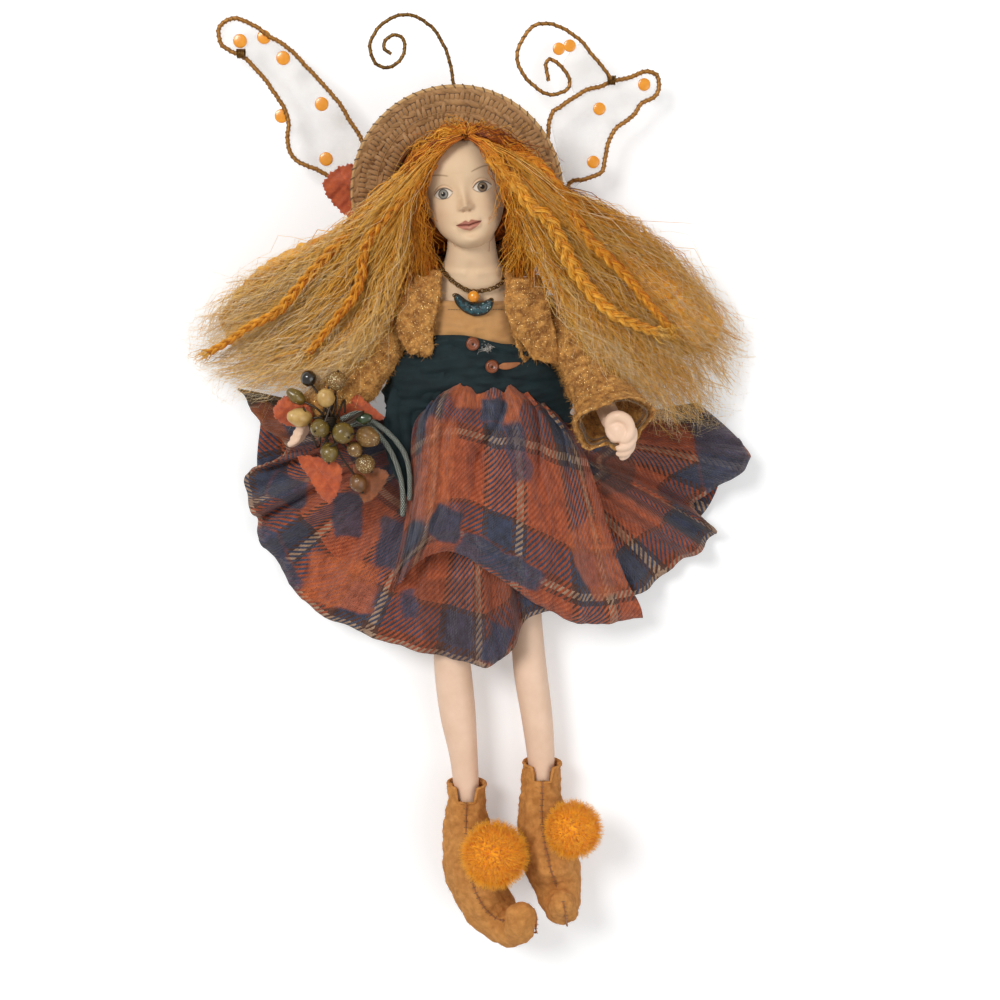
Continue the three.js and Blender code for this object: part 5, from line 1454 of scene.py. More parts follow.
def buildHair():
    few = 1.0
    place(hairCore("hairCapCore", "hair_cap", 0.0, (0.05, 0.1, 0.2, 0.3)), "torso", "copper_mohair",
            "hair_cap")
    place(hairCore("hairRightCore", "hair_right", -0.0016, (0.12, 0.3, 0.5, 0.7)), "torso", "mohair",
            "hair_right")
    place(hairCore("hairLeftCore", "hair_left", -0.0016, (0.1, 0.24, 0.42, 0.6)), "torso", "mohair",
            "hair_left")
    # the under layers get darker tints than the upper ones, as painted shade beneath them
    masses = {
        "hairRightUpper": ("right", 800, 2.6, (0.2, 0.4, 0.55, 0.68, 0.86), 1, 20, 0.18, 0.95),
        "hairRightUnder": ("right", 1400, 5.0, (0.1, 0.32, 0.46, 0.58, 0.8), 2, 9, 0.13, 0.0),
        "hairLeftUpper": ("left", 800, 2.6, (0.16, 0.34, 0.48, 0.62, 0.82), 3, 20, 0.18, 0.95),
        "hairLeftUnder": ("left", 1400, 5.0, (0.06, 0.26, 0.4, 0.54, 0.78), 4, 9, 0.13, 0.0),
    }
    for name, (family, count, depth, tints, seed, steps, radius, crimp) in masses.items():
        place(hairStrands(name, family, int(count * few), depth, tints, seed, wave=1.1, locks=64,
                radius=radius, steps=steps, crimp=crimp), "torso", "mohair")
    for name, family, seed in (("hairRightWisps", "right", 5), ("hairLeftWisps", "left", 6)):
        wisps = hairStrands(name, family, int(680 * few), 6.0, (0.46, 0.6, 0.72, 0.84, 0.95), seed,
                lengths=(0.7, 1.12), wave=1.7, spread=0.04, locks=220, radius=0.07, steps=18, crimp=1.0)
        place(wisps, "torso", "mohair")
    fringe = {
        "fringeRight": ("curtainRight", 540, 1.6, (0.04, 0.24, 0.16, 0.3, 0.2), 7),
        "fringeLeft": ("curtainLeft", 600, 1.8, (0.05, 0.32, 0.26, 0.36, 0.22), 8),
        "hairParting": ("crown", 640, 0.9, (0.06, 0.24, 0.33, 0.4), 9),
    }
    fringeEnds = {"fringeRight": (0.66, 1.26), "fringeLeft": (0.66, 1.26), "hairParting": (0.85, 1.05)}
    for name, (family, count, depth, tints, seed) in fringe.items():
        nodes = ["hair_fringe"] if name == "hairParting" else []
        piece = hairStrands(name, family, int(count * few), depth, tints, seed, lengths=fringeEnds[name],
                wave=0.5, locks=34, radius=0.165, steps=16, crimp=0.55)
        place(piece, "torso", "copper_mohair", *nodes)


buildHair()
print("hair ready")


# Thin braids of three locks

braidPaths = {
    "braid_right_outer": [(-14, 104, 47), (-21, 100, 46.4), (-27, 93, 43.5), (-37, 83, 39),
        (-43.5, 76.5, 36), (-53, 66.5, 31.5), (-61, 58, 28), (-70.5, 53, 24), (-77, 48.5, 20.5),
        (-84, 44.5, 17)],
    "braid_right_inner": [(-12, 102, 48), (-18, 96, 48), (-24.5, 89, 46), (-30, 83, 43.5), (-33.5, 76, 41),
        (-34.5, 69, 40), (-37, 63, 40), (-42, 57, 38.5), (-46, 52, 36), (-51, 46, 33)],
    "braid_left_inner": [(3, 103.5, 51), (10, 98, 50), (15, 90.5, 49.5), (20.5, 86, 48.5), (24.5, 79, 47),
        (28, 72, 46), (34, 64, 45.5), (40, 58.5, 44.5), (47, 55, 41), (53, 52.5, 37.5)],
    "braid_left_outer": [(8, 105, 47), (16, 103, 46), (22, 97, 45), (27, 89, 43), (32, 81, 41.5),
        (38, 75, 40.5), (45, 68, 38.5), (51, 61, 36), (57, 54, 33)],
}
braid = {"turnLength": 6.6, "halfWidth": 0.95, "halfDepth": 0.5, "hairs": 11, "lockRadius": 0.72,
        "tuft": 7.0, "lift": 2.8, "seed": 31}


def buildBraid(node, path, tint, size):
    rng = np.random.default_rng(braid["seed"] + len(node) + int(tint * 100))
    path = spline(path, 80)
    path[:, 2] += braid["lift"] * np.sin(np.linspace(0.15, 1, 80) * math.pi) ** 0.5
    length = lengthOf(path)
    count = int(length * 1.6)
    s = spline(path, count)
    along, side, rise = carried(s, (0, 0, 1))
    side, rise = rise, side
    paths, thick, tints = [], [], []
    where = np.linspace(0, 1, count)
    taper = size * (0.75 + 0.35 * np.sin(np.clip(where * 1.15, 0, 1) * math.pi))
    for lock in range(3):
        a = where * length / braid["turnLength"] * math.pi + lock * 2 * math.pi / 3
        middle = s + side * (braid["halfWidth"] * taper * np.sin(a))[:, None] + rise * (braid["halfDepth"]
                * taper * np.sin(2 * a))[:, None]
        for hair in range(braid["hairs"]):
            turn = hair * 2.4 + a * 0.8
            r = braid["lockRadius"] * math.sqrt((hair + 0.4) / braid["hairs"]) * taper
            offset = side * (r * np.cos(turn))[:, None] + rise * (r * 0.8 * np.sin(turn))[:, None]
            line = middle + offset
            end = line[-1] + np.cumsum(np.tile(along[-1] * braid["tuft"] / 7 * rng.uniform(0.5, 1.2),
                    (7, 1)) + rng.normal(0, 0.35, (7, 3)), axis=0)
            end[:, 2] = np.maximum(end[:, 2], 0.5)
            line = np.vstack([line, end])
            paths.append(line)
            thick.append(np.concatenate([np.full(count, 0.2), np.linspace(0.17, 0.05, 7)]) * size)
            # painted light and shade: hairs on one side of each lock are tinted lighter
            shade = tint + 0.12 * np.cos(turn) + rng.normal(0, 0.04)
            tints.append(np.clip(np.concatenate([shade, np.full(7, tint + 0.25)]), 0, 1))
        fuzz = rng.choice(count - 3, int(length * 0.7))
        for k in fuzz:
            way = side[k] * rng.normal() + rise[k] * abs(rng.normal()) + along[k] * rng.uniform(0.3, 1.5)
            line = middle[k] + np.outer(np.linspace(0, 1, 4) ** 1.3, way * rng.uniform(1.2, 3.0))
            paths.append(line)
            thick.append(np.linspace(0.07, 0.03, 4))
            tints.append(np.full(4, tint + 0.3))
    piece = strands("plait" + node.replace("braid", "").title().replace("_", ""), paths, thick,
            materials["hair"], sides=3, tint=tints)
    place(piece, "torso", "mohair", node)


for node, tint, size in (("braid_right_outer", 0.36, 1.0), ("braid_right_inner", 0.34, 0.95),
        ("braid_left_inner", 0.46, 1.3), ("braid_left_outer", 0.36, 1.05)):
    buildBraid(node, braidPaths[node], tint, size)
print("braids ready")


# Wire pieces: a core wire with a finer one wound round it

wire = {"core": 0.62, "wrap": 0.2, "pitch": 1.5, "curlCore": 0.55, "feelerCore": 0.5}


def wound(name, path, core, wrap, pitch, material, wrapMaterial, seed=0):
    length = lengthOf(spline(path, 200))
    count = int(length * 1.6)
    s = spline(path, count)
    s = s + 0.12 * np.stack([ripple(s, 5, seed + 1), ripple(s, 5, seed + 2), 0 * s[:, 0]], axis=1)
    tube = strands(name + "Core", [s], [core], material, sides=12)
    turns = length / pitch
    fine = spline(s, int(turns * 9))
    _, side, rise = carried(fine, (0, 0, 1))
    a = np.linspace(0, turns * 2 * math.pi, len(fine))
    helix = fine + (side * np.cos(a)[:, None] + rise * np.sin(a)[:, None]) * (core + wrap * 0.3)
    wrapTube = strands(name + "Wrap", [helix], [wrap], wrapMaterial, sides=5)
    return tube, wrapTube


wingPaths = {
    "right": [(-5, 56, 13.4), (-9, 59, 12.2), (-15, 62, 11.5), (-25, 72, 11.5), (-30, 86, 11.5),
        (-32, 98, 11.5), (-36, 109, 11.5), (-40, 116, 11.5), (-44.5, 122.5, 11.5), (-50.5, 129, 11.5),
        (-57, 136, 11.5), (-64.5, 141, 11.5), (-71, 145, 11.5), (-75, 145.8, 11.5), (-78.5, 144, 11.5),
        (-79.5, 141, 11.5), (-78.5, 138, 11.5), (-75.5, 136, 11.5), (-72, 134.5, 11.5), (-68.5, 131, 11.5),
        (-65.5, 127.5, 11.5), (-62, 122.5, 11.5), (-59.5, 118.5, 11.5), (-58.5, 114, 11.5),
        (-59, 109, 11.5), (-57.5, 104.5, 11.5), (-54, 102, 11.5), (-46, 98, 11.5), (-39, 88, 11.5),
        (-32, 74, 11.5), (-22, 60, 11.5), (-14, 52, 11.8), (-8, 48, 12.2)],
    "left": [(5, 57, 13.4), (9, 61, 12.2), (15, 66, 11.5), (19.6, 80, 11.5), (20.4, 100, 11.5),
        (22, 116, 11.5), (25, 119.5, 11.5), (29, 122, 11.5), (33, 124.5, 11.5), (37.5, 125.5, 11.5),
        (40.5, 127, 11.5), (45.5, 128, 11.5), (51, 130, 11.5), (54, 129.5, 11.5), (55, 127.5, 11.5),
        (55, 124.5, 11.5), (53.5, 122, 11.5), (50, 120.5, 11.5), (47.5, 117, 11.5), (44.5, 114.5, 11.5),
        (42, 112.5, 11.5), (40, 109, 11.5), (39, 104.5, 11.5), (38.5, 100.5, 11.5), (37, 99, 11.5),
        (32.5, 97.5, 11.5), (27.5, 95.5, 11.5), (26, 84, 11.5), (24, 70, 11.5), (17, 58, 11.6),
        (12, 53, 11.8), (8, 49, 12.2)],
}
curlPath = [(40.5, 127.4), (38, 131), (35, 134.6), (32, 138), (28.5, 141), (25, 143), (21, 144.2),
        (17, 143.5), (14, 140.5), (12, 136.5), (12, 132.5), (14, 128.5), (17.5, 125), (21, 123.3),
        (24.6, 123.3), (27.3, 125), (27.7, 127.8), (26, 130.4), (23.8, 132.6), (21.6, 133.6),
        (20.4, 131.4), (21.4, 127)]
curlHeight = 13.45
feelerPath = [(-7, 111.8, 29.2), (-7, 114.6, 29.8), (-7, 118.8, 31.0), (-7.2, 124.3, 32.5)] + [(x, y, 33)
        for x, y in ((-8, 130.5), (-10, 136.5), (-13, 140.8), (-17, 143.9), (-21, 145.2), (-25, 144.3),
        (-29, 141.7), (-31.4, 138), (-31.6, 134.4), (-30, 131.3), (-27, 130), (-23.7, 131.3),
        (-21.6, 134.5), (-22, 138), (-24.5, 139.3), (-27, 138), (-27.6, 135.6), (-25.6, 133.8))]
wingCloth = {
    "right": {"outline": range(5, 28), "dots": [(240, 41), (264, 37), (283, 58), (321.6, 104),
        (281.5, 116), (326, 159)], "dotSize": 2.15},
    "left": {"outline": range(5, 27), "dots": [(644.2, 84.5), (599.4, 108.8), (593.3, 162)],
        "dotSize": 1.95},
}


def edgeDistance(outline, points):
    near = np.full(len(points), 1e9)
    for a, b in zip(outline, np.roll(outline, -1, axis=0)):
        ab = b - a
        f = np.clip(((points - a) @ ab) / max(ab @ ab, 1e-9), 0, 1)
        near = np.minimum(near, np.linalg.norm(points - a - f[:, None] * ab, axis=1))
    return near


def panel(name, outline, height, thickness, spacing, material, relief=None):
    # A sheet inside an outline, filled with points a spacing apart
    outline = np.asarray(outline, float)
    low, high = outline.min(axis=0), outline.max(axis=0)
    xs, ys = np.meshgrid(np.arange(low[0], high[0], spacing), np.arange(low[1], high[1], spacing))
    inner = np.stack([xs.ravel(), ys.ravel()], axis=1)
    keep = np.zeros(len(inner), bool)
    near = edgeDistance(outline, inner)
    for a, b in zip(outline, np.roll(outline, -1, axis=0)):
        cross = ((a[1] > inner[:, 1]) != (b[1] > inner[:, 1]))
        hit = (b[0] - a[0]) * (inner[:, 1] - a[1]) / ((b[1] - a[1]) or 1e-9) + a[0]
        keep ^= cross & (inner[:, 0] < hit)
    inner = inner[keep & (near > spacing * 0.45)]
    flat = [Vector(p) for p in outline.tolist() + inner.tolist()]
    made = delaunay_2d_cdt(flat, [], [list(range(len(outline)))], 1, 1e-5)
    points2 = np.array([tuple(p) for p in made[0]])
    triangles = np.array(made[2], np.int32)
    z = height + (relief(points2) if relief else 0) * np.ones(len(points2))
    top = np.column_stack([points2, z])
    under = np.column_stack([points2, z - thickness])
    edges = np.sort(np.concatenate([triangles[:, [0, 1]], triangles[:, [1, 2]], triangles[:, [2, 0]]]),
            axis=1)
    unique, count = np.unique(edges, axis=0, return_counts=True)
    border = {tuple(e) for e in unique[count == 1]}
    rim = [(a, b) for t in triangles for a, b in ((t[0], t[1]), (t[1], t[2]), (t[2], t[0]))
            if (min(a, b), max(a, b)) in border]
    n = len(top)
    walls = np.array([(b, a, a + n, b + n) for a, b in rim], np.int32)
    points = np.vstack([top, under])
    faces = [triangles, triangles[:, ::-1] + n, walls]
    return newMesh(name, points, outward(points, faces, faces), material, np.vstack([points2, points2]))


def stretched(piece, outline):  # takes no step: the cloth is left as built
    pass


def disc(name, middles, radius, height, material):
    parts = [closedRings(sphereRings((x, y, height), (radius, radius, 0.3), 10, 28)) for x, y in middles]
    return joined(name, parts, material)


def buildWings():
    for side in ("right", "left"):
        body = "wing_" + side
        core, wrap = wound("wingFrame" + side.title(), wingPaths[side], wire["core"], wire["wrap"],
                wire["pitch"], materials["goldWire"], materials["goldWire"], 3)
        place(core, body, "wrapped_wire", "wing_frame_" + side)
        place(wrap, body, "bronze_wire")
        cloth = wingCloth[side]
        outline = closedOutline([wingPaths[side][k][:2] for k in cloth["outline"]], 120)
        sag = lambda p: 0.35 * ripple(np.column_stack([p, 0 * p[:, 0]]), 9,
                4) + 0.12 * ripple(np.column_stack([p, 0 * p[:, 0]]), 3, 9)
        sheet = panel("organza" + side.title(), outline, 10.6, 0.08, 0.8, materials["organza"], sag)
        place(sheet, body, "organza", "wing_membrane_" + side)
        stretched(sheet, outline)
        dots = disc("dots" + side.title(), [seen(x, y, 11.2)[:2] for x, y in cloth["dots"]],
                cloth["dotSize"], 11.1, materials["dot"])
        place(dots, body, "organza")
    core, wrap = wound("wingCurl", [(x, y, curlHeight) for x, y in curlPath], wire["curlCore"], 0.16, 2.2,
            materials["goldWire"], materials["bronze"], 5)
    place(core, "wing_left", "bronze_wire", "wing_curl_left")
    place(wrap, "wing_left", "bronze_wire")
    outline = np.array([(25.6, 131.6), (28, 136), (31.6, 138.4), (35.2, 134.4), (38.6, 130.2),
            (39.6, 127.8), (37, 126.4), (33, 125.4), (29.2, 123.4), (27.8, 127.8)])
    outline = closedOutline(outline, 60)
    lobe = panel("organzaLobe", outline, 12.6, 0.08, 0.7, materials["organza"])
    place(lobe, "wing_left", "organza", "wing_lobe_left")
    stretched(lobe, outline)
    dots = disc("dotsLobe", [seen(x, y, 13.0)[:2] for x, y in ((558.8, 48.8), (569.7, 45.7))], 1.9, 13.0,
            materials["dot"])
    place(dots, "wing_left", "organza")
    for side, middle in (("left", seen(611.5, 80.3, 12.4)), ("right", seen(241, 53.6, 12.2))):
        turns = np.linspace(0, 5 * 2 * math.pi, 90)
        knot = middle + np.stack([np.linspace(-1.2, 1.2, 90), 1.25 * np.cos(turns), 1.1 * np.sin(turns)],
                axis=1)
        placeStrands("wingKnot" + side.title(), [knot], 0.26, "bronze", 6, "wing_" + side, "bronze_wire")
    core, wrap = wound("feeler", feelerPath, wire["feelerCore"], 0.14, 2.6, materials["bronze"],
            materials["goldWire"], 7)
    place(core, "torso", "bronze_wire", "antenna")
    place(wrap, "torso", "bronze_wire")


buildWings()
print("wings ready")


# Necklace, bead and crescent

def torus(wide, long, thick, sides=8, count=16):
    turn = roundTurn(count)
    small = roundTurn(sides)
    middle = np.stack([long * np.cos(turn), wide * np.sin(turn), 0 * turn], axis=1)
    out = middle / np.linalg.norm(middle, axis=1, keepdims=True)
    points = middle[:, None, :] + thick * (np.cos(small)[None, :, None] * out[:, None, :]
            + np.sin(small)[None, :, None] * np.array([0, 0, 1.0]))
    a = np.arange(count)[:, None] * sides + np.arange(sides)[None, :]
    b = np.roll(a, -1, axis=0)
    faces = np.stack([a, np.roll(a, -1, axis=1), np.roll(b, -1, axis=1), b], axis=-1).reshape(-1,
            4).astype(np.int32)
    return points.reshape(-1, 3), outward(points, [faces], [faces])


def lathe(name, profile, centre, material, sides=40, turn=None, dent=None):
    p = spline([(r, 0, z) for r, z in profile], len(profile) * 5)
    a = roundTurn(sides)
    r = np.maximum(p[:, 0], 0.01)[:, None] * (1 + (dent(a, p[:, 2][:, None]) if dent else 0))
    rings = np.stack([r * np.cos(a), r * np.sin(a), np.broadcast_to(p[:, 2][:, None], (len(p), sides))],
            axis=-1)
    if turn is not None:
        rings = rings @ np.asarray(turn).T
    points, faces = closedRings(rings + np.asarray(centre, float))
    return newMesh(name, points, faces, material) if name else (points, faces)


necklace = {"linkLong": 0.95, "linkWide": 0.62, "linkThick": 0.2, "spacing": 1.25, "bead": 1.7}
crescent = [(-6.9, 63.6), (-6.4, 61.2), (-4, 58.8), (-0.8, 57.6), (2.1, 58.2), (3.9, 60), (4.2, 62.2),
        (2.8, 61.9), (1, 61.2), (-1.5, 61), (-3.9, 62), (-5.8, 63.5)]


def buildNecklace():
    front = np.array([(-9.6, 69.6), (-7.4, 67.4), (-4.2, 65.4), (-1.4, 64.6), (3.2, 65.1), (6, 66.3),
            (7.6, 68)])
    front = np.column_stack([front, frontOf(front[:, 0], front[:, 1], 0) + 1.2])
    back = [(8.2, 71.4, 33), (7.6, 73, 29), (4.4, 74.2, 24.6), (-2, 74.6, 22.7), (-8.4, 74.2, 24.6),
            (-11.5, 73.2, 29), (-11.5, 71.8, 33)]
    path = spline(np.vstack([front, back]), 300, closed=True)
    count = int(lengthOf(path) / necklace["spacing"])
    s = spline(path, count, closed=True)
    along, side, rise = carried(s, (0, 0, 1))
    roll = np.where(np.arange(count) % 2 == 0, 0.5, -0.9)[:, None]
    link = smallPiece("oneLink", *torus(necklace["linkWide"], necklace["linkLong"], necklace["linkThick"]))
    chain = atPoints("chainLinks", link, s, turnTo(along, side * np.cos(roll) + rise * np.sin(roll)),
            (1, 1, 1), materials["bronze"])
    drop(link)
    place(chain, "torso", "bronze_wire", "necklace_chain")
    beadAt = np.array([-1.4, 63.2, frontOf(-1.4, 61.4, 1.1) + 0.3 + necklace["bead"]])
    r = necklace["bead"]
    bead = lathe("amberBead", [(0.3, -r), (r * 0.72, -r * 0.72), (r, 0), (r * 0.72, r * 0.72), (0.3, r)],
            beadAt, materials["bead"], turn=facing((0, 1, 0.2)))
    place(bead, "torso", "amber_bead", "necklace_bead")
    outline = closedOutline(crescent, 90)
    dome = lambda p: 1.3 * np.sqrt(1 - (1 - np.minimum(edgeDistance(outline, p) / 1.5, 1)) ** 2)
    height = frontOf(-1.4, 59, 1.1) + 0.3 + 0.9
    moon = panel("crescent", outline, height, 0.9, 0.28, materials["glaze"], dome)
    place(moon, "pendant", "teal_glaze", "pendant")
    rim = np.column_stack([outline, np.full(len(outline), height - 0.1)])
    placeStrands("crescentRim", [np.vstack([rim, rim[:1]])], 0.34, "darkWire", 7, "pendant", "teal_glaze")
    loops = [(x, y, height + 0.9) for x, y in ((-6.9, 63.5), (3.9, 62.2))]
    rings = [np.array(p) + 0.62 * np.stack([np.cos(a), 0.9 * np.sin(a), 0.3 * np.sin(a)], axis=1)
            for p in loops for a in [np.linspace(0, 6.4, 22)]]
    placeStrands("crescentRings", rings, 0.16, "bronze", 6, "pendant", "bronze_wire")


buildNecklace()
print("necklace ready")


# Bandeau and velvet wrap

wrap = {"creases": 2.0, "hipRight": 8.6, "hipLeft": 7.2, "lowEdge": 22.0, "highEdge": 50.0,
        "tailThick": 0.8}
buttons = {"upper": (-1.6, 49), "lower": (4, 42), "radius": 2.0, "rise": 1.3}


def cloudAt(x, y, z, size, seed):
    return ripple(np.stack(np.broadcast_arrays(x, y, z), axis=-1), size, seed)


def buildBands():
    def bandeauRelief(turn, y):
        fine = 0.14 * cloudAt(np.cos(turn) * 14, y * 2.2, np.sin(turn) * 14, 5, 2)
        hem = 0.38 * bell(y - 60.3, 0.9) - 0.2 * bell(y - 59.0, 0.35)
        return fine + hem + 0 * turn, 0.35 * cloudAt(np.cos(turn) * 14, 0 * y, np.sin(turn) * 14, 9,
                5) + 0 * y

    def wrapRelief(turn, y):
        x, z = np.cos(turn) * 18, np.sin(turn) * 11
        slanted = cloudAt(x + y * 0.8, (y - x * 0.5) * 2.6, z, 13, 8)
        fine = cloudAt(x * 1.2, (y + x * 0.35) * 2.2, z, 6, 9)
        fold = 0.9 * np.abs(np.sin(0.7 * slanted + 0.36 * (y + 0.45 * x))) ** 0.6 - 0.5
        edge = 0.5 * bell(y - wrap["highEdge"] + 1.2, 1.2) + 0.3 * bell(y - wrap["lowEdge"] - 1, 1.2)
        slide = (0.9 * cloudAt(x, 0 * y, z, 16, 3) - 0.045 * x) * smooth((y - 30) / 20)
        wide = np.where(np.cos(turn) < 0, wrap["hipRight"],
                wrap["hipLeft"]) * np.abs(np.cos(turn)) ** 5 * smooth((50 - y) / 10)
        return wrap["creases"] * (fold * 0.8 + 0.22 * fine) + edge + wide, slide

    band = bandPiece("bandeauBand", 45, 61.4, layers["bandeau"], 0.8, materials["bandeau"], bandeauRelief)
    place(band, "torso", "tan_cotton", "bandeau")
    x = np.linspace(-9, 7.5, 22)
    dashes = [np.column_stack([[a, a + 0.45], [59.1, 59.15], frontOf([a, a + 0.45], [59.1, 59.1], 1.35)])
            for a in x]
    placeStrands("bandeauStitches", dashes, 0.12, "lining", 4, "torso", "tan_cotton")
    velvet = bandPiece("velvetWrap", wrap["lowEdge"], wrap["highEdge"], layers["wrap"], layers["cloth"],
            materials["velvet"], wrapRelief, sides=190, rows=68)
    place(velvet, "torso", "velvet", "waist_wrap")
    outer = spline([(-20, 43, 0), (-26, 36, 0), (-28.6, 27, 0), (-29, 17, 0), (-26.4, 8, 0), (-22, 1, 0)],
            72)
    inner = spline([(-10, 41, 0), (-11.6, 33, 0), (-13.6, 24, 0), (-17, 15, 0), (-19, 7, 0),
            (-20.2, 1, 0)], 72)
    u = np.linspace(0, 1, 44)[None, :, None]
    grid = outer[:, None, :] * (1 - u) + inner[:, None, :] * u
    s = np.linspace(0, 1, 72)[:, None]
    top = frontOf(np.maximum(grid[..., 0], -19.6), 34, layers["wrap"] + layers["cloth"]) + 1.6
    pleat = np.abs(np.sin(math.pi * (3.2 * u[..., 0] + 0.25 * cloudAt(grid[..., 0], grid[..., 1], 0, 16,
            4)))) ** 0.7
    grid[..., 2] = top + (28.6 - top) * smooth(s * 1.6) + 1.5 * (pleat - 0.4) * (0.4
            + 0.6 * s) + 0.25 * cloudAt(grid[..., 0], grid[..., 1], 0, 4, 6)
    tail = shell("wrapTailCloth", grid, wrap["tailThick"], materials["velvet"])
    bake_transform(tail)
    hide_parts("wrap_tail")
    for name in ("upper", "lower"):
        bx, by = buttons[name]
        bz = float(frontOf(bx, by, layers["wrap"] + layers["cloth"])) + 0.2
        r, h = buttons["radius"], buttons["rise"]
        profile = [(0.05, -0.3), (r * 0.7, -0.2), (r, h * 0.4), (r * 0.95, h * 0.95), (r * 0.7, h * 1.25),
                (r * 0.5, h * 1.05), (r * 0.3, h * 0.95), (0.3, h * 0.9), (0.1, h * 0.75)]
        normal = np.array([float(bx) / 40, 0.12, 1])
        place(lathe("button" + name.title(), profile, (bx, by, bz), materials["button"],
                turn=facing(normal)), "torso", "brown_button", "button_" + name)
        pin = lathe("buttonPin" + name.title(), [(0.02, 0), (0.32, 0.1), (0.3, 0.35), (0.02, 0.5)],
                (bx, by, bz + h * 0.85), materials["darkWire"], 14)
        place(pin, "torso", "brown_button")
    loopZ = lambda x, y: float(frontOf(x, y, layers["wrap"] + layers["cloth"])) + 1.0
    loop = loft("leatherLoop", [(x, 42 + (x - 6.8) * 0.1, loopZ(x, 42), a, 0.32)
            for x, a in ((6.2, 0.5), (7.4, 1.0), (9, 1.15), (11, 0.8), (13, 0.4), (14.6, 0.15))],
            materials["leather"], sides=20, steps=40, across=(0, 1, 0))
    place(loop, "torso", "loop_leather", "button_loop")
    rng = np.random.default_rng(4)
    base = np.array([2.0, 48.0, float(frontOf(2, 48, 3.0))])
    tufts = [base + (0.3, 0, 0.5) + rng.normal(0, 0.6, 3) * (1.5, 0.7, 0.5)
            + np.cumsum(rng.normal(0, 0.2, (8, 3)), axis=0) for _ in range(110)]
    placeStrands("lintTuft", tufts, 0.03, "fluff", 3, "torso", "tan_cotton")


buildBands()
print("bandeau and wrap ready")


# Jacket and sleeves in gold knit, with stray fibres

knit = {"fibres": 1.05e6, "length": 1.5, "radius": 0.058, "lumps": 0.2, "cuffWave": 0.07}
arms = {"right": [(-25.4, 58, 27), (-32, 44, 27.4), (-43.5, 31, 27), (-49.5, 25.5, 26.8)],
        "left": [(22.2, 58, 27), (31, 44, 31), (38, 31, 41.5), (40.2, 25.6, 47.4)]}
sleeveSize = {"right": (6.6, 7.4, 8, 8.6), "left": (6.6, 7.6, 9.4, 12.4)}


def fibre(length, radius):
    rings = [[(radius * k * math.cos(a) + bend, radius * k * math.sin(a), z * length)
            for a in (0, 2.1, 4.2)] for z, k, bend in ((0, 1, 0), (1, 0.4, 0.34 * length))]
    return smallPiece("oneFibre", *closedRings(np.array(rings)))


def fuzz(source, name, density, length, radius, material, lean=0.9, seed=1):
    one = fibre(length, radius)
    made = grow(source, "fur", name, {"Fibre": one, "Density": float(density), "Lean": lean,
            "Shortest": 0.5, "Longest": 1.3, "Seed": seed, "Material": material}, keep=True)
    drop(one)
    return made


def knitted(piece, seed):
    p, n = pointsOf(piece), normalsOf(piece)
    setPoints(piece, p + n * (knit["lumps"] * ripple(p, 4.5, seed) + 0.12 * ripple(p, 1.5,
            seed + 1))[:, None])
    return piece


def buildSleeve(side):
    steps, sides = 110, 120
    path = spline([p + (r,) for p, r in zip(arms[side], sleeveSize[side])], steps)
    where = np.linspace(0, 1, steps)
    turn = roundTurn(sides)
    along, across, rise = carried(path[:, :3], (1, 0, 0))
    flare = smooth((where - 0.55) / 0.45)[:, None]
    shape = 1 + flare * knit["cuffWave"] * (np.sin(3 * turn + 0.6) + 0.7 * np.sin(5 * turn + 2.2))[None, :]
    if side == "left":
        shape = shape - 0.3 * flare ** 3 * bell(np.angle(np.exp(1j * (turn - 4.25))), 0.32)[None, :]
    shape = shape + 0.05 * np.sin(where[:, None] * 24 + 2 * np.sin(turn)[None, :]) * (1 - flare * 0.7)

    def ring(k, inset):
        r = (path[k, 3:4] - inset) * shape[k]
        return ringsRound(path[k, :3], across[k], rise[k], r, r, turn)

    k = np.arange(steps)
    back = np.arange(steps - 2, 48, -3)
    end = along[steps - 1]
    rim = ring(np.array([steps - 1] * 2), np.array([[0.35], [0.75]])) + (end * 0.35)
    rings = np.concatenate([ring(k, 0 * k[:, None]), rim, ring(back, 1.1 + 0 * back[:, None])])
    points, faces = closedRings(rings)
    sleeve = knitted(newMesh("sleeve" + side.title(), points, faces, materials["knit"]), 12)
    hairs = fuzz(sleeve, "sleeveFuzz" + side.title(), knit["fibres"], knit["length"], knit["radius"],
            materials["knitFibre"], 1.1, 5)
    place(sleeve, "arm_" + side, "gold_knit", "sleeve_" + side)
    place(hairs, "arm_" + side, "gold_knit")
    if side == "left":  # the lining shows as a second thin edge inside the cuff
        inner = np.concatenate([ring(np.array([106]), np.array([[1.9]])),
                ring(np.array([104]), np.array([[2.2]]))])
        edges = [np.vstack([inner[0], inner[0][:1]]) + end * 0.6, np.vstack([inner[1], inner[1][:1]])]
        place(strands("cuffEdges", edges, [0.3, 0.25], materials["lining"], sides=6), "arm_left",
                "gold_knit")


flaps = {  # the inner and outer edge of each jacket front, as px, py and height
    "right": ([(437, 277, 37), (438.5, 292, 38.5), (438, 306, 39), (434, 321, 39), (427, 338, 38.5),
        (419, 353, 37.5)], [(403, 274, 35.5), (399, 291, 36), (397, 308, 36.5), (396, 325, 36.5),
        (400, 342, 36), (410, 355, 36.5)]),
    "left": ([(507, 279, 37), (504.5, 295, 38.5), (505, 311, 39), (511, 328, 38.5), (522, 345, 37.5),
        (534, 360, 36)], [(541, 275, 36), (547, 292, 36.5), (551, 310, 37), (555, 330, 36.5),
        (558, 348, 35.5), (559, 366, 34)]),
}


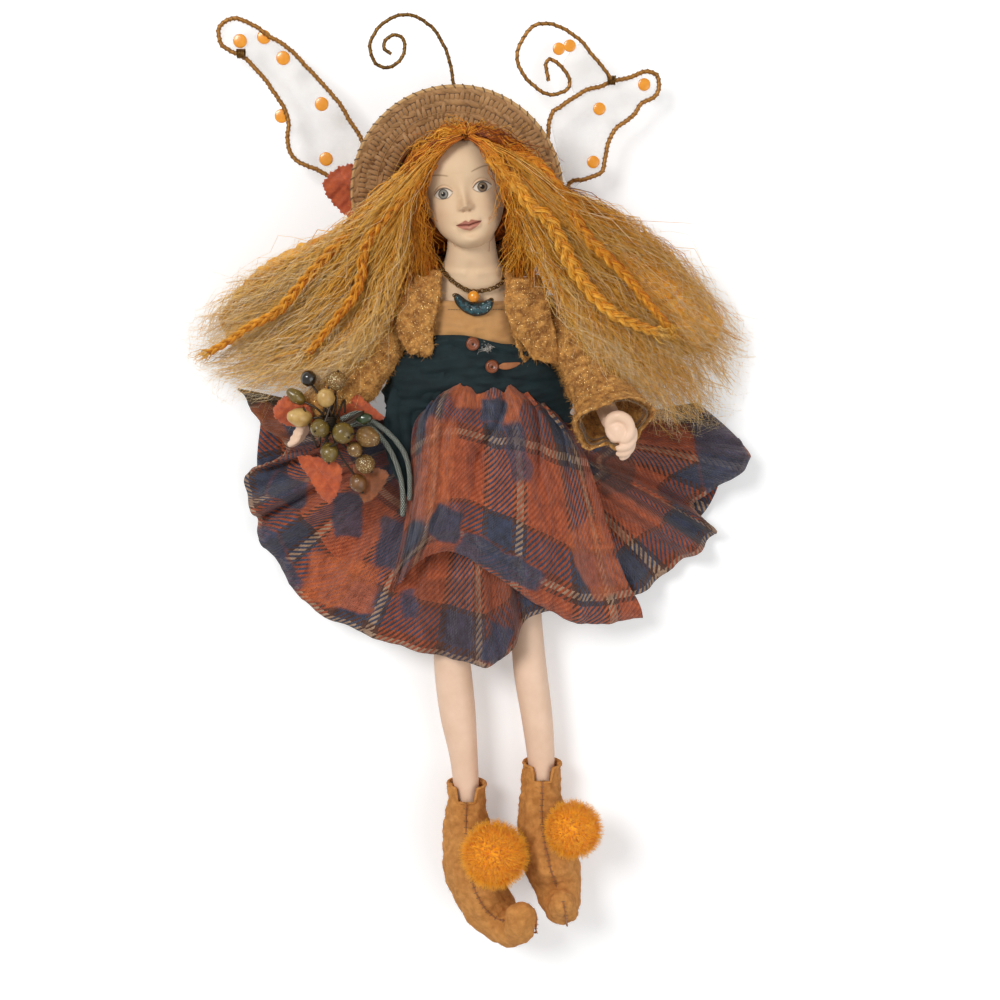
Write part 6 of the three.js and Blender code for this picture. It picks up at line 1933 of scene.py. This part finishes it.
def buildFlap(side):
    inner, outer = [spline(seenPath(edge), 70) for edge in flaps[side]]
    u = np.linspace(0, 1, 40)[None, :, None]
    grid = inner[:, None, :] * (1 - u) + outer[:, None, :] * u
    down = np.linspace(0, 1, 70)[:, None]
    round_ = np.sin(math.pi * u[..., 0]) ** 0.6
    grid[..., 2] += round_ * (1.1 + 0.5 * cloudAt(grid[..., 0], grid[..., 1], 0, 6, 5)) - 0.9 * (1
            - np.sin(math.pi * down) ** 0.4)
    piece = knitted(shell("jacketFlap" + side.title(), grid, 1.6, materials["knit"]), 14)
    hairs = fuzz(piece, piece.name + "Fuzz", knit["fibres"] * 1.4, knit["length"], knit["radius"],
            materials["knitFibre"], 1.1, 3)
    place(piece, "torso", "gold_knit")
    place(hairs, "torso", "gold_knit")


def buildJacket():
    for node in ("jacket_back", "jacket_front_right", "jacket_front_left", "jacket_knot"):
        piece = knitted(softCopy(node, "knit" + node.replace("jacket", "").title().replace("_", ""),
                materials["knit"], 0.0009 if node == "jacket_back" else 0.0005, 6, 0.0001), 3)
        hairs = fuzz(piece, piece.name + "Fuzz", knit["fibres"] * (0.5 if node == "jacket_back" else 1.2),
                knit["length"], knit["radius"], materials["knitFibre"], 1.1, 9)
        place(piece, "torso", "gold_knit", node)
        place(hairs, "torso", "gold_knit")
    for side in ("right", "left"):
        buildFlap(side)
        buildSleeve(side)
        place(softCopy("upper_arm_" + side, "stuffedArm" + side.title(), materials["cotton"]),
                "arm_" + side, "stuffed_cotton", "upper_arm_" + side)


buildJacket()
print("jacket and sleeves ready")


# Stuffed body and legs, then resin hands and shins

def fingers(name, parts, material, voxel=0.00032):  # tapered round limbs melted into one casting
    made = []
    for points in parts:
        s = spline(points, 14 + 6 * len(points))
        ends = np.sqrt(np.clip(1 - (1 - np.minimum(np.linspace(0, 1, len(s)) * 9, 1)) ** 2, 0.05,
                1)) * np.sqrt(np.clip(1 - (1 - np.minimum(np.linspace(1, 0, len(s)) * 6, 1)) ** 2, 0.02, 1))
        depth = s[:, 4] if s.shape[1] > 4 else s[:, 3]
        made.append(closedRings(ringsAlong(s[:, :3], s[:, 3] * ends, depth * ends, 20)))
    piece = joined(name, made, material)
    remesh(piece, voxel, 5)
    return settled(piece, name, material)


def buildLimbs():
    place(softCopy("torso_body", "stuffedBody", materials["cotton"]), "torso", "stuffed_cotton",
            "torso_body")
    place(softCopy("lower_body", "stuffedHips", materials["cotton"]), "hips", "stuffed_cotton",
            "lower_body")
    shins = {
        "right": [(-10.1, -38, 12, 4.9, 4.9), (-9.8, -43, 12, 5.3, 5.2), (-9.6, -48, 12, 5.4, 5.4),
            (-8.7, -60, 12, 6, 6.2), (-7.2, -74, 12, 5.8, 6), (-5.4, -88, 12, 4.6, 4.8),
            (-4.6, -99, 12, 4.2, 4.3), (-4.6, -108, 12, 4.2, 4.3)],
        "left": [(14.8, -38, 12, 4.9, 4.9), (15.0, -43, 12, 5.1, 5.1), (15.3, -48, 12, 5.2, 5.2),
            (16.4, -60, 12, 5.4, 5.8), (18.4, -74, 12, 5.1, 5.6), (19.7, -86, 12, 4.6, 4.8),
            (20, -92, 12, 4.3, 4.3), (20, -101, 12, 4.3, 4.3)],
    }
    for side in ("right", "left"):
        place(softCopy("upper_leg_" + side, "stuffedLeg" + side.title(), materials["cotton"]),
                "leg_" + side, "stuffed_cotton", "upper_leg_" + side)
        knee = sphereRings(shins[side][0][:3], (5.2, 5.2, 5.2), 20, 40)
        s = spline(shins[side], 90)
        shin = closedRings(ringsAlong(s[:, :3], s[:, 3], s[:, 4], 56))
        leg = joined("resinShin" + side.title(), [closedRings(knee), shin], materials["resin"])
        place(leg, "shin_" + side, "resin_flesh", "lower_leg_" + side)
    palm = [[(-37.8, 37.5, 27.2, 3.4, 3.4), (-41, 34, 27.2, 3.1, 3.1), (-46.5, 28.4, 26.8, 2.8, 2.6),
            (-50.4, 25, 27, 3.4, 2.6), (-53, 22.8, 28.0, 3.5, 2.4)]]
    tips = [[(-52.4 + k * 1.1, 21.6 + k * 1.5, 28.4, 1.05), (-55.4 + k * 1.0, 19.6 + k * 1.7, 30, 1.1),
            (-56.6 + k * 0.9, 19.6 + k * 1.75, 32.8, 1.0), (-55 + k * 0.8, 20.6 + k * 1.7, 34.8, 0.85),
            (-53 + k * 0.8, 22 + k * 1.6, 35.0, 0.65)] for k in range(-1, 3)]
    thumb = [[(-49.6, 28.4, 28, 1.3), (-53, 28.6, 30.4, 1.25), (-55.4, 27, 33, 1.0),
            (-55.2, 25.6, 34.8, 0.7)]]
    hand = fingers("resinHandRight", palm + tips + thumb, materials["resin"])
    place(hand, "hand_right", "resin_flesh", "forearm_right")
    c = np.array([41.2, 24.2, 50.4])

    def by(*rows):
        return [tuple(c + (x, y, z)) + tuple(r) for x, y, z, *r in rows]

    fist = [
        [(34.5, 37.5, 36.3, 3.4, 3.4), (36.6, 33.6, 39.4, 3.2, 3.2), (39, 28.4, 45, 3.1, 3.1),
            (40.6, 25.6, 48.4, 3.6, 3.6)],
        by((-0.2, 2.0, -2.4, 3.9, 3.6), (0.4, 0.6, 0.4, 3.8, 3.6), (1.2, -3.2, 0.8, 3.2, 3.0)),
        by((-2.6, 0.4, 0.6, 1.35), (-2.4, 3.6, 1.8, 1.6), (0.0, 4.9, 2.7, 1.7), (2.6, 3.6, 3.0, 1.65),
            (3.6, 0.8, 3.0, 1.5), (2.6, -1.7, 3.4, 1.35), (0.8, -2.8, 3.5, 1.1)),
        by((4.2, 1.6, 0.6, 1.4), (4.4, -1.6, 1.6, 1.45), (3.0, -3.8, 2.6, 1.35), (0.6, -4.6, 2.9, 1.15),
            (-0.8, -4.2, 2.6, 0.9)),
        by((4.0, -0.8, -0.4, 1.4), (4.0, -4.2, 0.6, 1.4), (2.6, -6.0, 1.6, 1.3), (0.4, -6.4, 1.8, 1.05),
            (-0.6, -6.0, 1.6, 0.85)),
        by((3.2, -3.0, -1.4, 1.3), (3.0, -6.4, -0.6, 1.25), (1.6, -7.6, 0.4, 1.1), (0.4, -7.6, 0.6, 0.9)),
        by((-2.8, 1.8, 0.4, 1.3), (-2.2, -0.6, 1.8, 1.25), (-0.8, -1.9, 2.6, 1.1), (0.2, -2.2, 2.9, 0.8)),
    ]
    place(fingers("resinHandLeft", fist, materials["resin"]), "hand_left", "resin_flesh", "forearm_left")


buildLimbs()
print("limbs ready")


# Felt boots with curled toes and fur pompoms

boots = {
    "right": [(-4.4, -97.5, 12, 6.2, 6.5), (-4.6, -105, 12, 6.5, 7.2), (-4.4, -113, 12.6, 7.6, 9.2),
        (-3.6, -121, 13, 8.6, 12.4), (-1.8, -129, 13.6, 9, 12.4), (1.4, -136.2, 14.6, 8.6, 10.8),
        (5, -141, 16.6, 7.8, 9), (9, -143.4, 20.6, 6.4, 6.6), (12, -142, 25.6, 5.3, 5),
        (13.4, -138, 28.8, 5.2, 4.8), (13, -134, 29.2, 4.6, 4), (12.6, -132, 28.2, 2, 1.8)],
    "left": [(20.3, -90.5, 12, 6.1, 6.4), (20.1, -98, 12, 6.3, 7.2), (19.9, -106, 12.6, 7.2, 9.4),
        (20.9, -114, 13, 8.6, 12.4), (22.7, -122, 13.8, 8.8, 12.6), (24.8, -128.8, 15, 8.2, 10.6),
        (25.8, -133.2, 17.4, 7.2, 8.6), (26.5, -135.5, 21.4, 5.9, 6.2), (26.7, -134.6, 26.2, 4.6, 4.6),
        (26.4, -131.6, 29.6, 3.9, 3.8), (26, -128.8, 30.2, 3.3, 3.1), (25.8, -127.4, 29.6, 1.5, 1.3)],
    "notch": 4.6, "wall": 1.0, "crumple": 0.4, "stitch": 1.9, "fuzz": 0.65e6,
}
pompoms = {"right": (4.8, -115.4, 29.5, 10.4), "left": (30, -108, 26.4, 9), "density": 5.8e6, "core": 0.84,
        "fibre": 0.25}


def buildBoot(side):
    sides, steps = 80, 120
    s = spline(boots[side], steps)
    along, across, rise = carried(s[:, :3], (1, 0, 0))
    turn = roundTurn(sides)
    where = np.linspace(0, 1, steps)

    def ring(k, inset):
        wide, deep = (s[k, 3] - inset)[:, None], (s[k, 4] - inset)[:, None]
        return ringsRound(s[k, :3], across[k], rise[k], wide, deep, turn)

    top = rise[0][2]
    front = smooth((0.62 - np.abs(np.angle(
            np.exp(1j * (turn - (math.pi / 2 if top > 0 else -math.pi / 2)))))) / 0.16)
    rings = ring(np.arange(steps), np.zeros(steps))
    dip = boots["notch"] * front[None, :] * np.maximum(1 - where[:, None] * 7, 0)
    rings = rings + along[0] * dip[..., None]
    inside = ring(np.arange(16)[::-1],
            np.full(16, boots["wall"])) + along[0] * (boots["notch"] * front[None, :] * np.maximum(1
            - where[:16][::-1][:, None] * 7, 0))[..., None]
    rings = np.concatenate([inside, rings])
    points, faces = closedRings(rings)
    boot = newMesh("feltBoot" + side.title(), points, faces, materials["felt"])
    p, n = pointsOf(boot), normalsOf(boot)
    crease = 0.5 * np.sin((p[:, 1] + 0.5 * p[:, 0]) * 1.5 + 2 * ripple(p, 9, 4)) * bell(p[:, 1]
            - s[int(steps * 0.18), 1], 6)
    out = boots["crumple"] * ripple(p, 7, 3 + len(side)) + 0.15 * ripple(p, 2.2, 8) + 0.35 * crease
    p = p + n * out[:, None]
    p[:, 2] = np.maximum(p[:, 2], 0.15)
    setPoints(boot, p)
    hairs = fuzz(boot, "bootFuzz" + side.title(), boots["fuzz"], 0.8, 0.03, materials["felt"], 1.2, 4)
    place(boot, "shin_" + side, "boot_felt", "boot_" + side)
    place(hairs, "shin_" + side, "boot_felt")
    down = []
    for k in range(7, int(steps * 0.97), 3):  # a seam runs from the notch over the instep to the toe
        up = np.array([0, 0, 1.0])
        out = rise[k] * (1 if rise[k].dot(up) > 0 else -1)
        down.append(s[k, :3] + out * (s[k, 4] + 0.25))
    seam = spline(np.array(down), 120)
    placeStrands("bootSeam" + side.title(), [seam], 0.28, "leather", 6, "shin_" + side, "boot_felt")
    count = int(lengthOf(seam) / boots["stitch"])
    t = spline(seam, count)
    way = directions(t)
    cross = np.cross(way, (0, 0, 1.0))
    dashes = [np.array([q - c * 0.7 + (0, 0, 0.05), q + (0, 0, 0.28), q + c * 0.7 + (0, 0, 0.05)])
            for q, c in zip(t, cross)]
    placeStrands("bootStitches" + side.title(), dashes, 0.11, "lining", 5, "shin_" + side, "boot_felt")
    edge = rings[16]
    placeStrands("bootRim" + side.title(), [np.vstack([edge, edge[:1]])], 0.5, "felt", 7, "shin_" + side,
            "boot_felt")


def buildPompom(side):
    x, y, z, r = pompoms[side]
    points, faces = closedRings(sphereRings((x, y, z), (r * pompoms["core"],) * 3, 30, 40))
    core = newMesh("pompomCore" + side.title(), points, faces, materials["fur"])
    hairs = fuzz(core, "pompomFur" + side.title(), pompoms["density"], r * pompoms["fibre"], 0.075,
            materials["fur"], 0.7, 3)
    place(core, "shin_" + side, "orange_fur", "pompom_" + side)
    place(hairs, "shin_" + side, "orange_fur")


for side in ("right", "left"):
    buildBoot(side)
    buildPompom(side)
print("boots and pompoms ready")


# Checked skirt: a back panel, a front panel over it and a gathered fold raised in the lap

skirt = {"hemHeight": 10.0, "lapHeight": 17.0, "lapMiddle": 4.0, "lapWidth": 34.0, "foldDepth": 4.6,
        "folds": 11, "thick": 0.7, "crinkle": 0.26}
frontHem = [(-77, 31.5), (-69, 21), (-61, 13), (-75.5, 3.4), (-72, -8.5), (-70, -17.5), (-57, -36),
        (-35, -46.6), (-13, -51.6), (2.2, -54), (10.5, -48.5), (17, -38), (38.5, -36), (54, -32),
        (67.5, -22), (76, -14), (69, -5), (85, 8), (82.5, 16), (69.5, 27.5)]
backHem = [(-70, 24), (-72, 4), (-66, -14), (-48, -24), (-24, -28.5), (2, -29.5), (28, -28.5), (52, -24),
        (70, -12), (78, 4), (74, 22)]
drapeRows = [
    [(444, 396, 29), (452, 382, 33), (468, 376, 36), (484, 383, 34.5), (500, 377, 36), (517, 385, 35),
        (532, 394, 32), (546, 400, 29)],
    [(414, 424, 30), (428, 414, 36), (452, 404, 39), (479, 408, 36.5), (506, 404, 38.5), (532, 415, 36),
        (560, 432, 32), (584, 452, 27)],
    [(410, 486, 28), (424, 474, 36), (450, 462, 40), (481, 466, 37.5), (512, 470, 39), (544, 484, 36),
        (578, 506, 31), (607, 524, 25)],
    [(402, 536, 25), (418, 526, 34), (446, 514, 39), (480, 524, 37.5), (512, 536, 37.5), (548, 550, 34),
        (590, 568, 28), (624, 574, 22)],
    [(392, 580, 21), (413, 556, 31), (438, 540, 36), (466, 545, 35), (500, 566, 34), (536, 592, 31),
        (586, 610, 25), (640, 606, 17)],
    [(385, 601, 18), (408, 572, 28), (434, 553, 33), (463, 556, 32), (497, 577, 31), (530, 600, 28),
        (582, 624, 21), (643, 618, 13.5)],
]


# Plain areas of the cloth as they are seen, one of them painted shade: middle and half size in pixels, turn
# in degrees, colour, share
frontAreas = [
    (265, 392, 27, 19, -25, "net", 0.9), (262, 428, 20, 24, -30, "plain", 0.85),
    (288, 490, 20, 15, 20, "slate", 0.9), (276, 560, 14, 40, -32, "slate", 0.85),
    (348, 515, 17, 24, 0, "slate", 0.85), (341, 583, 36, 26, 12, "orange", 0.7),
    (390, 545, 15, 27, 10, "slate", 0.85), (424, 603, 26, 17, 0, "slate", 0.8),
    # the brown area at 470, 618 is painted shadow under the lap fold
    (470, 618, 50, 42, -8, "brown", 0.35), (497, 645, 13, 22, 20, "slate", 0.9),
    (722, 452, 26, 42, -12, "slate", 0.85), (618, 470, 18, 24, 0, "brown", 0.6),
]
drapeAreas = [
    (470, 394, 19, 15, 0, "orange", 0.85), (511, 402, 11, 24, 0, "orange", 0.85),
    (436, 470, 17, 56, 8, "orange", 0.6), (493, 411, 13, 12, 8, "slate", 0.8),
    (518, 452, 11, 34, -12, "slate", 0.7), (446, 524, 17, 18, 20, "slate", 0.9),
    (500, 562, 50, 13, 27, "slate", 0.9), (596, 560, 20, 40, -25, "orange", 0.6),
]


# across at the top and halfway, depth in mm
drapeValleys = [(0.54, 0.36, 3.4), (0.72, 0.62, 3.0), (0.86, 0.8, 2.2), (0.3, 0.2, 2.0)]


def pixelsOf(p):  # where the camera sees each point
    c = cameraPlace
    lean = math.radians(c["lean"])
    dx, dy, dz = p[..., 0] - c["x"], p[..., 1] - c["y"], p[..., 2] - c["z"]
    away = -dz * math.cos(lean) - dy * math.sin(lean)
    rise = dy * math.cos(lean) - dz * math.sin(lean)
    return 500 + c["focal"] * dx / away, 500 - c["focal"] * rise / away


def patchesOn(grid, areas):
    px, py = pixelsOf(grid)
    px = px + 1.5 * cloudAt(px, py, 0, 24, 4)
    py = py + 1.5 * cloudAt(px, py, 9, 24, 5)
    colour = np.ones(grid.shape[:2] + (3,)) * rgb(plaid["rust"])[:3]
    share = np.zeros(grid.shape[:2])
    for x, y, wide, high, turn, key, amount in areas:
        a = math.radians(turn)
        u = ((px - x) * math.cos(a) + (py - y) * math.sin(a)) / wide
        v = (-(px - x) * math.sin(a) + (py - y) * math.cos(a)) / high
        inside = smooth((1.04 - (np.abs(u) ** 9 + np.abs(v) ** 9) ** (1 / 9)) * min(wide, high) / 2.5)
        colour = colour * (1 - inside[..., None]) + np.array(rgb(plaid[key])[:3]) * inside[..., None]
        share = share * (1 - inside) + amount * inside
    return {"patch": colour, "patchShare": share}


def hemAt(points, u):
    p = np.column_stack([np.asarray(points, float), np.zeros(len(points))])[:, :2]
    p = np.vstack([2 * p[0] - p[1], p, 2 * p[-1] - p[-2]])
    t = np.clip(u, 0, 1) * (len(points) - 1)
    i = np.minimum(t.astype(int), len(points) - 2)
    f = (t - i)[..., None]
    a, b, c, d = p[i], p[i + 1], p[i + 2], p[i + 3]
    return 0.5 * (2 * b + (c - a) * f + (2 * a - 5 * b + 4 * c - d) * f ** 2
            + (3 * b - a - 3 * c + d) * f ** 3)


def skirtBody(piece, node):
    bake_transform(piece)
    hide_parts(node)


def arcs(grid):  # distance along the hem and down the cloth at each point, in mm
    hem = np.concatenate([[0], np.cumsum(np.linalg.norm(np.diff(grid[-1], axis=0), axis=1))])
    drop = np.cumsum(np.linalg.norm(np.diff(grid, axis=0, prepend=grid[:1]), axis=2).mean(axis=1))
    return np.stack(np.broadcast_arrays(hem[None, :], drop[:, None]), axis=-1)


def crinkleAt(uv, seed):  # fine creases, long down the cloth and short across it
    fine = cloudAt(uv[..., 0], uv[..., 1] * 0.2, 0, 2.6, seed)
    return fine + 1.2 * cloudAt(uv[..., 0], uv[..., 1] * 0.5, 0, 6, seed + 1)


def buildFront():
    rows, cols = 76, 300
    s = np.linspace(0, 1, rows)[:, None]
    u = np.linspace(0, 1, cols)[None, :]
    side = 2 * u - 1
    waistX = 1 + 20.5 * np.sin(side * 1.45)
    waistY = 20 + side ** 2
    waistZ = frontOf(waistX, 21, 2.3) - 2.4 * side ** 4
    hem = hemAt(frontHem, u)
    x = waistX * (1 - s) + hem[..., 0] * s
    y = waistY * (1 - s) + hem[..., 1] * s
    share = np.exp(-((x - skirt["lapMiddle"]) / skirt["lapWidth"]) ** 2)
    depth = skirt["foldDepth"] * (0.35 + 0.65 * (1 - share)) * smooth(s)
    bend = 0.035 * np.sin(u * 23 + 1) * s
    fold = np.cos(skirt["folds"] * 2 * math.pi * (u + bend))
    sharp = np.sign(fold) * np.abs(fold) ** 0.8 + 0.35 * np.cos(skirt["folds"] * 5.3 * math.pi * u + 1.3)
    rest = skirt["hemHeight"] + skirt["lapHeight"] * share + depth * sharp * 0.9
    z = waistZ + (rest - waistZ) * smooth(np.minimum(1, s * 1.6))
    grid = np.stack(np.broadcast_arrays(x, y, z), axis=-1)
    uv = arcs(grid)
    fine = crinkleAt(uv, 7)
    grid[..., 2] += skirt["crinkle"] * (0.4 + s) * fine
    roll = smooth((s - 0.965) / 0.035)
    grid[..., 2] -= 1.0 * roll
    grid[..., 2] = np.maximum(grid[..., 2], 3.6)
    piece = shell("skirtFrontCloth", grid, skirt["thick"], materials["tartan"], uv,
            patchesOn(grid, frontAreas))
    skirtBody(piece, "skirt_front")


def buildDrape():
    rows, cols = 84, 210
    control = np.array([[seen(*p) for p in row] for row in drapeRows])
    byRow = np.array([spline(row, cols) for row in control])
    grid = np.stack([spline(byRow[:, c], rows) for c in range(cols)], axis=1)
    u = np.linspace(0, 1, cols)[None, :]
    s = np.linspace(0, 1, rows)[:, None]
    wander = u + 0.03 * np.sin(s * 5 + u * 9)
    gather = np.cos(wander * 2 * math.pi * 6.5 + 0.6) + 0.35 * smooth(s * 5) * np.cos(wander * 2 * math.pi
            * 15 + 2)
    grid[..., 2] += gather * (1.0 * np.exp(-s * 3.5) + 0.5 + 0.9 * smooth(s) * np.sin(math.pi * u)) * 0.8
    for top, low, deep in drapeValleys:
        middle = top + (low - top) * smooth(s / 0.5)
        grid[..., 2] -= deep * np.exp(-((u - middle) / 0.022) ** 2) * (1 - smooth((s - 0.3) / 0.35))
    uv = arcs(grid) + (9, 4)
    grid[..., 2] -= 4.0 * (1 - smooth(s / 0.1))
    grid[..., 2] += skirt["crinkle"] * crinkleAt(uv, 17)
    piece = shell("skirtDrapeCloth", grid, skirt["thick"], materials["tartan"], uv,
            patchesOn(grid, drapeAreas))
    skirtBody(piece, "skirt_drape")


def buildBack():
    rows, cols = 46, 200
    t = np.linspace(0, 1, rows)[:, None]
    s = t ** 1.7
    u = np.linspace(0, 1, cols)[None, :]
    side = 2 * u - 1
    waistX = 1 + 19.6 * np.sin(side * 1.45)
    waistY = 19.5 + side ** 2
    order = trunk[::-1]
    waistZ = 2 * np.interp(21, order[:, 1], order[:, 2]) - frontOf(waistX, 21, 1.1) - 0.6 * side ** 4
    hem = hemAt(backHem, u)
    x = waistX * (1 - s) + hem[..., 0] * s
    y = waistY * (1 - s) + hem[..., 1] * s
    fold = 0.9 * smooth(s) * np.cos(12 * math.pi * u)
    z = waistZ + (2.3 + fold - waistZ) * smooth(np.minimum(1, s * 4))
    grid = np.stack(np.broadcast_arrays(x, y, z), axis=-1)
    uv = arcs(grid)
    grid[..., 2] += 0.15 * cloudAt(uv[..., 0], uv[..., 1] * 0.3, 0, 4, 5)
    grid[..., 2] = np.maximum(grid[..., 2], 0.9)
    piece = shell("skirtBackCloth", grid, skirt["thick"], materials["tartan"], uv=uv)
    skirtBody(piece, "skirt_back")


buildFront()
buildDrape()
buildBack()
print("skirt ready")


# Berries, pods, leaves and braided cords

bunch = {"tie": (-45, 25, 38.2), "stem": 0.34, "leafThick": 0.45}
berries = {  # place, radius, stretch, material
    "black": ((-51, 38.5, 38), 2.5, (1, 1, 1), "berryBlack"),
    "acorn": ((-42.5, 38, 40), 3, (1, 1, 0.9), "berryAcorn"),
    "cream": ((-45.6, 33, 41.4), 2.8, (1.1, 1, 1), "berryCream"),
    "small": ((-55, 33, 37.5), 2.2, (0.9, 1.5, 0.9), "berryOlive"),
    "pale": ((-53.6, 27, 40.5), 3, (1.35, 0.8, 0.9), "berryCream"),
    "olive": ((-47.5, 24, 42.6), 2.9, (1, 1.1, 1), "berryOlive"),
    "round": ((-40.6, 22.6, 42.2), 3.3, (1, 1, 1), "berryOlive"),
    "low": ((-45, 16.4, 40.5), 2.8, (1, 1.15, 1), "berryOlive"),
    "ribbed": ((-33.4, 21, 39.6), 3.1, (1, 1.25, 0.9), "berryTan"),
    "tan": ((-37.4, 17.2, 39.6), 2.3, (1, 1.1, 1), "berryTan"),
    "glitter": ((-34.4, 12.6, 38.4), 3, (1, 1, 1), "berryAcorn"),
    "brown": ((-36.6, 6.6, 37.6), 2.7, (1, 1.1, 1), "berryBrown"),
    "green": ((-34.6, 26.6, 39.4), 1.9, (1.5, 1, 1), "berryGreen"),
}
leaves = {
    "leaf_upper": ([(-43, 36.4), (-39, 35), (-34, 31), (-28.6, 25.8), (-34, 25.6), (-42, 25.6)], 34.0,
        "leaf"),
    "leaf_lower": ([(-54.5, 14.4), (-49, 14.6), (-42, 12.4), (-42, 6), (-45.5, 0.5), (-50, 6)], 38.6,
        "leaf"),
    "leaf_side": ([(-38, 11.6), (-33, 11.4), (-27.5, 9.6), (-30, 4), (-34.5, 0.4), (-37, 5)], 36.6,
        "brownLeaf"),
    "leaf_back": ([(-62, 29), (-58, 33), (-52, 31), (-50, 25), (-56, 23.6), (-60, 25)], 36.2, "leaf"),
}
cords = {
    "cord_long": [(-41.9, 26, 37.2), (-36.4, 27.8, 36), (-32.4, 25.4, 36), (-28.6, 22.6, 35),
        (-25, 18.6, 33.4), (-22.4, 14, 32), (-21.4, 9, 31.4), (-21.2, 4, 31.2), (-21.4, 0, 31)],
    "cord_short": [(-41.9, 23.7, 37), (-34.4, 24.4, 35.6), (-30.4, 21, 35.2), (-27.6, 17, 33.6),
        (-25.8, 13, 32.2), (-24.4, 8.6, 31.4), (-23.6, 4, 31.2), (-23.4, -1, 31), (-23.6, -5, 30.8)],
    "diameter": 1.5,
}


def buildBunch():
    tie = np.array(bunch["tie"])
    byMaterial = {}
    stems = []
    for name, (where, r, stretch, material) in berries.items():
        middle = np.array(where, float)
        away = middle - tie + (0, 0, 2.5)
        turn = facing(away)
        ribs = (lambda a, z: 0.06 * np.cos(9 * a) + 0 * z) if name == "ribbed" else (
                lambda a, z: 0.02 * np.sin(3 * a + 2 * z))
        long = max(stretch)
        profile = [(0.12, -r * long), (r * 0.62, -r * long * 0.76), (r * 0.97, -r * 0.15),
                (r * 0.86, r * 0.5), (r * 0.45, r * long * 0.9), (0.1, r * long * 1.02)]
        byMaterial.setdefault(material, []).append(lathe(None, profile, middle, None, 32, turn, ribs))
        tip = middle - turn[:, 2] * r * 0.9
        bow = np.cross(turn[:, 2], (0, 0, 1)) * 1.2
        stems.append(spline([tie, (tie + tip) / 2 + bow + (0, 0, 0.8), tip], 16))
        if r > 2.6 and name not in ("pale", "cream"):
            end = middle + turn[:, 2] * r * long
            stems.append(np.array([end, end + turn[:, 2] * 0.5]))
    first = True
    for material, parts in byMaterial.items():
        piece = joined("berries" + material.replace("berry", ""), parts, materials[material])
        place(piece, "hand_right", "berry_gloss", *(["berry_bunch"] if first else []))
        first = False
    rng = np.random.default_rng(8)
    for _ in range(9):  # loose ends and loops of the thin wire
        a = tie + rng.normal(0, 1.5, 3) * (1, 1, 0.4)
        stems.append(spline([a, a + rng.normal(0, 3, 3) * (1, 1, 0.3) + (0, 1.5, 2),
                a + rng.normal(0, 5, 3) * (1, 1, 0.3) + (0, 3, 3)], 16))
    stems = [np.maximum(s, (-99, -99, 28)) for s in stems]
    placeStrands("berryStems", stems, bunch["stem"], "darkWire", 7, "hand_right", "bronze_wire")
    turns = np.linspace(0, 9 * 2 * math.pi, 160)
    knot = tie + np.stack([2.1 * np.cos(turns) * 0.9, np.linspace(-2.2, 2.2, 160), 1.5 * np.sin(turns)],
            axis=1)
    placeStrands("berryTie", [knot], 0.3, "darkWire", 6, "hand_right", "bronze_wire")
    for node, (outline, height, material) in leaves.items():
        addLeaf(node, outline, height, materials[material], "hand_right")


def addLeaf(node, outline, height, material, body):
    edge = closedOutline(outline, 120)
    centre = edge.mean(axis=0)
    jag = 1 + 0.035 * np.sin(np.arange(120) * 1.9) + 0.03 * np.sin(np.arange(120) * 0.8)
    edge = centre + (edge - centre) * jag[:, None]
    axis = np.linalg.svd(edge - centre)[2][0]

    def relief(p):
        q = p - centre
        a, b = q @ axis, q @ np.array([-axis[1], axis[0]])
        vein = -0.35 * bell(b, 0.3) - 0.2 * bell(np.mod(a + np.abs(b) * 0.9, 3.0) - 1.5, 0.28)
        return vein + 0.9 * np.abs(b) * 0.12 + 0.7 * cloudAt(p[:, 0], p[:, 1], 0, 9,
                3) + 0.3 * cloudAt(p[:, 0], p[:, 1], 0, 3, 9)

    leaf = panel(node.replace("leaf", "cloth").title().replace("_", "") + "Leaf", edge, height,
            bunch["leafThick"], 0.35, material, relief)
    place(leaf, body, "red_leaf_cloth", node)


def buildCords():
    for node in ("cord_long", "cord_short"):
        route = spline(cords[node], 150)
        r = cords["diameter"] / 2
        s = spline(route, 150)
        turn = roundTurn(20)
        along, side, rise = carried(s, (0, 0, 1))
        d = np.linspace(0, lengthOf(s), 150)[:, None]
        lobes = 1 + 0.09 * np.abs(np.sin(4 * turn[None, :] + d * 2.1)) - 0.04
        ends = np.sqrt(np.clip(1 - (1 - np.minimum(np.minimum(d, d[::-1]) / 0.6, 1)) ** 2, 0.1, 1))
        rings = s[:, None, :] + (side[:, None, :] * np.cos(turn)[None, :, None]
                + rise[:, None, :] * np.sin(turn)[None, :, None]) * (r * lobes * ends)[..., None]
        points, faces = closedRings(rings)
        uv = np.vstack([gridUv(np.abs(turn / math.pi - 1), d[:, 0]), [[0, 0], [0, 0]]])
        piece = newMesh("braided" + node.title().replace("_", ""), points, faces, materials["cord"], uv)
        place(piece, "hand_right", "dark_cord", node)


buildBunch()
buildCords()
hatLeaf = [(hatMiddle[0] + x, hatMiddle[1] + y) for x, y in ((-40.5, 3), (-36.5, 8), (-30.5, 9),
        (-25.5, 5), (-25.5, -3), (-30, -8), (-37, -3.4))]
addLeaf("hat_leaf", hatLeaf, 23.4, materials["leaf"], "torso")
print("bunch ready")
